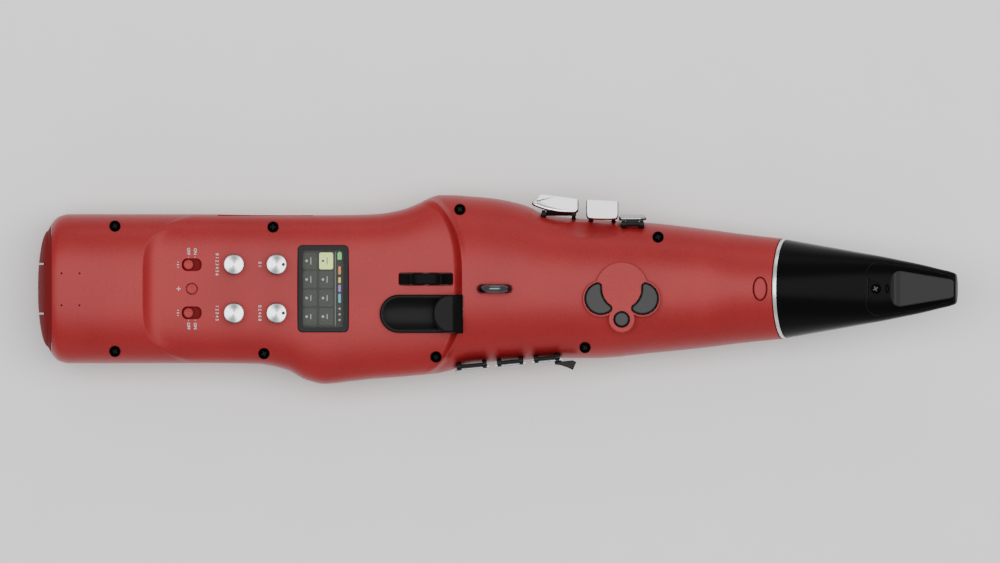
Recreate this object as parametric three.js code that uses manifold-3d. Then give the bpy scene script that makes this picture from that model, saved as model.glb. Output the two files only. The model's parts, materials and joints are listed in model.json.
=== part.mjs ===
import * as THREE from 'three';
import { mergeVertices } from 'three/addons/utils/BufferGeometryUtils.js';
import Module from 'manifold-3d';

// Digital wind controller, lying on its front with the thumb side up.
// Millimetres. +X runs to the mouthpiece, +Y to the palm keys, +Z up to the thumb side.

// Clearances
const fitGap = 0.3;
const pinGap = 0.35;
const cutOverrun = 5;

// Body casing
const bodyTailX = -281.3;
const bodyLength = 460.7;
const bellHalfWidth = 46.7;
const bodyHeight = 68;
const partingHeight = 35;
const casingWall = 2.5;
const neckTilt = THREE.MathUtils.degToRad(16);
const panelRecess = 4.5;
const panelFloorHeight = bodyHeight - panelRecess;
const bellExponent = 3;
const panelExponent = 4;
const upperExponent = 2.5;
const neckExponent = 2.05;
const keelExponent = 4;
const panelEndBow = 30;
const panelStepBow = 21;
const panelEndBowPower = 5;
const panelStepBowPower = 3.5;
const ringPoints = 24;
const innerRingPoints = 16;
const arcSteps = 4;
const shankSides = 6;
const coarseSides = 8;
const middleSides = 10;
const fineSides = 12;
const weldDistance = 0.001;
const neckBendShare = 0.86;
const ringX = bodyTailX + bodyLength;

// A place along the casing, given as a share of its length.
function alongBody(share) {
  return bodyTailX + share * bodyLength;
}

// Key bed in the front casing
const bedTailInset = 156.3;
const bedNeckInset = 44.4;
const bedTailX = bodyTailX + bedTailInset;
const bedNeckX = ringX - bedNeckInset;
const bedHalfWidth = 21;
const bedDeckHeight = 8.5;

// End cap
const capDepth = 6.2;
const capPlugDepth = 10;
const capPlugWall = 2;
const capSlotWidth = 1.1;
const capSlotDepth = 4.4;
const capSlotPitch = 31.1;
const capSlotFootHeight = 12;
const capTabWidth = 6.9;
const capTabLength = 3.1;
const capTabDepth = 1.6;

// Casing screws
const screwWellDiameter = 7;
const screwHeadDiameter = 6.2;
const screwHeadHeight = 2.4;
const screwShankDiameter = 3;
const screwLength = 26;
const screwWellDepth = 21;
const screwSeatHeight = bodyHeight - screwWellDepth;
const screwBossWall = 1.7;
const screwSlotWidth = 0.9;
const screwSlotLength = 3.6;
const screwSlotDepth = 1.2;

// Control panel
const panelUndersideHeight = panelFloorHeight - casingWall;
const knobDiameter = 13;
const knobHeight = 9.2;
const knobTopDiameter = 11.6;
const knobShaftDiameter = 6;
const knobShaftReach = 4.5;
const knobDotDiameter = 2.2;
const knobDotOffset = 4.25;
const knobDotDepth = 0.5;
const knobRowShare = 0.2522;
const knobRowX = alongBody(knobRowShare);
const knobRowPitch = 26.7;
const knobLaneY = 15.2;
const switchShare = 0.1951;
const switchX = alongBody(switchShare);
const switchSlotLength = 12;
const switchSlotWidth = 7.6;
const switchCapDiameter = 6.4;
const switchTravel = 4.2;
const switchLaneY = 15.1;
const capProud = 0.9;
const panelButtonDiameter = 6.5;
const panelButtonHoleDiameter = 7.9;
const panelButtonTravel = 0.8;

// Panel circuit board
const boardThickness = 1.6;
const panelBoardDrop = 9.4;
const panelBoardTop = panelFloorHeight - panelBoardDrop;
const panelBoardMargin = 14.6;
const panelBoardTailX = switchX - panelBoardMargin;
const panelBoardHalfWidth = 29;
const encoderSide = 12;
const encoderDrop = 3.3;
const encoderTop = panelFloorHeight - encoderDrop;
const switchBodyLength = 13.2;
const switchBodyWidth = 8;
const switchBodyDrop = 5.5;
const tactSwitchDrop = 6.5;
const switchBodyTop = panelFloorHeight - switchBodyDrop;
const tactSwitchTop = panelFloorHeight - tactSwitchDrop;
const tactSwitchSide = 6;

// Screen
const screenShare = 0.3733;
const screenCentreX = alongBody(screenShare);
const screenLength = 31.4;
const screenWidth = 54;
const screenCornerRadius = 2.75;
const screenWindowThickness = 2.8;
const screenModuleMargin = 1.6;
const screenModuleThickness = 3;
const screenModuleDrop = 1.6;
const panelBoardScreenGap = 4;
const panelBoardNeckX = screenCentreX - screenLength / 2 - panelBoardScreenGap;

// Pitch wheel
const wheelShare = 0.5127;
const wheelX = alongBody(wheelShare);
const wheelY = 6.05;
const wheelRadius = 20;
const wheelWidth = 7;
const wheelRise = 6;
const wheelSlotLength = 33.7;
const wheelSlotWidth = 7.7;
const wheelSlotRadius = 1.3;
const wheelDishRadius = 13.5;
const wheelDishOffset = 29;
const wheelBoreRadius = 3;
const axleHeadRadius = 4.2;
const axleHeadLength = 1.4;
const cradlePlate = 2;
const cradleHalfLength = 8;
const cradleDrop = 36.5;
const cradleFootHeight = panelFloorHeight - cradleDrop;

// Thumb rest with its hook
const restNeckShare = 0.5626;
const restLength = 51.8;
const restNeckX = alongBody(restNeckShare);
const restTailX = restNeckX - restLength;
const restY = -15.65;
const restWidth = 23.9;
const restPlate = 2.8;
const restDishRadius = 46;
const restDishDepth = 2;
const hookRise = 15.5;
const hookHeight = panelFloorHeight + hookRise;
const hookLip = 5;
const hookLength = 11.2;
const hookFaceX = restNeckX - hookLength;
const hookBulge = 7.6;
const restPegRadius = 2.5;
const restPegDepth = 4.5;

// Strap ring
const strapShare = 0.6059;
const strapX = alongBody(strapShare);
const strapRadius = 8.15;
const strapWire = 2.85;
const strapRise = 1.3;
const strapFootDepth = 4;
const strapSeatDepth = 1.4;

// Octave thumb platform
const octaveShare = 0.7784;
const octaveX = alongBody(octaveShare);
const octaveRadius = 16.7;
const octaveProud = 2.9;
const octaveDepth = 11.3;
const octaveLobeRadius = 8.3;
const octaveLobeY = -19.1;
const beanOffsetX = 13;
const beanOffsetY = -6.1;
const beanRadius = 10.1;
const beanHollowRadius = 12.5;
const beanCornerRadius = 2.5;
const octaveRim = 1.2;
const roundPadRadius = 4.9;
const octavePadRise = 0.5;
const octavePadDepth = 7.5;

// Release button
const releaseSetback = 15.6;
const releaseX = ringX - releaseSetback;
const releaseLength = 8.6;
const releaseWidth = 14.4;
const releaseRise = 1.3;
const releaseDepth = 5.2;

// Neck ring and socket
const trimThickness = 2.6;
const trimWall = 6;
const socketFlangeThickness = 4;
const socketFlangeMargin = 4.2;
const tenonRadius = 13;
const tenonLength = 26;
const tenonBoreRadius = 5;
const tenonTail = 6;
const sealWidth = 2.4;
const sealDepth = 1.2;
const sealInset = 5;

// Mouthpiece
const mouthpieceLength = 111.81;
const mouthpieceShoulder = 28.5;
const airwayRadius = 3.2;
const beakStart = 52;
const beakMargin = 2.4;
const beakFloor = -1;
const beakHeelHalfWidth = 16.5;
const beakHeelRound = 7;
const beakEnd = 110.8;
const airSlotWidth = 9;
const airSlotHeight = 2.2;
const reedStart = 69;
const reedEnd = 110.2;
const reedHeelHalfWidth = 11.25;
const reedTipHalfWidth = 5.7;
const reedThickness = 1.6;
const reedHeelHeight = 13.4;
const reedTipHeight = 5.6;
const beakScrewSetback = 6.6;
const beakScrewAlong = beakStart + beakScrewSetback;
const beakScrewHeadDiameter = 6;
const beakScrewShankDiameter = 2.6;
const beakScrewSeat = 11.6;
const beakScrewHeadHeight = 1.8;
const beakScrewLength = 11;
const beakPocketHalfWidth = 6.5;
const beakPocketInset = 0.8;
const beakSquareness = 1;
const heelBendShare = 0.3;
const pocketFlareShare = 0.7;

// Palm keys and side keys
const leverPlate = 2.2;
const leverPinRadius = 1.2;
const leverRingRadius = 2.4;
const leverFinWidth = 2.4;
const leverFinInset = 1.4;
const palmRailY = 33;
const railWidth = 3;
const railHeight = 4;
const palmRailDrop = 27;
const palmRailFoot = bodyHeight - palmRailDrop;
const sideLineShare = 0.5529;
const sideLineX = alongBody(sideLineShare);
const sideLineY = -53.6;
const sideLineAngle = THREE.MathUtils.degToRad(5.5);
const sidePlateHeight = 15;
const sidePlateLean = 2.2;
const sidePlateDrop = 14.4;
const sidePlateTop = bodyHeight - sidePlateDrop;
const sidePinReach = 4.6;
const sidePinRise = 2.6;
const sidePinHeight = sidePlateTop + sidePinRise;
const sideRailReach = 12;
const sideRailDrop = 10.6;
const sideRailFoot = sidePlateTop - sideRailDrop;
const sideEndLength = 9;
const sideEndReach = 4.3;
const sideFlareDepth = 5;
const leverArmShare = 0.3;
const leverFinToeShare = -0.5;

// Front keys
const keyDiscRadius = 10.5;
const keyThickness = 2.2;
const keyTopHeight = 2;
const keyRodY = 16.6;
const keyRodHeight = 5;
const keyRodRadius = 1.4;
const keyBarrelRadius = 2.4;
const keyBarrelLength = 9;
const keyArmWidth = 6;
const keyDiscY = -2;
const keyPostWidth = 3;
const keyCupRadius = 8.2;
const keyCupDepth = 0.7;
const keyPitch = 24;
const bedRodInset = 4;
const bedLeftRodStart = 128;
const bedRightRodEnd = 122;
const rightRodEnd = bedTailX + bedRightRodEnd;
const leftKeyInset = 23;
const rightKeyInset = 15;
const leftPinkyInset = 19;
const rightPinkyInset = 23;
const leftKeyStart = bedNeckX - leftKeyInset;
const rightKeyStart = rightRodEnd - rightKeyInset;
const leftPinkyX = bedTailX + bedLeftRodStart + leftPinkyInset;
const rightPinkyX = bedTailX + rightPinkyInset;
const pinkyLength = 26;
const pinkyWidth = 18;
const pinkyCornerRadius = 5;
const pinkyY = -5;
const leftPostReach = 42;
const rightPostReach = 40.5;
const leftMiddlePost = bedTailX + bedLeftRodStart + leftPostReach;
const rightMiddlePost = bedTailX + rightPostReach;

// Battery, boards and sensor
const batteryInset = 19.3;
const batteryTailX = bodyTailX + batteryInset;
const batteryLength = 56;
const batteryWidth = 50;
const batteryHeight = 26;
const mainBoardTailInset = 7;
const mainBoardNeckInset = 9;
const mainBoardTailX = bedTailX + mainBoardTailInset;
const mainBoardNeckX = bedNeckX - mainBoardNeckInset;
const mainBoardHalfWidth = 19;
const sensorInset = 14;
const sensorX = mainBoardNeckX - sensorInset;
const sensorSide = 11;
const sensorHeight = 8;
const sensorNippleRadius = 2;
const sensorNippleLength = 6;

// Side ports
const facetShare = 0.2307;
const facetLength = 59.4;
const facetTailX = alongBody(facetShare);
const facetNeckX = facetTailX + facetLength;
const facetY = 45.4;
const facetLowHeight = 24;
const portDrop = 20.1;
const portHeight = panelFloorHeight - portDrop;
const lineJackInset = 11;
const lineJackX = facetTailX + lineJackInset;
const lineJackWidth = 14;
const lineJackDepth = 21;
const lineJackHeight = 10.4;
const lineJackNoseRadius = 5;
const lineJackBoreRadius = 3.25;
const phonesJackPitch = 13.7;
const phonesJackX = lineJackX + phonesJackPitch;
const phonesJackWidth = 8;
const phonesJackDepth = 14;
const phonesJackNoseRadius = 3.2;
const phonesJackBoreRadius = 1.8;
const dataPortShare = 0.335;
const dataPortX = alongBody(dataPortShare);
const dataPortWidth = 9;
const dataPortHeight = 3.4;
const dataPortDepth = 8;
const dataPortShell = 0.6;

// Outline of the body seen from the thumb side:
// along the body, half width toward the palm keys, half width toward the side keys
const bodyOutlineShares = [
  [0.000, 0.777, 0.777],
  [0.006, 0.882, 0.878],
  [0.015, 0.966, 0.966],
  [0.029, 1.000, 0.998],
  [0.220, 0.998, 0.996],
  [0.285, 0.989, 1.006],
  [0.324, 0.987, 1.084],
  [0.352, 0.987, 1.225],
  [0.376, 0.987, 1.274],
  [0.411, 0.989, 1.238],
  [0.446, 1.002, 1.203],
  [0.478, 1.054, 1.180],
  [0.504, 1.148, 1.156],
  [0.519, 1.221, 1.141],
  [0.532, 1.255, 1.126],
  [0.552, 1.253, 1.075],
  [0.569, 1.240, 1.011],
  [0.600, 1.215, 0.981],
  [0.624, 1.176, 0.968],
  [0.652, 1.101, 0.946],
  [0.669, 1.019, 0.936],
  [0.689, 0.972, 0.927],
  [0.741, 0.927, 0.929],
  [0.817, 0.882, 0.863],
  [0.884, 0.809, 0.797],
  [0.945, 0.728, 0.722],
  [1.000, 0.669, 0.669],
];

// Cross sections: along the body, crown, keel, and which run of the body they belong to
const bell = 'bell';
const panelEnd = 'panelEnd';
const panelFace = 'panelFace';
const panelStep = 'panelStep';
const crest = 'crest';
const upper = 'upper';
const neck = 'neck';
const panelCrownShare = panelFloorHeight / bodyHeight;
const bodySectionShares = [
  [0.000, 0.860, 0.132, bell],
  [0.006, 0.919, 0.066, bell],
  [0.015, 0.971, 0.007, bell],
  [0.029, 1.000, -0.038, bell],
  [0.080, 1.000, -0.044, bell],
  [0.129, 1.000, -0.044, panelEnd],
  [0.137, panelCrownShare, -0.044, panelFace],
  [0.220, panelCrownShare, -0.044, panelFace],
  [0.285, panelCrownShare, -0.044, panelFace],
  [0.324, panelCrownShare, -0.044, panelFace],
  [0.352, panelCrownShare, -0.044, panelFace],
  [0.376, panelCrownShare, -0.044, panelFace],
  [0.411, panelCrownShare, -0.044, panelFace],
  [0.446, panelCrownShare, -0.044, panelFace],
  [0.478, panelCrownShare, -0.044, panelFace],
  [0.504, panelCrownShare, -0.044, panelFace],
  [0.530, panelCrownShare, -0.044, panelFace],
  [0.551, panelCrownShare, -0.044, panelStep],
  [0.5615, 1.044, -0.044, crest],
  [0.575, 1.046, -0.044, upper],
  [0.600, 1.046, -0.044, upper],
  [0.624, 1.044, -0.044, upper],
  [0.652, 1.043, -0.044, upper],
  [0.669, 1.041, -0.044, upper],
  [0.689, 1.038, -0.044, upper],
  [0.741, 1.029, -0.044, upper],
  [0.817, 1.012, -0.044, upper],
  [0.884, 0.985, -0.015, upper],
  [0.945, 0.962, 0.103, neck],
  [1.000, 0.941, 0.235, neck],
];

// How far each cross section bows along the body at its sides
const sectionBowShares = [
  [0.000, 0],
  [0.030, 0],
  [0.129, 1],
  [0.137, 1],
  [0.324, 0],
  [0.420, 0],
  [0.551, -1],
  [0.5615, -1],
  [0.700, 0],
  [1.000, 0],
];

// How square the front half is, along the body
const keelSquareShares = [
  [0.000, 1],
  [0.884, 1],
  [1.000, 0.5125],
];

// Palm keys: start and end along the body, then across and up for the plate's outer edge,
// its inner edge and its hinge pin, as shares of the bell's half width and the body height
const palmKeyShares = [
  [0.667, 0.719, 1.2741, 0.713, 1.056, 0.797, 1.002, 0.725],
  [0.731, 0.773, 1.158, 0.765, 0.945, 0.838, 0.953, 0.757],
  [0.7755, 0.811, 1.000, 0.640, 0.955, 0.790, 0.868, 0.809],
];

// Side keys: start and end along the line of the side keys, as shares of that line
const sideLineLength = 67;
const sideKeyShares = [
  [0, 0.319],
  [0.379, 0.66],
  [0.725, 1],
];

// The flared end of the last side key: along the flare, and outward from the line of keys
const sideFlareShares = [
  [-0.5, -0.05],
  [-0.1, 0.14],
  [0.35, 0.55],
  [0.7, 1],
  [1, -0.1],
  [0.78, -0.42],
  [-0.1, -0.42],
  [-0.5, -0.38],
];

// Screw places: along the body, and aside as a share of the bell's half width
const screwPlaceShares = [
  [0.0909, 0.839],
  [0.0909, -0.839],
  [0.3054, 0.827],
  [0.2930, -0.869],
  [0.5589, 1.062],
  [0.5264, -0.914],
  [0.8277, 0.692],
  [0.7287, -0.788],
];

// Heights and sizes read from the body's own tables
function crownAt(x) {
  return interpolated(bodySectionShares, 1, (x - bodyTailX) / bodyLength) * bodyHeight;
}

const [, neckCrownShare, neckKeelShare] = bodySectionShares[bodySectionShares.length - 1];
const [, neckWidthShare] = bodyOutlineShares[bodyOutlineShares.length - 1];
const neckHeight = ((neckCrownShare + neckKeelShare) / 2) * bodyHeight;
const neckHalfHeight = (((neckCrownShare - neckKeelShare) / 2) * bodyHeight) / Math.cos(neckTilt);
const neckHalfWidth = neckWidthShare * bellHalfWidth;
const strapCentreHeight = crownAt(strapX) + strapRise;
const octaveTop = crownAt(octaveX) + octaveProud;
const octaveFoot = octaveTop - octaveDepth;
const releaseTop = crownAt(releaseX) + releaseRise;

const wasm = await Module();
wasm.setup();


const paints = {
  red: { color: 0x97282b, roughness: 0.42, metalness: 0.25 },
  darkRed: { color: 0x762a2c, roughness: 0.5, metalness: 0.2 },
  black: { color: 0x0b0b0c, roughness: 0.4, metalness: 0 },
  softBlack: { color: 0x1c1c1d, roughness: 0.6, metalness: 0 },
  grey: { color: 0x444444, roughness: 0.7, metalness: 0 },
  silver: { color: 0xc9cacc, roughness: 0.3, metalness: 1 },
  chrome: { color: 0xe2e3e5, roughness: 0.12, metalness: 1 },
  steel: { color: 0x8c8e92, roughness: 0.35, metalness: 1 },
  board: { color: 0x1d4a2c, roughness: 0.6, metalness: 0 },
  glass: { color: 0x101214, roughness: 0.1, metalness: 0 },
  cell: { color: 0x2f5fa3, roughness: 0.5, metalness: 0 },
};

const instrument = new THREE.Group();
const neckGroup = new THREE.Group();
neckGroup.position.set(ringX, 0, neckHeight);
neckGroup.rotation.y = -neckTilt;
instrument.add(neckGroup);

// Turns a closed geometry into a body that can be joined and cut.
function bodyOf(geometry) {
  const bare = geometry.clone();
  for (const name of Object.keys(bare.attributes)) {
    if (name !== 'position') {
      bare.deleteAttribute(name);
    }
  }
  const merged = mergeVertices(bare, weldDistance);
  const vertProperties = new Float32Array(merged.attributes.position.array);
  const triVerts = new Uint32Array(merged.index.array);
  return new wasm.Manifold(new wasm.Mesh({ numProp: 3, vertProperties, triVerts }));
}

function geometryOf(body) {
  const mesh = body.getMesh();
  const geometry = new THREE.BufferGeometry();
  geometry.setAttribute('position', new THREE.BufferAttribute(new Float32Array(mesh.vertProperties), 3));
  geometry.setIndex(new THREE.BufferAttribute(new Uint32Array(mesh.triVerts), 1));
  return geometry;
}

function movedBody(body, matrix) {
  return bodyOf(geometryOf(body).applyMatrix4(matrix));
}

// Adds a body to the scene graph as one named mesh.
function place(name, body, paint, group = instrument) {
  const geometry = geometryOf(body);
  geometry.computeVertexNormals();
  const piece = new THREE.Mesh(geometry, new THREE.MeshStandardMaterial(paints[paint]));
  piece.name = name;
  group.add(piece);
  return piece;
}

function join(...bodies) {
  return bodies.reduce((whole, body) => whole.add(body));
}

function cut(body, ...tools) {
  return tools.reduce((rest, tool) => rest.subtract(tool), body);
}

function block(minX, maxX, minY, maxY, minZ, maxZ) {
  const box = new THREE.BoxGeometry(maxX - minX, maxY - minY, maxZ - minZ);
  box.translate((minX + maxX) / 2, (minY + maxY) / 2, (minZ + maxZ) / 2);
  return bodyOf(box);
}

function cylinder(radius, length, sides, topRadius = radius) {
  return new THREE.CylinderGeometry(topRadius, radius, length, sides);
}

function pinAlongZ(radius, x, y, minZ, maxZ, sides = 16, topRadius = radius) {
  const pin = cylinder(radius, maxZ - minZ, sides, topRadius);
  pin.rotateX(Math.PI / 2);
  pin.translate(x, y, (minZ + maxZ) / 2);
  return bodyOf(pin);
}

function pinAlongX(radius, minX, maxX, y, z, sides = 12) {
  const pin = cylinder(radius, maxX - minX, sides);
  pin.rotateZ(Math.PI / 2);
  pin.translate((minX + maxX) / 2, y, z);
  return bodyOf(pin);
}

function pinAlongY(radius, x, minY, maxY, z, sides = 16) {
  const pin = cylinder(radius, maxY - minY, sides);
  pin.translate(x, (minY + maxY) / 2, z);
  return bodyOf(pin);
}

function outlineOf(points) {
  return new THREE.Shape(points.map(([across, up]) => new THREE.Vector2(across, up)));
}

function upright(points, minZ, maxZ) {
  const shape = points instanceof THREE.Shape ? points : outlineOf(points);
  const plate = new THREE.ExtrudeGeometry(shape, {
    depth: maxZ - minZ,
    bevelEnabled: false,
    curveSegments: arcSteps,
  });
  plate.translate(0, 0, minZ);
  return bodyOf(plate);
}

// Extrudes an outline drawn in X and Z across the Y direction.
function crosswise(points, minY, maxY) {
  const plate = new THREE.ExtrudeGeometry(outlineOf(points), { depth: maxY - minY, bevelEnabled: false });
  plate.rotateX(Math.PI / 2);
  plate.translate(0, maxY, 0);
  return bodyOf(plate);
}

// Extrudes an outline drawn in Y and Z along the X direction.
function lengthwise(points, minX, maxX) {
  const plate = new THREE.ExtrudeGeometry(outlineOf(points), { depth: maxX - minX, bevelEnabled: false });
  const yAxis = new THREE.Vector3(0, 1, 0);
  const zAxis = new THREE.Vector3(0, 0, 1);
  const xAxis = new THREE.Vector3(1, 0, 0);
  plate.applyMatrix4(new THREE.Matrix4().makeBasis(yAxis, zAxis, xAxis));
  plate.translate(minX, 0, 0);
  return bodyOf(plate);
}

// Joins rings of equal point counts into one closed skin with flat ends.
function loft(rings) {
  const count = rings[0].length;
  const positions = rings.flat().flatMap((point) => [point.x, point.y, point.z]);
  const indices = [];
  for (let row = 0; row < rings.length - 1; row += 1) {
    for (let step = 0; step < count; step += 1) {
      const here = row * count + step;
      const beside = row * count + ((step + 1) % count);
      indices.push(here, beside, beside + count, here, beside + count, here + count);
    }
  }
  const last = (rings.length - 1) * count;
  for (let step = 1; step < count - 1; step += 1) {
    indices.push(0, step + 1, step);
    indices.push(last, last + step, last + step + 1);
  }
  const geometry = new THREE.BufferGeometry();
  geometry.setAttribute('position', new THREE.Float32BufferAttribute(positions, 3));
  geometry.setIndex(indices);
  return bodyOf(facedOutward(geometry));
}

// Turns the faces over where the skin encloses a negative volume.
function facedOutward(geometry) {
  const position = geometry.attributes.position;
  const corners = [new THREE.Vector3(), new THREE.Vector3(), new THREE.Vector3()];
  const order = Array.from(geometry.index.array);
  let volume = 0;
  for (let face = 0; face < order.length; face += 3) {
    corners.forEach((corner, turn) => corner.fromBufferAttribute(position, order[face + turn]));
    volume += corners[0].dot(corners[1].clone().cross(corners[2]));
  }
  if (volume < 0) {
    geometry.setIndex(order.reverse());
  }
  return geometry;
}

function powered(value, power) {
  return Math.sign(value) * Math.abs(value) ** power;
}

function interpolated(table, column, along) {
  const next = table.findIndex((row) => row[0] >= along);
  if (next <= 0) {
    return next === 0 ? table[0][column] : table[table.length - 1][column];
  }
  const before = table[next - 1];
  const after = table[next];
  const share = (along - before[0]) / (after[0] - before[0]);
  return before[column] + share * (after[column] - before[column]);
}

const runExponents = {
  [bell]: bellExponent,
  [panelEnd]: bellExponent,
  [panelFace]: panelExponent,
  [panelStep]: panelExponent,
  [crest]: upperExponent,
  [upper]: upperExponent,
  [neck]: neckExponent,
};

// How far a point of a cross section moves along the body, by its share of the half width.
function bowed(along, across) {
  const bow = interpolated(sectionBowShares, 1, along);
  if (bow > 0) {
    return bow * panelEndBow * Math.abs(across) ** panelEndBowPower;
  }
  return bow * panelStepBow * Math.abs(across) ** panelStepBowPower;
}

// One cross section of the body, drawn in by the inset.
function bodyRing([along, crown, keel, run], inset, points = ringPoints) {
  const tilt = neckTilt * THREE.MathUtils.smoothstep(along, neckBendShare, 1);
  const lift = THREE.MathUtils.smoothstep(along, neckBendShare, 1) * (neckHeight - partingHeight);
  const centreHeight = partingHeight + lift;
  const rise = (crown * bodyHeight - centreHeight) / Math.cos(tilt) - inset;
  const drop = (centreHeight - keel * bodyHeight) / Math.cos(tilt) - inset;
  const ring = [];
  for (let step = 0; step < points; step += 1) {
    const angle = (2 * Math.PI * step) / points;
    const above = Math.sin(angle) >= 0;
    const exponent = above ? runExponents[run] : interpolated(keelSquareShares, 1, along) * keelExponent;
    const across = powered(Math.cos(angle), 2 / exponent);
    const up = powered(Math.sin(angle), 2 / exponent) * (above ? rise : drop);
    const reached = along + bowed(along, across) / bodyLength;
    const side = across >= 0 ? 1 : 2;
    const halfWidth = interpolated(bodyOutlineShares, side, reached) * bellHalfWidth - inset;
    ring.push(new THREE.Vector3(
      bodyTailX + reached * bodyLength - up * Math.sin(tilt),
      across * halfWidth,
      centreHeight + up * Math.cos(tilt),
    ));
  }
  return ring;
}

function bodyLoft(inset, points = ringPoints) {
  const rings = bodySectionShares.map((station) => bodyRing(station, inset, points));
  const pushed = (ring, distance, tilt) => ring.map((point) => new THREE.Vector3(
    point.x + distance * Math.cos(tilt),
    point.y,
    point.z + distance * Math.sin(tilt),
  ));
  if (inset > 0) {
    rings.unshift(pushed(rings[0], -cutOverrun, 0));
  }
  rings.push(pushed(rings[rings.length - 1], cutOverrun, neckTilt));
  return loft(rings);
}

// Rear and front casings
const neckFrame = new THREE.Matrix4().makeRotationY(-neckTilt).setPosition(ringX, 0, neckHeight);
const casingReach = bodyLength;

// Everything past the neck end of the casing, square to the tilted neck.
function pastNeck(distance) {
  const slab = new THREE.BoxGeometry(casingReach, casingReach, casingReach);
  slab.translate(distance + casingReach / 2, 0, 0);
  slab.applyMatrix4(neckFrame);
  return bodyOf(slab);
}

const tailX = bodyTailX - cutOverrun;
const farX = ringX + casingReach;
const wide = bodyLength;
const skyHeight = bodyHeight + casingReach;

function octaveDisc(radius, x, y, minZ, maxZ) {
  return pinAlongZ(radius, x, y, minZ, maxZ, 20);
}

// A bean pad: a disc hollowed by the platform's own round, with rounded horns.
function beanShape(side, grow) {
  const centreX = octaveX + side * beanOffsetX;
  const outer = beanRadius + grow;
  const inner = beanHollowRadius - grow;
  const reach = Math.hypot(beanOffsetX, beanOffsetY);
  const heading = Math.atan2(beanOffsetY, side * beanOffsetX);
  const hornRadius = beanCornerRadius + grow;
  const outerReach = outer - hornRadius;
  const innerReach = inner + hornRadius;
  const along = (reach * reach + innerReach * innerReach - outerReach * outerReach) / (2 * reach);
  const beside = Math.sqrt(innerReach * innerReach - along * along);
  const horn = [-1, 1].map((hand) => new THREE.Vector2(
    octaveX + along * Math.cos(heading) - hand * beside * Math.sin(heading),
    along * Math.sin(heading) + hand * beside * Math.cos(heading),
  ));
  const hub = new THREE.Vector2(centreX, beanOffsetY);
  const heart = new THREE.Vector2(octaveX, 0);
  const outward = horn.map((point) => point.clone().sub(hub).angle());
  const inward = horn.map((point) => heart.clone().sub(point).angle());
  const shape = new THREE.Shape();
  shape.absarc(hub.x, hub.y, outer, outward[0], outward[1], false);
  shape.absarc(horn[1].x, horn[1].y, hornRadius, outward[1], inward[1], false);
  shape.absarc(heart.x, heart.y, inner, inward[1] - Math.PI, inward[0] - Math.PI, true);
  shape.absarc(horn[0].x, horn[0].y, hornRadius, inward[0], outward[0], false);
  return shape;
}

function octavePlatform() {
  return join(
    octaveDisc(octaveRadius, octaveX, 0, octaveFoot, octaveTop),
    octaveDisc(octaveLobeRadius, octaveX, octaveLobeY, octaveFoot, octaveTop),
    ...[-1, 1].map((side) => upright(beanShape(side, octaveRim + fitGap), octaveFoot, octaveTop)),
  );
}

const screwPlaces = screwPlaceShares.map(([along, aside]) => [
  bodyTailX + along * bodyLength,
  aside * bellHalfWidth,
]);

const screwBossRadius = screwWellDiameter / 2 + screwBossWall;
const neckSeam = trimThickness / 2 + fitGap;
const aboveFloor = block(tailX, farX, -wide, wide, 0, skyHeight);
const outerBody = cut(join(bodyLoft(0), octavePlatform()), pastNeck(-neckSeam)).intersect(aboveFloor);

function bedBlock(grow) {
  const deck = bedDeckHeight + grow;
  const halfWidth = bedHalfWidth + grow;
  return block(bedTailX - grow, bedNeckX + grow, -halfWidth, halfWidth, -cutOverrun, deck);
}

const hollow = cut(
  bodyLoft(casingWall, innerRingPoints).intersect(block(tailX, farX, -wide, wide, casingWall, skyHeight)),
  bedBlock(casingWall),
);
const bosses = screwPlaces.map(([x, y]) => (
  pinAlongZ(screwBossRadius, x, y, 0, skyHeight, coarseSides).intersect(outerBody)
));
const screwBore = screwShankDiameter / 2 + fitGap;
const screwHoles = screwPlaces.flatMap(([x, y]) => [
  pinAlongZ(screwWellDiameter / 2, x, y, screwSeatHeight, skyHeight, fineSides),
  pinAlongZ(screwBore, x, y, screwSeatHeight - screwLength, screwSeatHeight + fitGap, coarseSides),
]);
const facet = block(facetTailX, facetNeckX, facetY, wide, facetLowHeight, skyHeight);

function roundedRectangle(x, y, length, width, radius) {
  const left = x - length / 2 + radius;
  const right = x + length / 2 - radius;
  const low = y - width / 2 + radius;
  const high = y + width / 2 - radius;
  const shape = new THREE.Shape();
  shape.absarc(right, low, radius, -Math.PI / 2, 0, false);
  shape.absarc(right, high, radius, 0, Math.PI / 2, false);
  shape.absarc(left, high, radius, Math.PI / 2, Math.PI, false);
  shape.absarc(left, low, radius, Math.PI, Math.PI * 1.5, false);
  return shape;
}

const knobPlaces = [0, 1].flatMap((column) => [1, -1].map((lane) => (
  [knobRowX + column * knobRowPitch, lane * knobLaneY]
)));
const lanes = [1, -1];
const underPanel = panelUndersideHeight - cutOverrun;
const overPanel = panelFloorHeight + cutOverrun;
const wheelCentreHeight = panelFloorHeight + wheelRise - wheelRadius;
const restNotchX = restNeckX + fitGap;
const restHalfWidth = restWidth / 2;
const restPegXs = [restTailX + restHalfWidth, hookFaceX + restPegRadius];
const releaseSides = 10;

function ovalPrism(x, y, length, width, minZ, maxZ) {
  const shape = new THREE.Shape();
  shape.absellipse(x, y, length / 2, width / 2, 0, 2 * Math.PI, false, 0);
  const plate = new THREE.ExtrudeGeometry(shape, {
    depth: maxZ - minZ,
    bevelEnabled: false,
    curveSegments: releaseSides,
  });
  plate.translate(0, 0, minZ);
  return bodyOf(plate);
}

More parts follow.
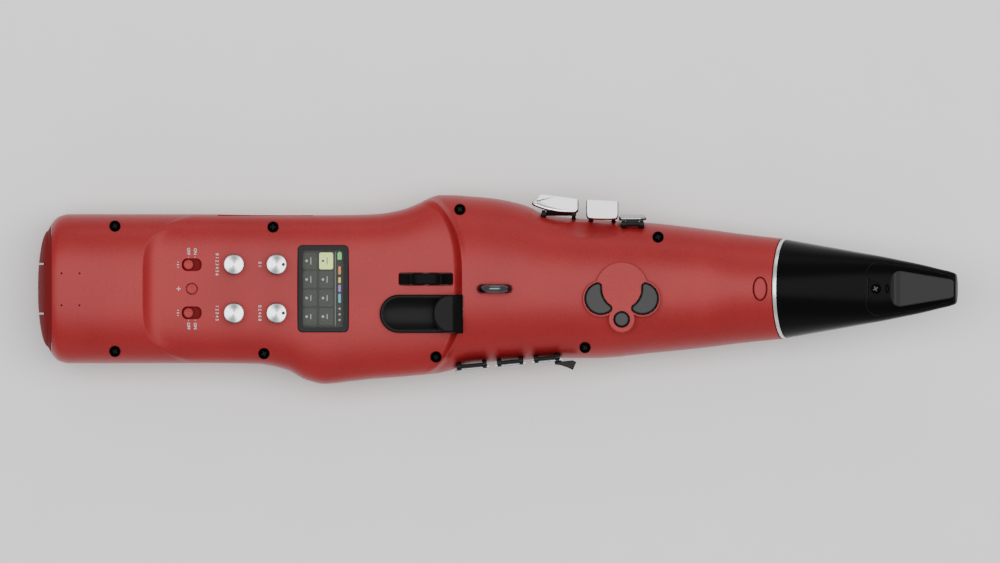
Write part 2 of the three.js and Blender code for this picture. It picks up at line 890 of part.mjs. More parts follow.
const knobShaftBore = knobShaftDiameter / 2 + fitGap;
const panelOpenings = [
  ...knobPlaces.map(([x, y]) => pinAlongZ(knobShaftBore, x, y, underPanel, overPanel, fineSides)),
  ...lanes.map((lane) => upright(
    roundedRectangle(switchX, lane * switchLaneY, switchSlotLength, switchSlotWidth, switchCapDiameter / 2),
    underPanel,
    overPanel,
  )),
  pinAlongZ(panelButtonHoleDiameter / 2, switchX, 0, underPanel, overPanel, 20),
  upright(
    roundedRectangle(
      screenCentreX,
      0,
      screenLength + 2 * fitGap,
      screenWidth + 2 * fitGap,
      screenCornerRadius + fitGap,
    ),
    underPanel,
    overPanel,
  ),
  upright(
    roundedRectangle(wheelX, wheelY, wheelSlotLength, wheelSlotWidth, wheelSlotRadius),
    underPanel,
    skyHeight,
  ),
  ...restPegXs.map((x) => pinAlongZ(restPegRadius + fitGap, x, restY, underPanel, overPanel, fineSides)),
  block(
    hookFaceX,
    restNotchX,
    restY - restHalfWidth - fitGap,
    restY + restHalfWidth + fitGap,
    panelFloorHeight,
    skyHeight,
  ),
];

const strapFootHeight = strapCentreHeight - strapFootDepth - strapSeatDepth;
const upperOpenings = [
  ...lanes.map((side) => pinAlongZ(
    strapWire + fitGap,
    strapX + side * strapRadius,
    0,
    strapFootHeight - fitGap,
    skyHeight,
    12,
  )),
  ...lanes.map((side) => upright(beanShape(side, fitGap), octaveFoot - cutOverrun, skyHeight)),
  octaveDisc(roundPadRadius + fitGap, octaveX, octaveLobeY, octaveFoot - cutOverrun, skyHeight),
  ovalPrism(
    releaseX,
    0,
    releaseLength + 2 * fitGap,
    releaseWidth + 2 * fitGap,
    releaseTop - releaseDepth - cutOverrun,
    skyHeight,
  ),
];

// Lever keys on both sides, with the rails that carry them inside the casing
const palmRail = { across: palmRailY, foot: palmRailFoot };
const sideRail = { across: -sideRailReach - railWidth, foot: sideRailFoot };
const palmKeys = palmKeyShares.map(([from, to, outerY, outerZ, innerY, innerZ, pinY, pinZ]) => ({
  from: bodyTailX + from * bodyLength,
  to: bodyTailX + to * bodyLength,
  outer: [outerY * bellHalfWidth, outerZ * bodyHeight],
  inner: [innerY * bellHalfWidth, innerZ * bodyHeight],
  pin: [pinY * bellHalfWidth, pinZ * bodyHeight],
}));
const sideKeys = sideKeyShares.map(([from, to]) => ({
  from: from * sideLineLength,
  to: to * sideLineLength,
  outer: [0, sidePlateTop - sidePlateHeight],
  inner: [-sidePlateLean, sidePlateTop],
  pin: [-sidePinReach, sidePinHeight],
}));
const sideGroup = new THREE.Group();
sideGroup.position.set(sideLineX, sideLineY, 0);
sideGroup.rotation.z = sideLineAngle;
sideGroup.updateMatrixWorld(true);
instrument.add(sideGroup);

const leverOpenings = [
  ...palmKeys.flatMap((key) => leverFins(1, key.from, key.to, key, palmRail, fitGap)),
  ...sideKeys.flatMap((key) => leverFins(-1, key.from, key.to, key, sideRail, fitGap)).map((fin) => (
    movedBody(fin, sideGroup.matrixWorld)
  )),
];

const portOpenings = [
  pinAlongY(lineJackNoseRadius + fitGap, lineJackX, facetY - cutOverrun, facetY + cutOverrun, portHeight),
  pinAlongY(phonesJackNoseRadius + fitGap, phonesJackX, facetY - cutOverrun, facetY + cutOverrun, portHeight),
  block(
    dataPortX - dataPortWidth / 2 - fitGap,
    dataPortX + dataPortWidth / 2 + fitGap,
    facetY - cutOverrun,
    facetY + cutOverrun,
    portHeight - dataPortHeight / 2 - fitGap,
    portHeight + dataPortHeight / 2 + fitGap,
  ),
];

const casing = cut(
  join(cut(outerBody, hollow), ...bosses),
  facet,
  ...screwHoles,
  ...leverOpenings,
  ...portOpenings,
);
const seamTop = partingHeight + fitGap / 2;
const seamBottom = partingHeight - fitGap / 2;
const rearHalf = block(tailX, farX, -wide, wide, seamTop, skyHeight);
const frontHalf = block(tailX, farX, -wide, wide, 0, seamBottom);
place(
  'rear_shell',
  cut(casing.intersect(rearHalf), ...panelOpenings, ...upperOpenings),
  'red',
);

// Front key rods and the posts that hold them
const leftRod = [bedTailX + bedLeftRodStart, bedNeckX - bedRodInset];
const rightRod = [bedTailX + bedRodInset, rightRodEnd];
const rods = { left_key_rod: leftRod, right_key_rod: rightRod };
const postTops = bedDeckHeight + fitGap;

function keyPosts([start, end], middles) {
  const posts = [start, ...middles, end - keyPostWidth];
  return posts.map((x) => block(
    x,
    x + keyPostWidth,
    keyRodY - keyBarrelRadius,
    bedHalfWidth + fitGap,
    keyRodHeight - keyBarrelRadius,
    postTops,
  ));
}

const postHoles = Object.values(rods).map(([start, end]) => pinAlongX(
  keyRodRadius + fitGap,
  start + keyPostWidth / 3,
  end - keyPostWidth / 3,
  keyRodY,
  keyRodHeight,
));
place(
  'front_shell',
  cut(
    join(
      cut(casing.intersect(frontHalf), bedBlock(0)),
      ...keyPosts(leftRod, [leftMiddlePost]),
      ...keyPosts(rightRod, [rightMiddlePost]),
    ),
    ...postHoles,
  ),
  'red',
);
for (const [name, [start, end]] of Object.entries(rods)) {
  const inset = keyPostWidth / 3 + fitGap;
  place(name, pinAlongX(keyRodRadius, start + inset, end - inset, keyRodY, keyRodHeight), 'steel');
}

// Casing screws
screwPlaces.forEach(([x, y], index) => {
  const seat = screwSeatHeight + fitGap;
  const headTop = seat + screwHeadHeight;
  const slot = [screwSlotLength / 2, screwSlotWidth / 2];
  const screw = cut(
    join(
      pinAlongZ(screwHeadDiameter / 2, x, y, seat, headTop, middleSides),
      pinAlongZ(screwShankDiameter / 2, x, y, seat - screwLength, headTop - screwSlotDepth, shankSides),
    ),
    block(x - slot[0], x + slot[0], y - slot[1], y + slot[1], headTop - screwSlotDepth, skyHeight),
    block(x - slot[1], x + slot[1], y - slot[0], y + slot[0], headTop - screwSlotDepth, skyHeight),
  );
  place(`shell_screw_${index + 1}`, screw, 'black');
});

// End cap with its two snap slots and the tab between them
function capRing(reach, inset) {
  const doming = Math.sqrt(1 - (reach * capDomeFullShare) ** 2);
  const rim = bodyRing(bodySectionShares[0], inset);
  const foot = bodyRing(bodySectionShares[0], inset)[0].z;
  return rim.map((point) => new THREE.Vector3(
    bodyTailX - fitGap - reach * (capDepth - fitGap),
    point.y * doming,
    foot + (point.z - foot) * doming,
  ));
}

const capDomeShares = [0, 0.36, 0.6, 0.8, 0.93, 1];
const capDomeFullShare = 0.985;
const capDome = loft(capDomeShares.map((share) => capRing(share, 0)));
const plugInset = casingWall + fitGap;
const plugFoot = bodyTailX - fitGap;
const plugRoot = cutOverrun / 4;

function plugTube(inset, startX, endX) {
  const ring = bodyRing(bodySectionShares[0], inset, innerRingPoints);
  return loft([startX, endX].map((x) => ring.map((point) => new THREE.Vector3(x, point.y, point.z))));
}

const plugOuter = plugTube(plugInset, plugFoot - plugRoot, plugFoot + capPlugDepth);
const plugInner = plugTube(plugInset + capPlugWall, plugFoot, plugFoot + capPlugDepth + cutOverrun);
const capFaceX = bodyTailX - capDepth;
const capSlots = [1, -1].map((side) => block(
  capFaceX - cutOverrun,
  capFaceX + capSlotDepth,
  (side * capSlotPitch) / 2 - capSlotWidth / 2,
  (side * capSlotPitch) / 2 + capSlotWidth / 2,
  capSlotFootHeight,
  skyHeight,
));
const tabDip = new THREE.SphereGeometry(1, fineSides, coarseSides);
tabDip.scale(capTabLength / 2, capTabWidth / 2, capTabDepth);
tabDip.translate(bodyTailX - capTabLength / 2 - fitGap, 0, bodyHeight * bodySectionShares[0][1]);
place('end_cap', cut(join(capDome, plugOuter), plugInner, ...capSlots, bodyOf(tabDip)), 'darkRed');

// Rotary knobs with their shafts; the second column has an index dot
knobPlaces.forEach(([x, y], index) => {
  const foot = panelFloorHeight + fitGap;
  const top = foot + knobHeight;
  const knob = join(
    pinAlongZ(knobDiameter / 2, x, y, foot, top - knobDotDepth, 20),
    pinAlongZ(knobDiameter / 2, x, y, top - knobDotDepth, top, 20, knobTopDiameter / 2),
    pinAlongZ(knobShaftDiameter / 2, x, y, encoderTop - knobShaftReach, foot + knobDotDepth, fineSides),
  );
  const dotted = x > knobRowX;
  const dotFoot = top - knobDotDepth;
  const dot = pinAlongZ(knobDotDiameter / 2, x + knobDotOffset, y, dotFoot, skyHeight, coarseSides);
  place(`knob_${index + 1}`, dotted ? cut(knob, dot) : knob, 'silver');
});

// Slide switch caps and the round button
const switchRestX = switchX - switchTravel / 2;
lanes.forEach((lane, index) => {
  const foot = switchBodyTop + fitGap;
  const top = panelFloorHeight + capProud;
  const cap = pinAlongZ(switchCapDiameter / 2, switchRestX, lane * switchLaneY, foot, top, 20);
  place(`switch_cap_${index + 1}`, cap, 'darkRed');
});
place(
  'panel_button',
  pinAlongZ(
    panelButtonDiameter / 2,
    switchX,
    0,
    tactSwitchTop + panelButtonTravel + fitGap,
    panelFloorHeight + capProud,
    20,
  ),
  'darkRed',
);

// Panel circuit board with its encoders, slide switches and push switch
function bodyOnBoard(x, y, length, width, top) {
  return block(x - length / 2, x + length / 2, y - width / 2, y + width / 2, panelBoardTop - fitGap, top);
}

const panelBoard = block(
  panelBoardTailX,
  panelBoardNeckX,
  -panelBoardHalfWidth,
  panelBoardHalfWidth,
  panelBoardTop - boardThickness,
  panelBoardTop,
);
place(
  'panel_board',
  cut(
    join(
      panelBoard,
      ...knobPlaces.map(([x, y]) => bodyOnBoard(x, y, encoderSide, encoderSide, encoderTop)),
      ...lanes.map((lane) => (
        bodyOnBoard(switchX, lane * switchLaneY, switchBodyLength, switchBodyWidth, switchBodyTop)
      )),
      bodyOnBoard(switchX, 0, tactSwitchSide, tactSwitchSide, tactSwitchTop),
    ),
    ...knobPlaces.map(([x, y]) => pinAlongZ(
      knobShaftDiameter / 2 + pinGap,
      x,
      y,
      encoderTop - knobShaftReach - fitGap,
      skyHeight,
      fineSides,
    )),
  ),
  'board',
);

// Screen window and the module behind it
const screenWindowFoot = panelFloorHeight + fitGap - screenWindowThickness;
place(
  'screen_window',
  upright(
    roundedRectangle(screenCentreX, 0, screenLength, screenWidth, screenCornerRadius),
    screenWindowFoot,
    screenWindowFoot + screenWindowThickness,
  ),
  'glass',
);
const moduleHalfLength = screenLength / 2 + screenModuleMargin;
const moduleHalfWidth = screenWidth / 2 + screenModuleMargin;
const moduleTop = panelUndersideHeight - screenModuleDrop;
place(
  'screen_module',
  block(
    screenCentreX - moduleHalfLength,
    screenCentreX + moduleHalfLength,
    -moduleHalfWidth,
    moduleHalfWidth,
    moduleTop - screenModuleThickness,
    moduleTop,
  ),
  'black',
);

// Pitch wheel, its axle and the cradle that hangs under the panel
const wheelLow = wheelY - wheelWidth / 2;
const wheelHigh = wheelY + wheelWidth / 2;
place(
  'pitch_wheel',
  cut(
    pinAlongY(wheelRadius, wheelX, wheelLow, wheelHigh, wheelCentreHeight, 36),
    pinAlongY(
      wheelDishRadius,
      wheelX,
      wheelLow - cutOverrun,
      wheelHigh + cutOverrun,
      wheelCentreHeight + wheelDishOffset,
      32,
    ),
    pinAlongY(
      wheelBoreRadius + pinGap,
      wheelX,
      wheelLow - cutOverrun,
      wheelHigh + cutOverrun,
      wheelCentreHeight,
      fineSides,
    ),
  ),
  'black',
);
const cradleLow = wheelLow - pinGap - cradlePlate;
const cradleHigh = wheelHigh + pinGap + cradlePlate;
const axleLow = cradleLow - pinGap - axleHeadLength;
const axleNeck = axleLow + axleHeadLength;
const axleMiddle = axleLow + axleHeadLength / 2;
place(
  'wheel_axle',
  join(
    pinAlongY(wheelBoreRadius, wheelX, axleMiddle, cradleHigh, wheelCentreHeight, fineSides),
    pinAlongY(axleHeadRadius, wheelX, axleLow, axleNeck, wheelCentreHeight, fineSides),
  ),
  'steel',
);
place(
  'wheel_cradle',
  cut(
    block(
      wheelX - cradleHalfLength,
      wheelX + cradleHalfLength,
      cradleLow,
      cradleHigh,
      cradleFootHeight,
      panelUndersideHeight - fitGap - screenModuleDrop,
    ),
    block(
      wheelX - wheelRadius,
      wheelX + wheelRadius,
      wheelLow - pinGap,
      wheelHigh + pinGap,
      cradleFootHeight + cradlePlate,
      skyHeight,
    ),
    pinAlongY(
      wheelBoreRadius + pinGap,
      wheelX,
      cradleLow - cutOverrun,
      cradleHigh + cutOverrun,
      wheelCentreHeight,
      fineSides,
    ),
  ),
  'softBlack',
);

// Thumb rest: a dished plate with a hook that bulges over the thumb
const restFoot = panelFloorHeight + fitGap;
const restTop = restFoot + restPlate;
const pegFoot = restFoot - restPegDepth;
const restRound = new THREE.Shape();
restRound.moveTo(restNeckX, restY - restHalfWidth);
restRound.lineTo(restNeckX, restY + restHalfWidth);
restRound.absarc(restTailX + restHalfWidth, restY, restHalfWidth, Math.PI / 2, Math.PI * 1.5, false);
const hookShape = new THREE.Shape();
const hookArcRadius = (restHalfWidth ** 2 + hookBulge ** 2) / (2 * hookBulge);
const hookArcAngle = Math.asin(restHalfWidth / hookArcRadius);
hookShape.moveTo(restNeckX, restY - restHalfWidth);
hookShape.lineTo(restNeckX, restY + restHalfWidth);
hookShape.absarc(
  hookFaceX - hookBulge + hookArcRadius,
  restY,
  hookArcRadius,
  Math.PI - hookArcAngle,
  Math.PI + hookArcAngle,
  false,
);
const restDish = pinAlongX(
  restDishRadius,
  restTailX - cutOverrun,
  hookFaceX,
  restY,
  restTop + restDishRadius - restDishDepth,
  72,
);
place(
  'thumb_rest',
  join(
    cut(upright(restRound, restFoot, restTop), restDish),
    block(
      hookFaceX,
      restNeckX,
      restY - restHalfWidth,
      restY + restHalfWidth,
      restFoot,
      hookHeight - hookLip / 2,
    ),
    upright(hookShape, hookHeight - hookLip, hookHeight),
    ...restPegXs.map((x) => pinAlongZ(restPegRadius, x, restY, pegFoot, restFoot + fitGap, fineSides)),
  ),
  'black',
);

// Strap ring: a half hoop of round wire with both feet in the casing
const strapSteps = 10;
const wireSides = 8;
function wireRing(centre, heading) {
  const ring = [];
  for (let step = 0; step < wireSides; step += 1) {
    const turn = (2 * Math.PI * step) / wireSides;
    ring.push(new THREE.Vector3(
      centre.x + strapWire * Math.cos(turn) * Math.cos(heading),
      strapWire * Math.sin(turn),
      centre.z + strapWire * Math.cos(turn) * Math.sin(heading),
    ));
  }
  return ring;
}
const strapRings = [wireRing(new THREE.Vector3(strapX + strapRadius, 0, strapFootHeight), 0)];
for (let step = 0; step <= strapSteps; step += 1) {
  const angle = (Math.PI * step) / strapSteps;
  const centre = new THREE.Vector3(
    strapX + strapRadius * Math.cos(angle),
    0,
    strapCentreHeight + strapRadius * Math.sin(angle),
  );
  strapRings.push(wireRing(centre, angle));
}
strapRings.push(wireRing(new THREE.Vector3(strapX - strapRadius, 0, strapFootHeight), Math.PI));
place('strap_ring', loft(strapRings), 'black');

// Octave pads
const padTop = octaveTop + octavePadRise;
const padFoot = padTop - octavePadDepth;
lanes.forEach((side) => place(
  side < 0 ? 'octave_pad_tail' : 'octave_pad_neck',
  upright(beanShape(side, 0), padFoot, padTop),
  'grey',
));
place(
  'octave_pad_round',
  pinAlongZ(roundPadRadius, octaveX, octaveLobeY, padFoot, padTop, 20),
  'grey',
);

// Release button
place(
  'release_button',
  ovalPrism(releaseX, 0, releaseLength, releaseWidth, releaseTop - releaseDepth, releaseTop),
  'red',
);

// Neck parts, drawn along the tilted neck from the middle of the trim ring
function neckOval(from, to, inset, sides = 24) {
  const oval = cylinder(1, to - from, sides);
  oval.rotateZ(Math.PI / 2);
  oval.scale(1, neckHalfWidth - inset, neckHalfHeight - inset);
  oval.translate((from + to) / 2, 0, 0);
  return bodyOf(oval);
}
const trimHalf = trimThickness / 2;
place(
  'trim_ring',
  cut(neckOval(-trimHalf, trimHalf, 0), neckOval(-cutOverrun, cutOverrun, trimWall)),
  'silver',
  neckGroup,
);
const flangeFront = -trimHalf - fitGap;
const flangeBack = flangeFront - socketFlangeThickness;
const sealFront = tenonLength - sealInset;
const sealBack = sealFront - sealWidth;
place(
  'neck_socket',
  cut(
    join(
      neckOval(flangeBack, flangeFront, socketFlangeMargin),
      pinAlongX(tenonRadius, flangeBack - tenonTail, tenonLength, 0, 0, 18),
    ),
    pinAlongX(tenonBoreRadius, -bodyLength, bodyLength, 0, 0, middleSides),
    cut(
      pinAlongX(tenonRadius + cutOverrun, sealBack, sealFront, 0, 0, 18),
      pinAlongX(tenonRadius - sealDepth, sealBack - cutOverrun, sealFront + cutOverrun, 0, 0, 18),
    ),
  ),
  'softBlack',
  neckGroup,
);
place(
  'neck_seal',
  cut(
    pinAlongX(tenonRadius + fitGap / 2, sealBack + fitGap, sealFront - fitGap, 0, 0, 18),
    pinAlongX(tenonRadius - sealDepth + fitGap, sealBack - cutOverrun, sealFront + cutOverrun, 0, 0, 18),
  ),
  'softBlack',
  neckGroup,
);

// Mouthpiece: along the neck axis, half width, height above and depth below the axis
const mouthpieceShares = [
  [0, 0.985, 0.985, 0.985],
  [0.19, 0.872, 0.865, 0.885],
  [0.31, 0.8, 0.74, 0.76],
  [0.43, 0.726, 0.6, 0.62],
  [0.55, 0.656, 0.46, 0.5],
  [0.665, 0.576, 0.35, 0.42],
  [0.78, 0.496, 0.28, 0.31],
  [0.9, 0.397, 0.21, 0.2],
  [0.97, 0.336, 0.17, 0.15],
  [0.995, 0.29, 0.15, 0.13],
  [1, 0.2, 0.1, 0.09],
];
const mouthpieceStart = trimHalf + fitGap;

function mouthpieceRing([along, across, above, below]) {
  const ring = [];
  for (let step = 0; step < ringPoints; step += 1) {
    const angle = (2 * Math.PI * step) / ringPoints;
    const height = Math.sin(angle) >= 0 ? above : below;
    const power = 2 / (neckExponent + along * beakSquareness);
    ring.push(new THREE.Vector3(
      mouthpieceStart + along * (mouthpieceLength - mouthpieceStart),
      powered(Math.cos(angle), power) * across * neckHalfWidth,
      powered(Math.sin(angle), power) * height * neckHalfHeight,
    ));
  }
  return ring;
}
const mouthpieceSolid = loft(mouthpieceShares.map(mouthpieceRing));

// Plan of the beak insert: a round heel, then sides that follow the taper.
function beakPlan(grow) {
  const halfAt = (along) => (
    interpolated(mouthpieceShares, 1, along / mouthpieceLength) * neckHalfWidth - beakMargin + grow
  );
  const heel = beakHeelHalfWidth + grow;
  const sideStart = beakStart + beakHeelRound;
  const side = [
    [beakStart - grow, heel - beakHeelRound],
    [beakStart + beakHeelRound * heelBendShare, heel - beakHeelRound * heelBendShare],
    [sideStart, heel],
    [reedStart + beakHeelRound, halfAt(reedStart + beakHeelRound)],
    [beakEnd - airSlotWidth, halfAt(beakEnd - airSlotWidth)],
    [beakEnd + grow, halfAt(beakEnd)],
  ];
  const mirrored = side.map(([along, half]) => [along, -half]).reverse();
  return [...mirrored, ...side];
}
const reedLineAt = (along) => (
  reedHeelHeight + ((along - reedStart) / (reedEnd - reedStart)) * (reedTipHeight - reedHeelHeight)
);
const overBeak = crosswise(
  [
    [reedStart, reedLineAt(reedStart) - reedThickness],
    [bodyLength, reedLineAt(bodyLength) - reedThickness],
    [bodyLength, bodyLength],
    [reedStart, bodyLength],
  ],
  -bodyLength,
  bodyLength,
);
const beakPocket = upright(
  [
    [beakStart + beakPocketInset, -beakPocketHalfWidth * pocketFlareShare],
    [reedStart - fitGap, -beakPocketHalfWidth],
    [reedStart - fitGap, beakPocketHalfWidth],
    [beakStart + beakPocketInset, beakPocketHalfWidth * pocketFlareShare],
  ],
  beakScrewSeat,
  bodyLength,
);
const beakScrewHole = pinAlongZ(
  beakScrewShankDiameter / 2 + fitGap,
  beakScrewAlong,
  0,
  beakScrewSeat - beakScrewLength,
  bodyLength,
  8,
);
const airSlot = block(
  beakEnd - airSlotWidth,
  bodyLength,
  -airSlotWidth / 2,
  airSlotWidth / 2,
  beakFloor - fitGap,
  beakFloor + airSlotHeight,
);
const airSlotLead = block(
  beakStart + beakHeelRound,
  bodyLength,
  -airwayRadius,
  airwayRadius,
  beakFloor - fitGap,
  beakFloor + airSlotHeight,
);
place(
  'mouthpiece_body',
  cut(
    mouthpieceSolid,
    pinAlongX(tenonRadius + fitGap, -cutOverrun, mouthpieceShoulder, 0, 0, 18),
    pinAlongX(airwayRadius, 0, beakStart + beakHeelRound + airwayRadius, 0, beakFloor, coarseSides),
    upright(beakPlan(fitGap), beakFloor - fitGap, bodyLength),
    beakScrewHole,
  ),
  'black',
  neckGroup,
);
place(
  'mouthpiece_beak',
  cut(
    mouthpieceSolid.intersect(upright(beakPlan(0), beakFloor, bodyLength)),
    overBeak,
    beakPocket,
    beakScrewHole,
    airSlot,
    airSlotLead,
  ),
  'black',
  neckGroup,
);

// Reed: a tapered plate with a rounded heel, lying on the sloping beak
const reedPlan = new THREE.Shape();
reedPlan.moveTo(reedEnd, -reedTipHalfWidth);
reedPlan.lineTo(reedEnd, reedTipHalfWidth);
reedPlan.lineTo(reedStart + reedHeelHalfWidth, reedHeelHalfWidth);
reedPlan.absarc(reedStart + reedHeelHalfWidth, 0, reedHeelHalfWidth, Math.PI / 2, Math.PI * 1.5, false);
const reedBand = crosswise(
  [
    [reedStart - fitGap, reedLineAt(reedStart - fitGap) - reedThickness + fitGap],
    [bodyLength, reedLineAt(bodyLength) - reedThickness + fitGap],
    [bodyLength, reedLineAt(bodyLength)],
    [reedStart - fitGap, reedLineAt(reedStart - fitGap)],
  ],
  -reedHeelHalfWidth,
  reedHeelHalfWidth,
);
const reedLow = reedLineAt(bodyLength) - reedThickness;
place('reed', upright(reedPlan, reedLow, bodyLength).intersect(reedBand), 'grey', neckGroup);

const screwFoot = beakScrewSeat + fitGap;
const beakScrewHead = screwFoot + beakScrewHeadHeight;
place(
  'beak_screw',
  cut(
    join(
      pinAlongZ(beakScrewHeadDiameter / 2, beakScrewAlong, 0, screwFoot, beakScrewHead, fineSides),
      pinAlongZ(
        beakScrewShankDiameter / 2,
        beakScrewAlong,
        0,
        beakScrewSeat - beakScrewLength + fitGap,
        beakScrewHead - screwSlotDepth / 2,
        coarseSides,
      ),
    ),
    block(
      beakScrewAlong - screwSlotLength / 2,
      beakScrewAlong + screwSlotLength / 2,
      -screwSlotWidth / 2,
      screwSlotWidth / 2,
      beakScrewHead - screwSlotDepth / 2,
      bodyLength,
    ),
    block(
      beakScrewAlong - screwSlotWidth / 2,
      beakScrewAlong + screwSlotWidth / 2,
      -screwSlotLength / 2,
      screwSlotLength / 2,
      beakScrewHead - screwSlotDepth / 2,
      bodyLength,
    ),
  ),
  'steel',
  neckGroup,
);

// A lever key: a plate, a hinge pin behind it and the arm that joins them.
// Points are drawn outward from the body and up; side is 1 toward the palm keys, -1 toward the side keys.
function leverKey(side, from, to, { outer, inner, pin }) {
  const edge = [outer, inner, pin].map(([across, up]) => new THREE.Vector2(across, up));
  const run = edge[0].clone().sub(edge[1]).normalize();
  const back = new THREE.Vector2(run.y, -run.x).multiplyScalar(leverPlate);
  const [outerBack, innerBack] = [edge[0], edge[1]].map((point) => point.clone().add(back));
  const halfBack = back.clone().multiplyScalar(1 / 2);
  const root = edge[1].clone().add(halfBack);
  const midway = edge[1].clone().lerp(edge[0], leverArmShare).add(halfBack);
  const reach = root.clone().add(midway).multiplyScalar(1 / 2).sub(edge[2]).normalize();
  const beside = new THREE.Vector2(-reach.y, reach.x).multiplyScalar(leverPinRadius);
  const rootFirst = root.clone().sub(midway).dot(beside) > 0;
  const armEnd = rootFirst ? [midway, root] : [root, midway];
  const facing = (points) => points.map((point) => [side * point.x, point.y]);
  return join(
    lengthwise(facing([edge[0], edge[1], innerBack, outerBack]), from, to),
    lengthwise(
      facing([edge[2].clone().add(beside), edge[2].clone().sub(beside), ...armEnd]),
      from + leverFinInset + leverFinWidth + fitGap,
      to - leverFinInset - leverFinWidth - fitGap,
    ),
    pinAlongX(
      leverPinRadius,
      from + leverFinInset - fitGap,
      to - leverFinInset + fitGap,
      side * pin[0],
      pin[1],
      8,
    ),
  );
}

// The two fins that carry one lever key, or the slots that they pass through when grown.
function leverFins(side, from, to, { pin }, rail, grow) {
  const starts = [from + leverFinInset, to - leverFinInset - leverFinWidth];
  const facing = (points) => points.map(([across, up]) => [side * across, up]);
  const top = pin[1] + leverRingRadius + grow;
  const slot = [
    [rail.across, rail.foot - grow],
    [pin[0] + leverRingRadius + grow, rail.foot - grow],
    [pin[0] + leverRingRadius + grow, top],
    [rail.across, top],
  ];
  const fin = [
    [rail.across, rail.foot],
    [pin[0] - leverRingRadius, rail.foot],
    [pin[0] + leverRingRadius * leverFinToeShare, pin[1] - leverRingRadius],
    [pin[0], pin[1] + leverRingRadius],
    [rail.across, rail.foot + railHeight],
  ];
  return starts.map((start) => {
    const outline = lengthwise(facing(grow > 0 ? slot : fin), start - grow, start + leverFinWidth + grow);
    if (grow > 0) {
      return outline;
    }
    const end = start + leverFinWidth;
    return join(outline, pinAlongX(leverRingRadius, start, end, side * pin[0], pin[1], coarseSides));
  });
}

// A rail with the fins of all its keys, bored for the hinge pins.
function leverBracket(side, keys, rail) {
  const starts = keys.map((key) => key.from + leverFinInset);
  const ends = keys.map((key) => key.to - leverFinInset);
  const inner = side * rail.across;
  const outerEdge = side * (rail.across + railWidth);
  return cut(
    join(
      block(
        Math.min(...starts),
        Math.max(...ends),
        Math.min(inner, outerEdge),
        Math.max(inner, outerEdge),
        rail.foot,
        rail.foot + railHeight,
      ),
      ...keys.flatMap((key) => leverFins(side, key.from, key.to, key, rail, 0)),
    ),
    ...keys.map((key) => pinAlongX(
      leverPinRadius + pinGap,
      key.from + leverFinInset - 2 * fitGap,
      key.to - leverFinInset + 2 * fitGap,
      side * key.pin[0],
      key.pin[1],
      8,
    )),
  );
}

for (const [index, key] of palmKeys.entries()) {
  place(`palm_key_${index + 1}`, leverKey(1, key.from, key.to, key), 'chrome');
}
place('palm_key_bracket', leverBracket(1, palmKeys, palmRail), 'softBlack');

const flareShape = sideFlareShares.map(([along, outward]) => [
  sideLineLength + along * sideEndLength,
  -outward * sideEndReach,
]);
const flare = upright(flareShape, sidePlateTop - sideFlareDepth, sidePlateTop - fitGap);
for (const [index, key] of sideKeys.entries()) {
  const lever = leverKey(-1, key.from, key.to, key);
  const lastKey = index === sideKeys.length - 1;
  place(`side_key_${index + 1}`, lastKey ? join(lever, flare) : lever, 'chrome', sideGroup);
}
place('side_key_bracket', leverBracket(-1, sideKeys, sideRail), 'softBlack', sideGroup);

// Front keys: touch cups on levers around the two rods, and two paddles for the little fingers
const keyFaceHeight = keyTopHeight;
const keyBackHeight = keyTopHeight + keyThickness;

function keyBarrel(x) {
  const reach = keyBarrelLength / 2;
  return pinAlongX(keyBarrelRadius, x - reach, x + reach, keyRodY, keyRodHeight, middleSides);
}

function finishKey(name, x, touch, paint) {
  const arm = block(
    x - keyArmWidth / 2,
    x + keyArmWidth / 2,
    keyDiscY,
    keyRodY,
    keyBackHeight - keyThickness / 2,
    keyBackHeight + keyThickness / 2,
  );
  const reach = keyBarrelLength;
  const rodHole = pinAlongX(keyRodRadius + pinGap, x - reach, x + reach, keyRodY, keyRodHeight, coarseSides);
  place(name, cut(join(touch, arm, keyBarrel(x)), rodHole), paint);
}

function touchCup(x) {
  const cup = pinAlongZ(keyDiscRadius, x, keyDiscY, keyFaceHeight, keyBackHeight, 18);
  return cut(cup, pinAlongZ(keyCupRadius, x, keyDiscY, -cutOverrun, keyFaceHeight + keyCupDepth, 14));
}

const leftKeyXs = [0, 1, 2].map((index) => leftKeyStart - index * keyPitch);
const rightKeyXs = [0, 1, 2].map((index) => rightKeyStart - index * keyPitch);
leftKeyXs.forEach((x, index) => finishKey(`left_key_${index + 1}`, x, touchCup(x), 'silver'));
rightKeyXs.forEach((x, index) => finishKey(`right_key_${index + 1}`, x, touchCup(x), 'silver'));
for (const [name, x] of [['left_pinky_key', leftPinkyX], ['right_pinky_key', rightPinkyX]]) {
  const paddle = roundedRectangle(x, pinkyY, pinkyLength, pinkyWidth, pinkyCornerRadius);
  finishKey(name, x, upright(paddle, keyFaceHeight, keyBackHeight), 'silver');
}

// Battery pack, main board with its breath sensor
place(
  'battery_pack',
  block(
    batteryTailX,
    batteryTailX + batteryLength,
    -batteryWidth / 2,
    batteryWidth / 2,
    casingWall + fitGap,
    casingWall + fitGap + batteryHeight,
  ),
  'cell',
);
const mainBoardFoot = bedDeckHeight + casingWall + fitGap;
const mainBoardTop = mainBoardFoot + boardThickness;
const boardReach = mainBoardHalfWidth;
place(
  'main_board',
  join(
    block(mainBoardTailX, mainBoardNeckX, -boardReach, boardReach, mainBoardFoot, mainBoardTop),
    block(
      sensorX - sensorSide / 2,
      sensorX + sensorSide / 2,
      -sensorSide / 2,
      sensorSide / 2,
      mainBoardTop - fitGap,
      mainBoardTop + sensorHeight,
    ),
    pinAlongX(
      sensorNippleRadius,
      sensorX,
      sensorX + sensorSide / 2 + sensorNippleLength,
      0,
      mainBoardTop + sensorHeight / 2,
      10,
    ),
  ),
  'board',
);

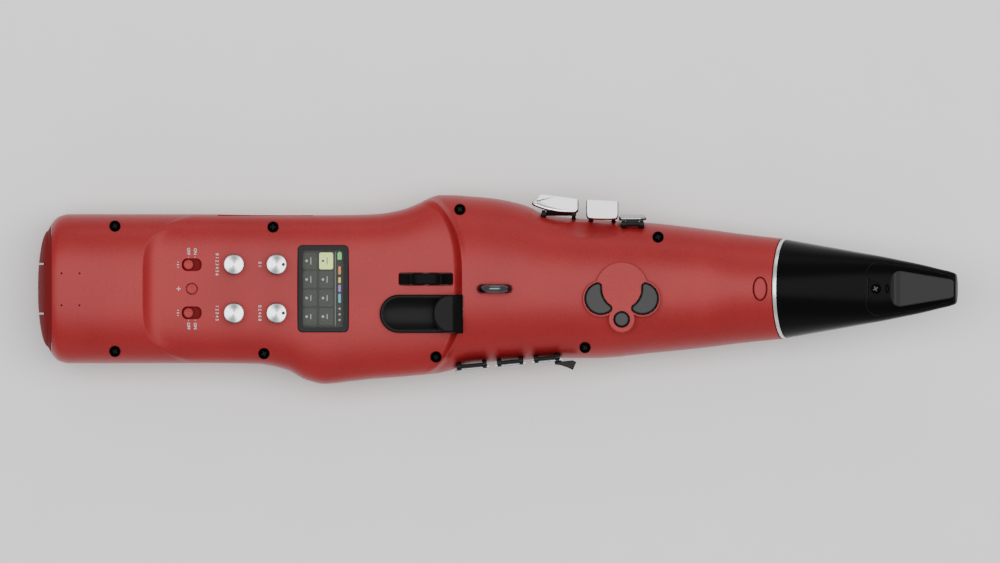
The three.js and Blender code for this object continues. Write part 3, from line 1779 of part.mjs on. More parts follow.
// Side ports behind the flat facet
function roundJack(x, width, depth, noseRadius, boreRadius) {
  const back = facetY - casingWall - 3 * fitGap;
  return cut(
    join(
      block(
        x - width / 2,
        x + width / 2,
        back - depth,
        back,
        portHeight - lineJackHeight / 2,
        portHeight + lineJackHeight / 2,
      ),
      pinAlongY(noseRadius, x, back - fitGap, facetY, portHeight, fineSides),
    ),
    pinAlongY(boreRadius, x, facetY - depth, facetY + cutOverrun, portHeight, fineSides),
  );
}
place(
  'line_jack',
  roundJack(lineJackX, lineJackWidth, lineJackDepth, lineJackNoseRadius, lineJackBoreRadius),
  'softBlack',
);
place(
  'phones_jack',
  roundJack(phonesJackX, phonesJackWidth, phonesJackDepth, phonesJackNoseRadius, phonesJackBoreRadius),
  'softBlack',
);
place(
  'data_port',
  cut(
    block(
      dataPortX - dataPortWidth / 2,
      dataPortX + dataPortWidth / 2,
      facetY - dataPortDepth,
      facetY,
      portHeight - dataPortHeight / 2,
      portHeight + dataPortHeight / 2,
    ),
    block(
      dataPortX - dataPortWidth / 2 + dataPortShell,
      dataPortX + dataPortWidth / 2 - dataPortShell,
      facetY - dataPortDepth + dataPortShell,
      facetY + cutOverrun,
      portHeight - dataPortHeight / 2 + dataPortShell,
      portHeight + dataPortHeight / 2 - dataPortShell,
    ),
  ),
  'steel',
);

// The origin lies under the middle of the whole instrument, on the surface it rests on.
instrument.updateMatrixWorld(true);
const extent = new THREE.Box3().setFromObject(instrument, true);
const middle = extent.getCenter(new THREE.Vector3());
instrument.position.set(-middle.x, -middle.y, -extent.min.z);

export default instrument;
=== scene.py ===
"""Digital wind controller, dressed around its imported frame.

Lengths are millimetres in the row's own frame: +X runs to the mouthpiece, +Y to the palm keys
and +Z out of the side that the thumbs touch. Skins are scaled to metres as they become meshes.
"""

from __future__ import annotations

import json
import logging
import math
from dataclasses import dataclass
from enum import Enum
from typing import Iterable, Sequence, Union

import bpy
import numpy as np
from mathutils import Matrix, Vector

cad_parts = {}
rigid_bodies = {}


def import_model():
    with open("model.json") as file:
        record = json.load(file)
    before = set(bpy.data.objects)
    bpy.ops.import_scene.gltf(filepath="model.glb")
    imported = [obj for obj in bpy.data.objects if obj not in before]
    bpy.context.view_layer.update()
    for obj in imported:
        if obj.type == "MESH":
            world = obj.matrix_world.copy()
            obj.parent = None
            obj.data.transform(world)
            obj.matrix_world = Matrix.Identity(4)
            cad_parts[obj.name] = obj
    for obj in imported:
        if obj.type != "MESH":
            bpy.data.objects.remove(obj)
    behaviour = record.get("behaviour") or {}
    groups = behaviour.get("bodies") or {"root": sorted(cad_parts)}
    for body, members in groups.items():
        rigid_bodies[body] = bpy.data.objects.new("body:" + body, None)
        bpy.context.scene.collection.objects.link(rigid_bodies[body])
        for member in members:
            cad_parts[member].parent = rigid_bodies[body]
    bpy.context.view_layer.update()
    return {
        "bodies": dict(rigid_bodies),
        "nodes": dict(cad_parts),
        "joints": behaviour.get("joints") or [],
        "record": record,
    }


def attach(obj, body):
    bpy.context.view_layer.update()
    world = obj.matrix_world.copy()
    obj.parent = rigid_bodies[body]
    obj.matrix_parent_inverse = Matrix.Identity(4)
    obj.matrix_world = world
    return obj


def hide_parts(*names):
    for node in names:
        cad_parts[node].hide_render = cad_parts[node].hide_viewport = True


LOG = logging.getLogger("wind_controller")
MM = 0.001
SHARP_ANGLE = math.radians(34.0)
KEY_SHARP_ANGLE = math.radians(40.0)
TINY = 1e-12
MITRE_LIMIT = 0.35

TAIL_X = -281.3
BODY_LENGTH = 460.7
BODY_HALF_WIDTH = 46.7
BODY_HEIGHT = 68.0
PANEL_FLOOR = 63.5
WALL = 2.5
PORT_FACE = 45.4
KEY_BED = (-125.0, 135.0, 21.0, 8.5)

OVERRUN = 5.0
MARGIN = 1.0
SKY = 120.0
FIT = 0.3
BEVEL = 0.35

Colour = tuple[float, float, float]
Outline = np.ndarray
Face = tuple[int, ...]


class Body(Enum):
    """The bodies that pieces ride on, apart from numbered keys and knobs."""

    HOUSING = "housing"
    MOUTHPIECE = "mouthpiece"
    CAP = "cap"
    PANEL_BUTTON = "panel_button"
    RELEASE_BUTTON = "release_button"
    PITCH_WHEEL = "pitch_wheel"
    OCTAVE_NECK = "octave_neck"
    OCTAVE_TAIL = "octave_tail"
    OCTAVE_ROUND = "octave_round"


class Slot(Enum):
    """The record's material slots, named beside each new piece."""

    BODY_RED = "body_red"
    CAP_RED = "cap_red"
    BLACK_GLOSS = "black_gloss"
    BLACK_SATIN = "black_satin"
    PAD_GREY = "pad_grey"
    REED_GREY = "reed_grey"
    KNOB_SILVER = "knob_silver"
    RING_SILVER = "ring_silver"
    KEY_CHROME = "key_chrome"
    KEY_SILVER = "key_silver"
    STEEL = "steel"
    SCREW_BLACK = "screw_black"
    SCREEN_GLASS = "screen_glass"
    SCREEN_LIT = "screen_lit"


class Act(Enum):
    """What one skin does to another."""

    CUT = "DIFFERENCE"
    JOIN = "UNION"
    KEEP = "INTERSECT"


def smoothstep(value: np.ndarray, low: float, high: float) -> np.ndarray:
    """Rises smoothly from 0 at low to 1 at high.

    Args:
        value: Where the curve is read.
        low: Where it leaves 0.
        high: Where it reaches 1.

    Returns:
        The curve at each value.
    """
    share = np.clip((np.asarray(value, dtype=float) - low) / (high - low), 0.0, 1.0)
    return share * share * (3.0 - 2.0 * share)


def powered(value: np.ndarray, power: float) -> np.ndarray:
    """Raises the size of each value to a power and keeps its sign."""
    return np.sign(value) * np.abs(value) ** power


class Curve:
    """A smooth curve through a table of places that never passes beyond them."""

    def __init__(self, places: Sequence[float], values: Sequence[float]) -> None:
        """Works out the slope at each place.

        Args:
            places: Rising places.
            values: The value at each place.
        """
        self.places = np.asarray(places, dtype=float)
        self.values = np.asarray(values, dtype=float)
        step = np.diff(self.places)
        slope = np.diff(self.values) / step
        tangent = np.zeros_like(self.values)
        same_way = slope[:-1] * slope[1:] > 0.0
        first = 2.0 * step[1:] + step[:-1]
        second = step[1:] + 2.0 * step[:-1]
        with np.errstate(divide="ignore", invalid="ignore"):
            mean = (first + second) / (first / slope[:-1] + second / slope[1:])
        tangent[1:-1] = np.where(same_way, mean, 0.0)
        tangent[0] = slope[0]
        tangent[-1] = slope[-1]
        self.tangent = tangent

    def __call__(self, place: Union[float, np.ndarray]) -> np.ndarray:
        """Reads the curve, which stays level beyond its ends.

        Args:
            place: One place or several.

        Returns:
            The curve's value at each place.
        """
        spot = np.clip(np.asarray(place, dtype=float), self.places[0], self.places[-1])
        index = np.clip(np.searchsorted(self.places, spot) - 1, 0, len(self.places) - 2)
        width = self.places[index + 1] - self.places[index]
        share = (spot - self.places[index]) / width
        low, high = self.values[index], self.values[index + 1]
        start, end = self.tangent[index] * width, self.tangent[index + 1] * width
        square, cube = share * share, share * share * share
        return (
            (2.0 * cube - 3.0 * square + 1.0) * low
            + (cube - 2.0 * square + share) * start
            + (3.0 * square - 2.0 * cube) * high
            + (cube - square) * end
        )


@dataclass
class Skin:
    """One closed skin: its corners in millimetres and the corners of each face."""

    points: np.ndarray
    faces: list[Face]

    def moved(self, matrix: Matrix) -> "Skin":
        """Returns the skin carried through a matrix whose shifts are millimetres."""
        grid = np.array(matrix)
        return Skin(self.points @ grid[:3, :3].T + grid[:3, 3], list(self.faces))

    def volume(self) -> float:
        """Returns the enclosed volume, which is negative where the faces look inward."""
        total = 0.0
        for face in self.faces:
            fan = self.points[list(face)]
            total += float(np.einsum("ij,ij->i", fan[1:-1], np.cross(fan[2:], fan[0])).sum())
        return total / 6.0

    def outward(self) -> "Skin":
        """Returns the skin with its faces looking outward."""
        if self.volume() < 0.0:
            return Skin(self.points, [tuple(reversed(face)) for face in self.faces])
        return self


def together(skins: Iterable[Skin]) -> Skin:
    """Puts several skins in one, side by side.

    Args:
        skins: The skins, which don't cross one another.

    Returns:
        One skin with all their faces.
    """
    points: list[np.ndarray] = []
    faces: list[Face] = []
    start = 0
    for skin in skins:
        points.append(skin.points)
        faces.extend(tuple(corner + start for corner in face) for face in skin.faces)
        start += len(skin.points)
    return Skin(np.vstack(points), faces)


def loft(rings: Sequence[np.ndarray]) -> Skin:
    """Joins rings of equal counts into one closed skin with flat ends.

    Args:
        rings: Arrays of corners, one for each ring, in order.

    Returns:
        The skin, looking outward.
    """
    count = len(rings[0])
    here = np.arange(count)
    beside = (here + 1) % count
    faces: list[Face] = []
    for row in range(len(rings) - 1):
        low, high = row * count, (row + 1) * count
        corners = np.column_stack([low + here, low + beside, high + beside, high + here])
        faces.extend(tuple(face) for face in corners.tolist())
    faces.append(tuple(reversed(range(count))))
    faces.append(tuple((len(rings) - 1) * count + step for step in range(count)))
    return Skin(np.vstack(rings), faces).outward()


def inset(outline: Outline, distance: float) -> Outline:
    """Draws an outline in by a distance, square to its edges.

    Args:
        outline: Corners in a plane, counter-clockwise.
        distance: How far the edges move in, or out where it is negative.

    Returns:
        The drawn-in corners, as many as before.
    """
    before = outline - np.roll(outline, 1, axis=0)
    after = np.roll(outline, -1, axis=0) - outline
    before /= np.linalg.norm(before, axis=1, keepdims=True) + TINY
    after /= np.linalg.norm(after, axis=1, keepdims=True) + TINY
    left_before = np.column_stack([-before[:, 1], before[:, 0]])
    left_after = np.column_stack([-after[:, 1], after[:, 0]])
    middle = left_before + left_after
    middle /= np.linalg.norm(middle, axis=1, keepdims=True) + TINY
    spread = np.clip(np.einsum("ij,ij->i", middle, left_after), MITRE_LIMIT, 1.0)
    return outline + middle * (distance / spread)[:, None]


def counter_clockwise(outline: Outline) -> Outline:
    """Returns the outline turned so that it runs counter-clockwise."""
    ahead = np.roll(outline, -1, axis=0)
    area = float((outline[:, 0] * ahead[:, 1] - outline[:, 1] * ahead[:, 0]).sum())
    return outline if area > 0.0 else outline[::-1].copy()


def prism(
    outline: Outline,
    low: float,
    high: float,
    top_round: float = 0.0,
    low_round: float = 0.0,
    steps: int = 4,
) -> Skin:
    """Raises an outline in X and Y into a plate whose edges may be rounded.

    Args:
        outline: The plate's outline.
        low: Height of its underside.
        high: Height of its top.
        top_round: Radius of the round along its upper edge.
        low_round: Radius of the round along its lower edge.
        steps: Facets in each round.

    Returns:
        The plate.
    """
    plan = counter_clockwise(np.asarray(outline, dtype=float))
    levels: list[tuple[float, float]] = []
    if low_round > 0.0:
        for step in range(steps + 1):
            turn = math.pi / 2 * step / steps
            levels.append((low_round * (1 - math.sin(turn)), low + low_round * (1 - math.cos(turn))))
    else:
        levels.append((0.0, low))
    if top_round > 0.0:
        for step in range(steps + 1):
            turn = math.pi / 2 * step / steps
            levels.append((top_round * (1 - math.cos(turn)), high - top_round * (1 - math.sin(turn))))
    else:
        levels.append((0.0, high))
    rings = []
    for drawn_in, height in levels:
        flat = inset(plan, drawn_in) if drawn_in > 0.0 else plan
        rings.append(np.column_stack([flat, np.full(len(flat), height)]))
    return loft(rings)


def circle(radius: float, x: float = 0.0, y: float = 0.0, sides: int = 64) -> Outline:
    """Returns a round outline."""
    turn = np.linspace(0.0, 2.0 * math.pi, sides, endpoint=False)
    return np.column_stack([x + radius * np.cos(turn), y + radius * np.sin(turn)])


def arc(centre: Sequence[float], radius: float, start: float, end: float, steps: int = 12) -> Outline:
    """Returns points along an arc from one angle to another, ends included."""
    turn = np.linspace(start, end, steps + 1)
    return np.column_stack([centre[0] + radius * np.cos(turn), centre[1] + radius * np.sin(turn)])


def rounded_box(x: float, y: float, length: float, width: float, radius: float, steps: int = 8) -> Outline:
    """Returns a rectangle about a centre with round corners.

    Args:
        x: Its centre along X.
        y: Its centre along Y.
        length: Its size along X.
        width: Its size along Y.
        radius: Its corners' radius.
        steps: Facets in each corner.

    Returns:
        The outline.
    """
    half = (length / 2 - radius, width / 2 - radius)
    quarter = math.pi / 2
    corners = [(1, -1, -quarter), (1, 1, 0.0), (-1, 1, quarter), (-1, -1, 2 * quarter)]
    return np.vstack([
        arc((x + across * half[0], y + up * half[1]), radius, start, start + quarter, steps)
        for across, up, start in corners
    ])


def turned(profile: Sequence[tuple[float, float]], sides: int = 64) -> Skin:
    """Turns a profile of radius and height round the Z axis.

    Args:
        profile: Radius and height of each ring, none on the axis itself.
        sides: Facets round the axis.

    Returns:
        The turned skin.
    """
    rings = []
    for radius, height in profile:
        flat = circle(radius, sides=sides)
        rings.append(np.column_stack([flat, np.full(sides, height)]))
    return loft(rings)


def rod(start: Sequence[float], end: Sequence[float], radius: float, sides: int = 32) -> Skin:
    """Returns a round rod between two points."""
    base = Vector(start)
    run = Vector(end) - base
    straight = turned([(radius, 0.0), (radius, run.length)], sides)
    return straight.moved(Matrix.Translation(base) @ run.to_track_quat("Z", "Y").to_matrix().to_4x4())


def block(low: Sequence[float], high: Sequence[float], radius: float = 0.0) -> Skin:
    """Returns a box between two corners, its upright and upper edges rounded where radius is given."""
    length, width = high[0] - low[0], high[1] - low[1]
    x, y = (low[0] + high[0]) / 2, (low[1] + high[1]) / 2
    if radius > 0.0:
        return prism(rounded_box(x, y, length, width, radius, 4), low[2], high[2], radius * 0.9, 0.0, 3)
    plan = np.array([[low[0], low[1]], [high[0], low[1]], [high[0], high[1]], [low[0], high[1]]])
    return prism(plan, low[2], high[2])


def swept(path: np.ndarray, radius: Union[float, np.ndarray], sides: int = 20) -> Skin:
    """Carries a circle along a path in the plane of X and Z.

    Args:
        path: Points of the path.
        radius: The tube's radius, or one for each point.
        sides: Facets round the tube.

    Returns:
        The tube, closed at its ends.
    """
    heading = np.gradient(path, axis=0)
    heading /= np.linalg.norm(heading, axis=1, keepdims=True)
    aside = np.array([0.0, 1.0, 0.0])
    radii = np.broadcast_to(np.asarray(radius, dtype=float), (len(path),))
    turn = np.linspace(0.0, 2.0 * math.pi, sides, endpoint=False)
    rings = []
    for point, way, reach in zip(path, heading, radii):
        up = np.cross(way, aside)
        rings.append(point + reach * (np.outer(np.cos(turn), aside) + np.outer(np.sin(turn), up)))
    return loft(rings)


def mesh_of(name: str, skin: Skin) -> bpy.types.Mesh:
    """Makes a mesh in metres from a skin in millimetres."""
    mesh = bpy.data.meshes.new(name)
    mesh.from_pydata((skin.points * MM).tolist(), [], skin.faces)
    mesh.validate()
    return mesh


def skin_of(mesh: bpy.types.Mesh) -> Skin:
    """Reads a mesh in metres back as a skin in millimetres."""
    points = np.empty(len(mesh.vertices) * 3)
    mesh.vertices.foreach_get("co", points)
    corners = np.empty(len(mesh.loops), dtype=np.int32)
    mesh.loops.foreach_get("vertex_index", corners)
    starts = np.empty(len(mesh.polygons), dtype=np.int32)
    counts = np.empty(len(mesh.polygons), dtype=np.int32)
    mesh.polygons.foreach_get("loop_start", starts)
    mesh.polygons.foreach_get("loop_total", counts)
    listed = corners.tolist()
    faces = [tuple(listed[start:start + count]) for start, count in zip(starts.tolist(), counts.tolist())]
    return Skin(points.reshape(-1, 3) / MM, faces)


def shaped(base: Skin, steps: Sequence[tuple[Act, Skin]]) -> Skin:
    """Cuts and joins a skin with others, one after another.

    Args:
        base: The skin that is worked on.
        steps: What each tool does, and the tool.

    Returns:
        The finished skin.
    """
    scene = bpy.context.scene
    work = bpy.data.objects.new("work", mesh_of("work", base))
    scene.collection.objects.link(work)
    tools = []
    for act, skin in steps:
        tool = bpy.data.objects.new("tool", mesh_of("tool", skin))
        scene.collection.objects.link(tool)
        modifier = work.modifiers.new("step", "BOOLEAN")
        modifier.operation = act.value
        modifier.solver = "MANIFOLD"
        modifier.object = tool
        tools.append(tool)
    graph = bpy.context.evaluated_depsgraph_get()
    graph.update()
    done = work.evaluated_get(graph)
    result = skin_of(done.to_mesh())
    done.to_mesh_clear()
    for spent in [work, *tools]:
        data = spent.data
        bpy.data.objects.remove(spent)
        bpy.data.meshes.remove(data)
    return result


def cut(base: Skin, *tools: Skin) -> Skin:
    """Returns a skin with the tools taken out of it."""
    return shaped(base, [(Act.CUT, tool) for tool in tools])


def joined(base: Skin, *others: Skin) -> Skin:
    """Returns a skin fused with the others."""
    return shaped(base, [(Act.JOIN, other) for other in others])


def kept(base: Skin, tool: Skin) -> Skin:
    """Returns what two skins share."""
    return shaped(base, [(Act.KEEP, tool)])


class Wire:
    """A shader socket that takes part in sums and products."""

    def __init__(self, tree: "ShaderTree", socket: bpy.types.NodeSocket) -> None:
        """Wraps a socket.

        Args:
            tree: The tree that new nodes go into.
            socket: The output that the wire carries.
        """
        self.tree = tree
        self.socket = socket

    def _math(self, operation: str, *values: "Term") -> "Wire":
        """Adds a Math node on these values.

        Args:
            operation: The node's operation.
            values: Its inputs, in order.

        Returns:
            Its result.
        """
        inputs = dict(enumerate(values))
        return self.tree.node("ShaderNodeMath", {"operation": operation}, inputs)

    def __add__(self, other: "Term") -> "Wire":
        """Adds."""
        return self._math("ADD", self, other)

    def __radd__(self, other: "Term") -> "Wire":
        """Adds to a number."""
        return self._math("ADD", other, self)

    def __sub__(self, other: "Term") -> "Wire":
        """Takes away."""
        return self._math("SUBTRACT", self, other)

    def __rsub__(self, other: "Term") -> "Wire":
        """Takes from a number."""
        return self._math("SUBTRACT", other, self)

    def __mul__(self, other: "Term") -> "Wire":
        """Multiplies."""
        return self._math("MULTIPLY", self, other)

    def __rmul__(self, other: "Term") -> "Wire":
        """Multiplies a number."""
        return self._math("MULTIPLY", other, self)

    def __truediv__(self, other: "Term") -> "Wire":
        """Divides."""
        return self._math("DIVIDE", self, other)

    def __pow__(self, other: "Term") -> "Wire":
        """Raises to a power."""
        return self._math("POWER", self, other)

    def __gt__(self, other: "Term") -> "Wire":
        """Is 1 where the wire is over the other value."""
        return self._math("GREATER_THAN", self, other)

    def __lt__(self, other: "Term") -> "Wire":
        """Is 1 where the wire is under the other value."""
        return self._math("LESS_THAN", self, other)

    def __abs__(self) -> "Wire":
        """Drops the sign."""
        return self._math("ABSOLUTE", self)

    def sine(self) -> "Wire":
        """Returns the sine."""
        return self._math("SINE", self)

    def wrapped(self, pitch: float) -> "Wire":
        """Returns the place within each repeat, from 0 to the pitch."""
        return self._math("WRAP", self, pitch, 0.0)

    def eased(self, low: float, high: float) -> "Wire":
        """Rises smoothly from 0 at low to 1 at high."""
        settings = {"interpolation_type": "SMOOTHSTEP"}
        return self.tree.node("ShaderNodeMapRange", settings, {0: self, 1: low, 2: high})

    def near(self, centre: float, half: float, soft: float) -> "Wire":
        """Is 1 within half of a centre and fades out over soft."""
        return 1.0 - abs(self - centre).eased(half, half + soft)


Term = Union[Wire, float, int]


class ShaderTree:
    """A material's node tree, built from wires."""

    def __init__(self, name: str) -> None:
        """Starts an empty material.

        Args:
            name: The material's name.
        """
        self.material = bpy.data.materials.new(name)
        self.material.use_nodes = True
        self.tree = self.material.node_tree
        self.tree.nodes.clear()

    def make(self, kind: str, settings: dict | None = None, inputs: dict | None = None) -> bpy.types.Node:
        """Adds a node.

        Args:
            kind: The node's type.
            settings: Its properties, which are set first.
            inputs: Values or wires for its sockets, by name or number.

        Returns:
            The node.
        """
        node = self.tree.nodes.new(kind)
        for name, value in (settings or {}).items():
            setattr(node, name, value)
        for key, value in (inputs or {}).items():
            socket = node.inputs[key]
            if isinstance(value, Wire):
                self.tree.links.new(value.socket, socket)
            elif isinstance(value, tuple) and len(value) == 3 and socket.type == "RGBA":
                socket.default_value = (*value, 1.0)
            else:
                socket.default_value = value
        return node

    def node(
        self,
        kind: str,
        settings: dict | None = None,
        inputs: dict | None = None,
        output: Union[int, str] = 0,
    ) -> Wire:
        """Adds a node and returns the wire from one of its outputs."""
        return Wire(self, self.make(kind, settings, inputs).outputs[output])

    def place(self) -> Wire:
        """Returns the place on the piece in millimetres."""
        spot = self.node("ShaderNodeTexCoord", output="Object")
        return self.node("ShaderNodeVectorMath", {"operation": "SCALE"}, {0: spot, "Scale": 1.0 / MM})

    def axes(self, spot: Wire) -> tuple[Wire, Wire, Wire]:
        """Splits a place into X, Y and Z."""
        split = self.make("ShaderNodeSeparateXYZ", {}, {0: spot})
        return tuple(Wire(self, split.outputs[index]) for index in range(3))

    def stretched(self, spot: Wire, shares: Colour) -> Wire:
        """Multiplies a place by a share along each axis."""
        return self.node("ShaderNodeVectorMath", {"operation": "MULTIPLY"}, {0: spot, 1: shares})

    def noise(self, spot: Wire, size: float, detail: float = 2.0, rough: float = 0.5) -> Wire:
        """Returns noise from 0 to 1 whose lumps are about a size in millimetres."""
        inputs = {"Vector": spot, "Scale": 1.0 / size, "Detail": detail, "Roughness": rough}
        return self.node("ShaderNodeTexNoise", {}, inputs)

    def blended(self, factor: Term, low: Union[Wire, Colour], high: Union[Wire, Colour]) -> Wire:
        """Mixes two colours."""
        settings = {"data_type": "RGBA"}
        mix = self.make("ShaderNodeMix", settings)
        for socket, value in ((mix.inputs[0], factor), (mix.inputs[6], low), (mix.inputs[7], high)):
            if isinstance(value, Wire):
                self.tree.links.new(value.socket, socket)
            else:
                socket.default_value = (*value, 1.0) if isinstance(value, tuple) else value
        return Wire(self, mix.outputs[2])

    def bumped(self, height: Wire, depth: float, strength: float = 1.0) -> Wire:
        """Returns a normal raised by a height whose full size is a depth in millimetres."""
        inputs = {"Height": height, "Distance": depth * MM, "Strength": strength}
        return self.node("ShaderNodeBump", {}, inputs)

    def surface(self, inputs: dict) -> bpy.types.Material:
        """Ends the tree in one shader.

        Args:
            inputs: Values or wires for the shader's sockets.

        Returns:
            The finished material.
        """
        shader = self.node("ShaderNodeBsdfPrincipled", {}, inputs)
        self.make("ShaderNodeOutputMaterial", {}, {"Surface": shader})
        return self.material


def shade(colour: Colour, share: float) -> Colour:
    """Returns a colour made lighter or darker by a share."""
    return tuple(min(1.0, part * share) for part in colour)


@dataclass(frozen=True)
class Moulded:
    """A moulded or painted finish with a fine grain.

    Attributes:
        name: The material's name.
        colour: Its base colour, linear.
        roughness: How dull it is.
        metallic: How metallic it is.
        grain: Size of its grain in millimetres.
        tint: How far the grain changes the colour.
        relief: How deep the grain is in millimetres.
        spread: How far the roughness wanders.
        coat: Weight of a clear coat.
        coat_roughness: How dull the coat is.
        sheen: Weight of a soft bloom at grazing angles.
        specular: Strength of its own gloss.
        broad: Size of the slow unevenness under the grain.
        fine_share: How much of the mottling the grain makes.
    """

    name: str
    colour: Colour
    roughness: float = 0.45
    metallic: float = 0.0
    grain: float = 0.4
    tint: float = 0.06
    relief: float = 0.004
    spread: float = 0.06
    coat: float = 0.0
    coat_roughness: float = 0.1
    sheen: float = 0.0
    specular: float = 0.5
    broad: float = 38.0
    fine_share: float = 0.75

    def material(self) -> bpy.types.Material:
        """Returns the finish as a material."""
        tree = ShaderTree(self.name)
        spot = tree.place()
        fine = tree.noise(spot, self.grain, 3.0, 0.65)
        broad = tree.noise(spot, self.broad, 2.0)
        mottled = fine * self.fine_share + broad * (1.0 - self.fine_share)
        inputs = {
            "Base Color": tree.blended(
                mottled.eased(0.3, 0.7),
                shade(self.colour, 1.0 - self.tint),
                shade(self.colour, 1.0 + self.tint),
            ),
            "Roughness": self.roughness + (mottled - 0.5) * (2.0 * self.spread),
            "Metallic": self.metallic,
            "Normal": tree.bumped(fine, self.relief),
            "Coat Weight": self.coat,
            "Coat Roughness": self.coat_roughness,
            "Sheen Weight": self.sheen,
            "Specular IOR Level": self.specular,
        }
        return tree.surface(inputs)


class Lay(Enum):
    """Which way a metal's fine lines run."""

    BLASTED = "blasted"
    ALONG_X = "along x"


@dataclass(frozen=True)
class Metal:
    """A bare or plated metal with its fine lines.

    Attributes:
        name: The material's name.
        colour: Its base colour, linear.
        roughness: How dull it is.
        lay: Which way its lines run.
        relief: How deep the lines are in millimetres.
        smudge: How far handling marks change the roughness.
        line: Width of a drawn line in millimetres.
        stretch: How much finer the lines are across than along.
        blast: Size of the blasted grain in millimetres.
        mark: Size of the handling marks in millimetres.
        dull_share: How bright the metal stays between its lines.
    """

    name: str
    colour: Colour
    roughness: float = 0.3
    lay: Lay = Lay.BLASTED
    relief: float = 0.002
    smudge: float = 0.08
    line: float = 0.12
    stretch: float = 0.03
    blast: float = 0.16
    mark: float = 9.0
    dull_share: float = 0.93

    def material(self) -> bpy.types.Material:
        """Returns the finish as a material."""
        tree = ShaderTree(self.name)
        spot = tree.place()
        if self.lay is Lay.ALONG_X:
            lines = tree.noise(tree.stretched(spot, (self.stretch, 1.0, 1.0)), self.line, 3.0, 0.7)
        else:
            lines = tree.noise(spot, self.blast, 2.0, 0.6)
        smudges = tree.noise(spot, self.mark, 3.0, 0.6)
        dull = shade(self.colour, self.dull_share)
        inputs = {
            "Base Color": tree.blended(lines.eased(0.25, 0.75), dull, self.colour),
            "Roughness": self.roughness + (smudges - 0.5) * (2.0 * self.smudge),
            "Metallic": 1.0,
            "Normal": tree.bumped(lines, self.relief),
        }
        return tree.surface(inputs)


@dataclass(frozen=True)
class SpunWithPaintedShine:
    """Silver turned on a lathe, with painted shine: two bright opposite sectors, a bright middle and a side
    light, all painted into its colour.

    Attributes:
        name: The material's name.
        centre: The middle of the turning marks, along and across.
        colour: Its colour where the painted shine is full.
        shadow: Its colour between the painted bright sectors, a painted shade.
        lean: How far the sectors are turned, in radians.
        roughness: How dull it is.
        core: What is added to the squared reach, so that the very middle has a direction.
        grooves: How fast the turning marks follow each other, in radians a millimetre.
        hub: The squared reaches where the painted bright middle starts and stops fading.
        hub_fade: How much of the middle's brightness fades.
        painted_hub_highlight: How much the middle brightens.
        half_width: Half the knob's width that the side light spreads over.
        painted_side_light: How much the side light brightens.
        span: The values where the shine starts and is full.
        wander: How far the roughness wanders.
        relief: How deep the turning marks are in millimetres.
    """

    name: str
    centre: tuple[float, float]
    colour: Colour = (0.7, 0.7, 0.7)
    shadow: Colour = (0.11, 0.115, 0.115)
    lean: float = 0.3
    roughness: float = 0.3
    core: float = 0.05
    grooves: float = 26.0
    hub: tuple[float, float] = (0.5, 16.0)
    hub_fade: float = 0.75
    painted_hub_highlight: float = 0.4
    half_width: float = 5.0
    painted_side_light: float = 0.5
    span: tuple[float, float] = (-0.8, 0.9)
    wander: float = 0.08
    relief: float = 0.0015

    def material(self) -> bpy.types.Material:
        """Returns the finish as a material."""
        tree = ShaderTree(self.name)
        spot = tree.place()
        x, y, _ = tree.axes(spot)
        across, up = x - self.centre[0], y - self.centre[1]
        squared = across * across + up * up + self.core
        # Painted highlights and shade: the sectors, the bright middle and the side light are mixed into the
        # base colour.
        level = (across * across - up * up) / squared * math.cos(self.lean)
        leaned = level - across * up / squared * (2.0 * math.sin(self.lean))
        rings = (squared ** 0.5 * self.grooves).sine() * 0.5 + 0.5
        middle = 1.0 - squared.eased(*self.hub) * self.hub_fade
        outer = (across / self.half_width).eased(-0.8, 0.8) * self.painted_side_light
        bright = (leaned + middle * self.painted_hub_highlight + outer).eased(*self.span)
        inputs = {
            "Base Color": tree.blended(bright, self.shadow, self.colour),
            "Roughness": self.roughness + (tree.noise(spot, 4.0) - 0.5) * self.wander,
            "Metallic": 1.0,
            "Normal": tree.bumped(rings, self.relief),
        }
        return tree.surface(inputs)


@dataclass(frozen=True)
class Ink:
    """A printed mark, slightly worn.

    Attributes:
        name: The material's name.
        colour: Its base colour, linear.
        glow: How brightly it shines by itself.
        wear: Size of its worn spots in millimetres.
        worn_share: How bright it stays where it is worn.
    """

    name: str
    colour: Colour
    glow: float = 0.0
    wear: float = 0.5
    worn_share: float = 0.86

    def material(self) -> bpy.types.Material:
        """Returns the ink as a material."""
        tree = ShaderTree(self.name)
        worn = tree.noise(tree.place(), self.wear, 3.0, 0.7)
        faded = shade(self.colour, self.worn_share)
        inputs = {
            "Base Color": tree.blended(worn.eased(0.2, 0.8), faded, self.colour),
            "Roughness": 0.45 + worn * 0.2,
            "Emission Color": (*self.colour, 1.0),
            "Emission Strength": self.glow,
        }
        return tree.surface(inputs)


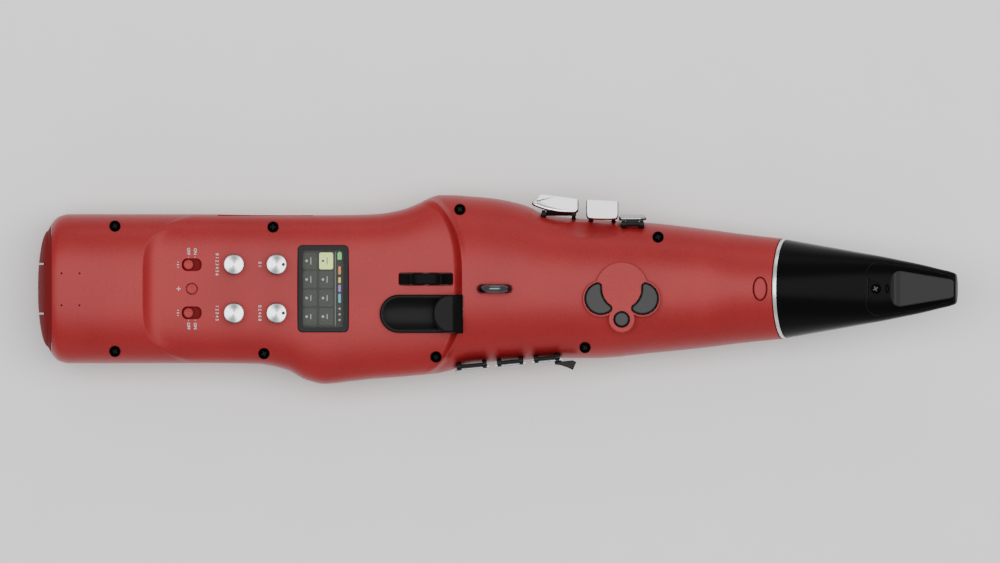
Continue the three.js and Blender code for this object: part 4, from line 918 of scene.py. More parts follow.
@dataclass(frozen=True)
class CircuitBoard:
    """Green solder mask over copper tracks, with tinned pads.

    Attributes:
        name: The material's name.
        mask: Colour of the mask on bare board.
        track: Its colour over a track.
        pad: Colour of a tinned pad.
        track_pitch: From one track to the next.
        track_half: Half a track's width.
        bend: Size of the tracks' bends.
        wander: How far the tracks wander.
        pad_pitch: From one pad to the next.
        pad_edge: The squared reaches where a pad starts and stops fading.
        cluster: Size of the groups that pads come in.
        relief: How far tracks and pads stand out.
    """

    name: str = "board_mask"
    mask: Colour = (0.012, 0.075, 0.028)
    track: Colour = (0.02, 0.13, 0.045)
    pad: Colour = (0.62, 0.6, 0.55)
    track_pitch: float = 2.4
    track_half: float = 0.3
    bend: float = 22.0
    wander: float = 8.0
    pad_pitch: float = 5.0
    pad_edge: tuple[float, float] = (0.35, 0.5)
    cluster: float = 14.0
    relief: float = 0.03

    def material(self) -> bpy.types.Material:
        """Returns the board as a material."""
        tree = ShaderTree(self.name)
        spot = tree.place()
        x, y, _ = tree.axes(spot)
        lane = tree.noise(tree.stretched(spot, (1.0, 0.1, 1.0)), self.bend, 0.0) * self.wander
        tracks = (y + lane).wrapped(self.track_pitch).near(self.track_pitch / 2, self.track_half, 0.08)
        across = x.wrapped(self.pad_pitch) - self.pad_pitch / 2
        up = y.wrapped(self.pad_pitch) - self.pad_pitch / 2
        dots = 1.0 - (across * across + up * up).eased(*self.pad_edge)
        chosen = dots * (tree.noise(spot, self.cluster, 0.0) > 0.5)
        green = tree.blended(tracks, self.mask, self.track)
        inputs = {
            "Base Color": tree.blended(chosen, green, self.pad),
            "Metallic": chosen,
            "Roughness": 0.42 - chosen * 0.12,
            "Normal": tree.bumped(tracks + chosen, self.relief),
            "Coat Weight": 0.3,
        }
        return tree.surface(inputs)


@dataclass(frozen=True)
class Window:
    """Clear glass over a dark border that is printed on its back.

    Attributes:
        name: The material's name.
        border: Colour of the border.
        centre: Middle of the clear part, along and across.
        half_length: Half its length.
        half_width: Half its width.
        clear_share: How much light passes where it is clear.
        roughness: How dull it is where it is clean.
        smear: How much duller its smears are.
        smear_size: Size of the smears in millimetres.
        coat: Weight of its polish.
        specular: Strength of its own gloss.
    """

    name: str = "screen_glass"
    border: Colour = (0.006, 0.006, 0.007)
    centre: tuple[float, float] = (-109.3, 0.0)
    half_length: float = 12.9
    half_width: float = 24.2
    clear_share: float = 0.93
    roughness: float = 0.06
    smear: float = 0.08
    smear_size: float = 12.0
    coat: float = 0.04
    specular: float = 0.08

    def material(self) -> bpy.types.Material:
        """Returns the window as a material."""
        tree = ShaderTree(self.name)
        spot = tree.place()
        x, y, _ = tree.axes(spot)
        inside = abs(x - self.centre[0]) < self.half_length
        within = inside * (abs(y - self.centre[1]) < self.half_width)
        smears = tree.noise(spot, self.smear_size, 3.0, 0.6)
        inputs = {
            "Base Color": (*self.border, 1.0),
            "Roughness": self.roughness + smears * self.smear,
            "Alpha": 1.0 - within * self.clear_share,
            "Coat Weight": self.coat,
            "Coat Roughness": 0.05,
            "Specular IOR Level": self.specular,
        }
        return tree.surface(inputs)


class Palette:
    """Most finishes of the instrument, made once."""

    def __init__(self) -> None:
        """Makes the materials."""
        self.paint_material = Moulded(
            "metallic_red_paint", (0.27, 0.0125, 0.0145), roughness=0.42, metallic=0.14, grain=0.6,
            tint=0.22, relief=0.005, spread=0.05, specular=0.3,
        ).material()
        self.cap = Moulded(
            "dark_red_plastic", (0.15, 0.011, 0.013), roughness=0.62, grain=0.5, tint=0.08, relief=0.006,
            specular=0.05,
        ).material()
        self.gloss = Moulded(
            "polished_black", (0.001, 0.001, 0.0011), roughness=0.24, grain=0.3, relief=0.001, spread=0.03,
            specular=0.035, sheen=0.1,
        ).material()
        self.piano = Moulded(
            "smooth_black", (0.003, 0.003, 0.0032), roughness=0.3, grain=0.3, relief=0.001, spread=0.04,
            specular=0.08,
        ).material()
        self.satin = Moulded(
            "satin_black", (0.006, 0.006, 0.0065), roughness=0.42, grain=0.25, tint=0.12, relief=0.004,
            specular=0.16,
        ).material()
        self.lining = Moulded(
            "moulded_black", (0.0025, 0.0025, 0.0028), roughness=0.62, grain=0.4, tint=0.1, relief=0.008,
            specular=0.1,
        ).material()
        self.rubber = Moulded(
            "grey_rubber", (0.055, 0.055, 0.0555), roughness=0.66, grain=0.3, tint=0.08, relief=0.006,
            specular=0.16,
        ).material()
        self.reed = Moulded(
            "reed_grey", (0.01, 0.01, 0.0104), roughness=0.36, grain=0.35, tint=0.08, relief=0.003,
            specular=0.16,
        ).material()
        self.ring = Metal("ring_silver", (0.66, 0.67, 0.67), 0.26, Lay.ALONG_X, 0.002).material()
        self.palm = Metal("palm_chrome", (0.9, 0.9, 0.91), 0.14, Lay.BLASTED, 0.0004, 0.04).material()
        self.key = Metal("satin_key", (0.36, 0.36, 0.37), 0.26, Lay.BLASTED, 0.001, 0.06).material()
        self.steel = Metal("turned_steel", (0.36, 0.37, 0.38), 0.3, Lay.ALONG_X, 0.002).material()
        self.recess = Metal("slot_floor_grey", (0.016, 0.016, 0.017), 0.5, Lay.BLASTED, 0.002).material()
        self.dark_steel = Metal("dark_steel", (0.05, 0.05, 0.053), 0.34, Lay.BLASTED, 0.002).material()
        self.black_oxide = Metal("black_oxide", (0.004, 0.004, 0.0045), 0.5, Lay.BLASTED, 0.002).material()
        self.black_chrome = Metal("black_chrome", (0.09, 0.09, 0.095), 0.16, Lay.BLASTED, 0.001).material()
        self.board = CircuitBoard().material()
        self.glass = Window().material()
        self.screen = Moulded(
            "screen_back", (0.05, 0.054, 0.049), roughness=0.5, grain=0.8, tint=0.03, spread=0.02,
        ).material()
        self.sleeve = Moulded(
            "battery_sleeve", (0.03, 0.11, 0.36), roughness=0.34, grain=2.5, tint=0.08, relief=0.02,
            coat=0.3,
        ).material()
        self.white_ink = Ink("white_ink", (0.75, 0.74, 0.74)).material()
        self.black_ink = Ink("black_ink", (0.008, 0.008, 0.008)).material()


@dataclass
class Workshop:
    """Puts finished pieces on the frame.

    Attributes:
        nodes: The frame's own objects by node name.
        palette: The finishes.
        placed: How many pieces have been placed.
    """

    nodes: dict[str, bpy.types.Object]
    palette: Palette
    placed: int = 0

    def place(
        self,
        name: str,
        skin: Skin,
        body: Union[Body, str],
        slot: Slot,
        material: bpy.types.Material,
        replaced: Sequence[str] = (),
        sharp: float = SHARP_ANGLE,
    ) -> None:
        """Makes a piece of a skin and puts it on a body.

        Args:
            name: The piece's name.
            skin: Its shape.
            body: The body that carries it.
            slot: The record's slot that it stands for; not used.
            material: Its finish.
            replaced: The frame's nodes that it stands for.
            sharp: The angle from which an edge stays sharp.
        """
        mesh = mesh_of(name, skin)
        mesh.shade_smooth()
        mesh.set_sharp_from_angle(angle=sharp)
        mesh.materials.append(material)
        piece = bpy.data.objects.new(name, mesh)
        bpy.context.scene.collection.objects.link(piece)
        weighted = piece.modifiers.new("even_shading", "WEIGHTED_NORMAL")
        weighted.keep_sharp = True
        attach(piece, body.value if isinstance(body, Body) else body)
        if replaced:
            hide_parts(*replaced)
        self.placed += 1
        LOG.info("%s: %d faces", name, len(mesh.polygons))

    def dress(self, node: str, material: bpy.types.Material) -> None:
        """Gives a node of the frame a finish and leaves its shape.

        Args:
            node: The node's name.
            material: Its finish.
        """
        piece = self.nodes[node]
        for holder in piece.material_slots:
            holder.link = "OBJECT"
            holder.material = material
        LOG.info("%s keeps its own shape", node)


def opening(outline: Outline, low: float, face: float, bevel: float = BEVEL, high: float = SKY) -> Skin:
    """Returns a tool that cuts an opening and breaks its upper edge.

    Args:
        outline: The opening's outline.
        low: How deep the tool goes.
        face: Height of the face that it opens.
        bevel: Width of the broken edge.
        high: How high the tool goes.

    Returns:
        The tool.
    """
    plan = counter_clockwise(outline)
    wider = inset(plan, -bevel)
    levels = [(plan, low), (plan, face - bevel), (wider, face + 0.02), (wider, high)]
    return loft([np.column_stack([flat, np.full(len(flat), height)]) for flat, height in levels])


def oval(x: float, y: float, length: float, width: float, sides: int = 64) -> Outline:
    """Returns an oval outline."""
    turn = np.linspace(0.0, 2.0 * math.pi, sides, endpoint=False)
    return np.column_stack([x + length / 2 * np.cos(turn), y + width / 2 * np.sin(turn)])


@dataclass
class Casing:
    """The red casing: a rear half with every opening, and a front half with the key bed."""

    tail_x: float = TAIL_X
    length: float = BODY_LENGTH
    half_width: float = BODY_HALF_WIDTH
    height: float = BODY_HEIGHT
    wall: float = WALL
    parting: float = 35.0
    floor: float = PANEL_FLOOR
    neck_height: float = 40.0
    neck_tilt: float = math.radians(16.0)
    neck_bend_share: float = 0.86
    neck_seam: float = 1.6
    end_bow: tuple[float, float] = (30.0, 5.0)
    step_bow: tuple[float, float] = (21.0, 3.5)
    facet: tuple[float, float, float, float] = (-175.0, -115.6, PORT_FACE, 24.0)
    screw_well: float = 3.5
    screw_seat: float = 47.0
    screw_boss: float = 5.2
    screw_bore: float = 1.8
    screw_length: float = 26.0
    boss_foot: float = 0.5
    well_bevel: float = 0.25
    bed: tuple[float, float, float, float] = KEY_BED
    ring_points: int = 176
    ring_samples: int = 1440
    bell_square: float = 3.0
    upper_rounding: float = 1.5
    upper_rounding_shares: tuple[float, float] = (0.552, 0.57)
    neck_rounding: float = 0.45
    neck_rounding_shares: tuple[float, float] = (0.884, 0.95)
    keel_square: float = 4.0
    keel_rounding: float = 0.4875
    keel_rounding_shares: tuple[float, float] = (0.884, 0.116)
    station_runs: tuple = (
        (0.0, 0.03, 16), (0.03, 0.126, 22), (0.126, 0.16, 24), (0.16, 0.549, 108),
        (0.549, 0.575, 22), (0.575, 0.86, 90), (0.86, 1.0, 46),
    )
    outline_shares: tuple = (
        (0.0, 0.777, 0.777), (0.006, 0.882, 0.878), (0.015, 0.966, 0.966), (0.029, 1.0, 0.998),
        (0.22, 0.998, 0.996), (0.285, 0.989, 1.006), (0.324, 0.987, 1.084), (0.352, 0.987, 1.225),
        (0.376, 0.987, 1.274), (0.411, 0.989, 1.238), (0.446, 1.002, 1.203), (0.478, 1.054, 1.18),
        (0.504, 1.148, 1.156), (0.519, 1.221, 1.141), (0.532, 1.255, 1.126), (0.552, 1.253, 1.075),
        (0.569, 1.24, 1.011), (0.6, 1.215, 0.981), (0.624, 1.176, 0.968), (0.652, 1.101, 0.946),
        (0.669, 1.019, 0.936), (0.689, 0.972, 0.927), (0.741, 0.927, 0.929), (0.817, 0.882, 0.863),
        (0.884, 0.809, 0.797), (0.945, 0.728, 0.722), (1.0, 0.669, 0.669),
    )
    bell_crown_shares: tuple = ((0.0, 0.97), (0.004, 0.985), (0.008, 0.994), (0.014, 1.0), (0.13, 1.0))
    upper_crown_shares: tuple = (
        (0.5615, 1.044), (0.575, 1.046), (0.6, 1.046), (0.652, 1.043), (0.689, 1.038),
        (0.741, 1.029), (0.817, 1.012), (0.884, 0.985), (0.945, 0.962), (1.0, 0.941),
    )
    keel_shares: tuple = (
        (0.0, 0.132), (0.006, 0.066), (0.015, 0.007), (0.029, -0.038), (0.08, -0.044),
        (0.817, -0.044), (0.884, -0.015), (0.945, 0.103), (1.0, 0.235),
    )
    bow_shares: tuple = (
        (0.0, 0.0), (0.03, 0.0), (0.129, 1.0), (0.137, 1.0), (0.324, 0.0), (0.42, 0.0),
        (0.551, -1.0), (0.5615, -1.0), (0.7, 0.0), (1.0, 0.0),
    )
    end_wall_shares: tuple[float, float] = (0.1285, 0.157)
    cap_seam: float = -279.0
    step_wall_shares: tuple[float, float] = (0.55, 0.5615)
    screw_shares: tuple = (
        (0.0909, 0.839), (0.0909, -0.839), (0.3054, 0.827), (0.293, -0.869),
        (0.5589, 1.062), (0.5264, -0.914), (0.8277, 0.692), (0.7287, -0.788),
    )

    def __post_init__(self) -> None:
        """Reads the tables into curves."""
        along, palm, side = zip(*self.outline_shares)
        self.palm_half = Curve(along, np.multiply(palm, self.half_width))
        self.side_half = Curve(along, np.multiply(side, self.half_width))
        self.bell_crown = Curve(*zip(*self.bell_crown_shares))
        self.upper_crown = Curve(*zip(*self.upper_crown_shares))
        self.keel = Curve(*zip(*self.keel_shares))
        places, bows = zip(*self.bow_shares)
        self.bow_places, self.bows = places, bows

    def crown(self, along: float) -> float:
        """Returns the height of the casing's top on its centreline."""
        into_panel = self.into_panel(along)
        out_of_panel = self.ramp(along, *self.step_wall_shares) ** 2
        bell = float(self.bell_crown(along)) * self.height
        upper = float(self.upper_crown(along)) * self.height
        panel = bell + into_panel * (self.floor - bell)
        return panel + out_of_panel * (upper - panel)

    @staticmethod
    def ramp(along: float, start: float, end: float) -> float:
        """Returns how much of a straight ramp lies behind a place."""
        return float(np.clip((along - start) / (end - start), 0.0, 1.0))

    def into_panel(self, along: float) -> float:
        """Returns the fall from the bell to the panel, sharp at its brow and soft at its foot."""
        return 1.0 - (1.0 - self.ramp(along, *self.end_wall_shares)) ** 3

    def exponent(self, along: float) -> float:
        """Returns how square the casing's rear half is."""
        into_panel = self.into_panel(along)
        upper = float(smoothstep(along, *self.upper_rounding_shares))
        neck = float(smoothstep(along, *self.neck_rounding_shares))
        return self.bell_square + into_panel - self.upper_rounding * upper - self.neck_rounding * neck

    def keel_exponent(self, along: float) -> float:
        """Returns how square the casing's front half is, which eases off along the neck."""
        start, reach = self.keel_rounding_shares
        eased = float(np.clip((along - start) / reach, 0.0, 1.0))
        return self.keel_square * (1.0 - self.keel_rounding * eased)

    def bow(self, along: float) -> tuple[float, float]:
        """Returns how far a cross section's flanks bow along the casing, and the bow's power."""
        bow = float(np.interp(along, self.bow_places, self.bows))
        reach, power = self.end_bow if bow > 0.0 else self.step_bow
        return bow * reach, power

    def ring(self, along: float, drawn_in: float) -> np.ndarray:
        """Returns one cross section, evenly spaced round each quarter.

        Args:
            along: Its place as a share of the casing's length.
            drawn_in: How far inside the surface it lies.

        Returns:
            Its corners.
        """
        bend = float(smoothstep(along, self.neck_bend_share, 1.0))
        tilt = self.neck_tilt * bend
        centre = self.parting + bend * (self.neck_height - self.parting)
        rise = (self.crown(along) - centre) / math.cos(tilt) - drawn_in
        drop = (centre - float(self.keel(along)) * self.height) / math.cos(tilt) - drawn_in
        angle = np.linspace(0.0, 2.0 * math.pi, self.ring_samples, endpoint=False)
        above = np.sin(angle) >= 0.0
        exponent = np.where(above, self.exponent(along), self.keel_exponent(along))
        across = powered(np.cos(angle), 2.0 / exponent)
        up = powered(np.sin(angle), 2.0 / exponent) * np.where(above, rise, drop)
        bow, power = self.bow(along)
        reached = along + bow * np.abs(across) ** power / self.length
        half = np.where(across >= 0.0, self.palm_half(reached), self.side_half(reached)) - drawn_in
        section = np.column_stack([
            self.tail_x + reached * self.length - up * math.sin(tilt),
            across * half,
            centre + up * math.cos(tilt),
        ])
        return self.evened(section)

    def evened(self, section: np.ndarray) -> np.ndarray:
        """Spaces a cross section's corners evenly within each of its quarters."""
        quarter = len(section) // 4
        share = self.ring_points // 4
        looped = np.vstack([section, section[:1]])
        parts = []
        for turn in range(4):
            stretch = looped[turn * quarter:(turn + 1) * quarter + 1]
            walked = np.concatenate([[0.0], np.cumsum(np.linalg.norm(np.diff(stretch, axis=0), axis=1))])
            spots = np.linspace(0.0, walked[-1], share, endpoint=False)
            parts.append(np.column_stack([np.interp(spots, walked, stretch[:, axis]) for axis in range(3)]))
        return np.vstack(parts)

    def stations(self) -> np.ndarray:
        """Returns where the cross sections lie, close together at the steps."""
        return np.concatenate([
            np.linspace(low, high, count, endpoint=False) for low, high, count in self.station_runs
        ])

    def hull(self, drawn_in: float) -> Skin:
        """Returns the casing's closed outer form, drawn in by a wall."""
        rings = [self.ring(along, drawn_in) for along in [*self.stations(), 1.0]]
        beyond = np.array([math.cos(self.neck_tilt), 0.0, math.sin(self.neck_tilt)])
        if drawn_in > 0.0:
            rings.insert(0, rings[0] - [OVERRUN, 0.0, 0.0])
        rings.append(rings[-1] + beyond * OVERRUN)
        return loft(rings)

    def neck_frame(self) -> Matrix:
        """Returns the frame of the neck, whose X runs along its tilted axis."""
        turn = Matrix.Rotation(-self.neck_tilt, 4, "Y")
        return Matrix.Translation((self.tail_x + self.length, 0.0, self.neck_height)) @ turn

    def screws(self) -> list[tuple[float, float]]:
        """Returns where the casing screws are."""
        return [(self.tail_x + a * self.length, s * self.half_width) for a, s in self.screw_shares]

    def body(self, platform: Skin) -> Skin:
        """Returns the hollow casing before it is parted.

        Args:
            platform: The octave platform that stands on it.

        Returns:
            The casing with its bosses, facet and screw wells.
        """
        far = self.length
        past_neck = block((-self.neck_seam, -far, -far), (far, far, far)).moved(self.neck_frame())
        below = block((-2 * far, -far, -far), (2 * far, far, 0.0))
        past_cap = block((-2 * far, -far, -far), (self.cap_seam, far, far))
        outer = shaped(
            self.hull(0.0),
            [(Act.JOIN, platform), (Act.CUT, past_neck), (Act.CUT, past_cap), (Act.CUT, below)],
        )
        x_low, x_high, bed_half, deck = self.bed
        wall = self.wall
        bed_wall = block(
            (x_low - wall, -bed_half - wall, -OVERRUN), (x_high + wall, bed_half + wall, deck + wall)
        )
        under_floor = block((-2 * far, -far, -far), (2 * far, far, wall))
        hollow = cut(self.hull(wall), under_floor, bed_wall)
        posts = [
            kept(prism(circle(self.screw_boss, x, y, 40), self.boss_foot, self.height + OVERRUN), outer)
            for x, y in self.screws()
        ]
        wells = [
            opening(circle(self.screw_well, x, y, 48), self.screw_seat, self.surface(x, y), self.well_bevel)
            for x, y in self.screws()
        ]
        bores = [
            prism(
                circle(self.screw_bore, x, y, 24), self.screw_seat - self.screw_length, self.screw_seat + FIT
            )
            for x, y in self.screws()
        ]
        tail, neck, face, low = self.facet
        facet = block((tail, face, low), (neck, self.length, SKY))
        shell = cut(outer, hollow)
        return shaped(
            shell,
            [(Act.JOIN, post) for post in posts]
            + [(Act.CUT, facet)]
            + [(Act.CUT, well) for well in wells]
            + [(Act.CUT, bore) for bore in bores],
        )

    def collar(self, gap: float, drawn_in: float) -> Skin:
        """Returns the ring of the casing's end that belongs to the end cap.

        Args:
            gap: Its clearance to the casing.
            drawn_in: How far inside the surface its inner face lies.

        Returns:
            The ring.
        """
        far = self.length
        end = block((-2 * far, -far, 0.0), (self.cap_seam - gap, far, far))
        return cut(kept(self.hull(0.0), end), self.hull(drawn_in))

    def surface(self, x: float, y: float) -> float:
        """Returns the height of the casing's top at a place.

        Args:
            x: The place along the casing.
            y: The place across it.

        Returns:
            The height.
        """
        along = (x - self.tail_x) / self.length
        for _ in range(3):
            half = float(self.palm_half(along) if y >= 0.0 else self.side_half(along))
            across = min(abs(y) / half, 0.999)
            bow, power = self.bow(along)
            along = (x - self.tail_x - bow * across ** power) / self.length
        exponent = self.exponent(along)
        up = (1.0 - across ** exponent) ** (1.0 / exponent)
        return self.parting + up * (self.crown(along) - self.parting)

    def build(self, shop: Workshop, platform: Skin, rear_tools: Sequence[Skin], keys: "FrontKeys") -> None:
        """Parts the casing and places both halves.

        Args:
            shop: Where pieces are placed.
            platform: The octave platform.
            rear_tools: Openings in the rear half.
            keys: The front keys, whose rods rest in posts of the front half.
        """
        whole = self.body(platform)
        far = self.length
        gap = FIT / 2
        rear_slab = block((-2 * far, -far, self.parting + gap), (2 * far, far, SKY + far))
        front_slab = block((-2 * far, -far, -MARGIN), (2 * far, far, self.parting - gap))
        rear = shaped(kept(whole, rear_slab), [(Act.CUT, tool) for tool in rear_tools])
        x_low, x_high, bed_half, deck = self.bed
        bed = block((x_low, -bed_half, -OVERRUN), (x_high, bed_half, deck))
        front = shaped(
            kept(whole, front_slab),
            [(Act.CUT, bed)]
            + [(Act.JOIN, post) for post in keys.posts()]
            + [(Act.CUT, bore) for bore in keys.rod_bores()],
        )
        paint = shop.palette.paint_material
        shop.place("rear_casing", rear, Body.HOUSING, Slot.BODY_RED, paint, ["rear_shell"])
        shop.place("front_casing", front, Body.HOUSING, Slot.BODY_RED, paint, ["front_shell"])


@dataclass
class EndCap:
    """The dished cap over the wide end, with its plug, snap slots and thumb tab."""

    depth: float = 6.2
    plug_depth: float = 10.0
    plug_wall: float = 2.0
    plug_gap: float = 2.8
    full_share: float = 0.985
    collar_gap: float = 0.12
    plug_step: float = 1.25
    edge_shares: tuple[float, float] = (0.9965, 0.0035)
    edge_ease: float = 14.0
    slot_width: float = 1.1
    slot_depth: float = 4.4
    slot_reach: float = 20.0
    slot_pitch: float = 31.1
    slot_foot: float = 12.0
    tab: tuple[float, float, float] = (3.1, 6.9, 1.6)

    def build(self, shop: Workshop, casing: Casing) -> None:
        """Makes and places the cap.

        Args:
            shop: Where pieces are placed.
            casing: The casing whose end it closes.
        """
        rim = casing.ring(0.0, 0.0)
        foot = rim[0][2]
        drawn, eased = self.edge_shares
        rings = []
        for turn in np.linspace(0.0, math.pi / 2, 22):
            reach = math.sin(turn)
            doming = math.sqrt(1.0 - (reach * self.full_share) ** 2)
            edge = min(1.0, drawn + eased * min(1.0, turn * self.edge_ease))
            x = casing.tail_x + FIT - reach * (self.depth + FIT)
            rings.append(np.column_stack([
                np.full(len(rim), x), rim[:, 1] * doming * edge, foot + (rim[:, 2] - foot) * doming * edge,
            ]))
        dome = loft(rings)
        face = casing.tail_x - self.depth
        plug_foot = casing.tail_x - FIT

        def tube(drawn_in: float, start: float, end: float) -> Skin:
            """Returns the plug's outline between two places."""
            line = casing.ring(0.0, drawn_in)[:, 1:]
            return loft([np.column_stack([np.full(len(line), x), line]) for x in (start, end)])

        outer = tube(self.plug_gap, plug_foot - self.plug_step, plug_foot + self.plug_depth)
        inner = tube(self.plug_gap + self.plug_wall, plug_foot, plug_foot + self.plug_depth + OVERRUN)
        collar = casing.collar(self.collar_gap, self.plug_gap + self.plug_wall / 2)
        steps = [(Act.JOIN, collar), (Act.JOIN, outer), (Act.CUT, inner)]
        for side in (1.0, -1.0):
            middle = side * self.slot_pitch / 2
            plan = rounded_box(
                face + self.slot_depth - self.slot_reach / 2, middle, self.slot_reach, self.slot_width,
                self.slot_width * 0.45, 4,
            )
            steps.append((Act.CUT, prism(plan, self.slot_foot, SKY)))
        length, width, deep = self.tab
        tab_x = casing.tail_x - length / 2 - FIT
        steps.append((Act.CUT, self.dip(tab_x, rim[:, 2].max(), length / 2, width / 2, deep)))
        shop.place(
            "end_cap_shell", shaped(dome, steps), Body.CAP, Slot.CAP_RED, shop.palette.cap, ["end_cap"]
        )

    @staticmethod
    def dip(x: float, height: float, half_length: float, half_width: float, deep: float) -> Skin:
        """Returns the tool for a smooth thumb recess."""
        rings = []
        for turn in np.linspace(0.06, math.pi - 0.06, 22):
            flat = oval(x, 0.0, 2 * half_length * math.sin(turn), 2 * half_width * math.sin(turn), 48)
            rings.append(np.column_stack([flat, np.full(len(flat), height - deep * math.cos(turn))]))
        return loft(rings)


@dataclass
class CasingScrews:
    """Eight cross-head screws, deep in wells whose walls a black sleeve darkens as painted shade."""

    head_radius: float = 3.1
    head_height: float = 2.4
    shank_radius: float = 1.5
    slot_width: float = 0.9
    slot_length: float = 3.6
    slot_depth: float = 1.2
    slot_face: float = 0.12
    lining: float = 0.12
    shade_sleeve_gap: float = 0.02
    shade_sleeve_drop: float = 0.55
    turn_step: float = 0.5

    def build(self, shop: Workshop, casing: Casing) -> None:
        """Makes and places the screws and the black sleeves that paint shade into their wells.

        Args:
            shop: Where pieces are placed.
            casing: The casing that they hold together.
        """
        for number, (x, y) in enumerate(casing.screws(), 1):
            seat = casing.screw_seat + FIT
            top = seat + self.head_height
            radius = self.head_radius
            head = turned([
                (self.shank_radius, seat - casing.screw_length), (self.shank_radius, seat),
                (radius * 0.9, seat), (radius, seat + 0.35), (radius, top - 0.7),
                (radius * 0.93, top - 0.3), (radius * 0.72, top), (0.2, top + 0.02),
            ], 48).moved(Matrix.Translation((x, y, 0.0)))
            depth = top - self.slot_depth
            turn = Matrix.Rotation(self.turn_step * number, 4, "Z")
            spin = Matrix.Translation((x, y, 0.0)) @ turn
            arms = [
                block((-a, -b, depth), (a, b, SKY)).moved(spin)
                for a, b in (
                    (self.slot_length / 2, self.slot_width / 2), (self.slot_width / 2, self.slot_length / 2)
                )
            ]
            shop.place(
                f"casing_screw_{number}", cut(head, *arms), Body.HOUSING, Slot.SCREW_BLACK,
                shop.palette.black_oxide, [f"shell_screw_{number}"],
            )
            wide = 3 * self.head_radius
            middles = (-wide - self.slot_width / 2, wide + self.slot_width / 2)
            # A lighter grey cross lies on the floor of each screw's cross slot.
            cross = cut(
                prism(circle(self.slot_length / 2 - 0.05, x, y, 24), depth, depth + self.slot_face),
                *[
                    block((a - wide, b - wide, 0.0), (a + wide, b + wide, SKY)).moved(spin)
                    for a in middles
                    for b in middles
                ],
            )
            shop.place(
                f"casing_screw_cross_{number}", cross, Body.HOUSING, Slot.STEEL, shop.palette.recess
            )
            # A black sleeve up each well's wall: painted shade, darker than the red wall would be in the
            # deep well.
            outer = casing.screw_well - self.shade_sleeve_gap
            foot, lip = seat - 0.2, casing.surface(x, y) - self.shade_sleeve_drop
            sleeve = cut(
                prism(circle(outer, x, y, 48), foot, lip),
                prism(circle(outer - self.lining, x, y, 48), foot - MARGIN, lip + MARGIN),
            )
            shop.place(
                f"screw_well_shade_sleeve_{number}", sleeve, Body.HOUSING, Slot.SCREW_BLACK, shop.palette.lining
            )


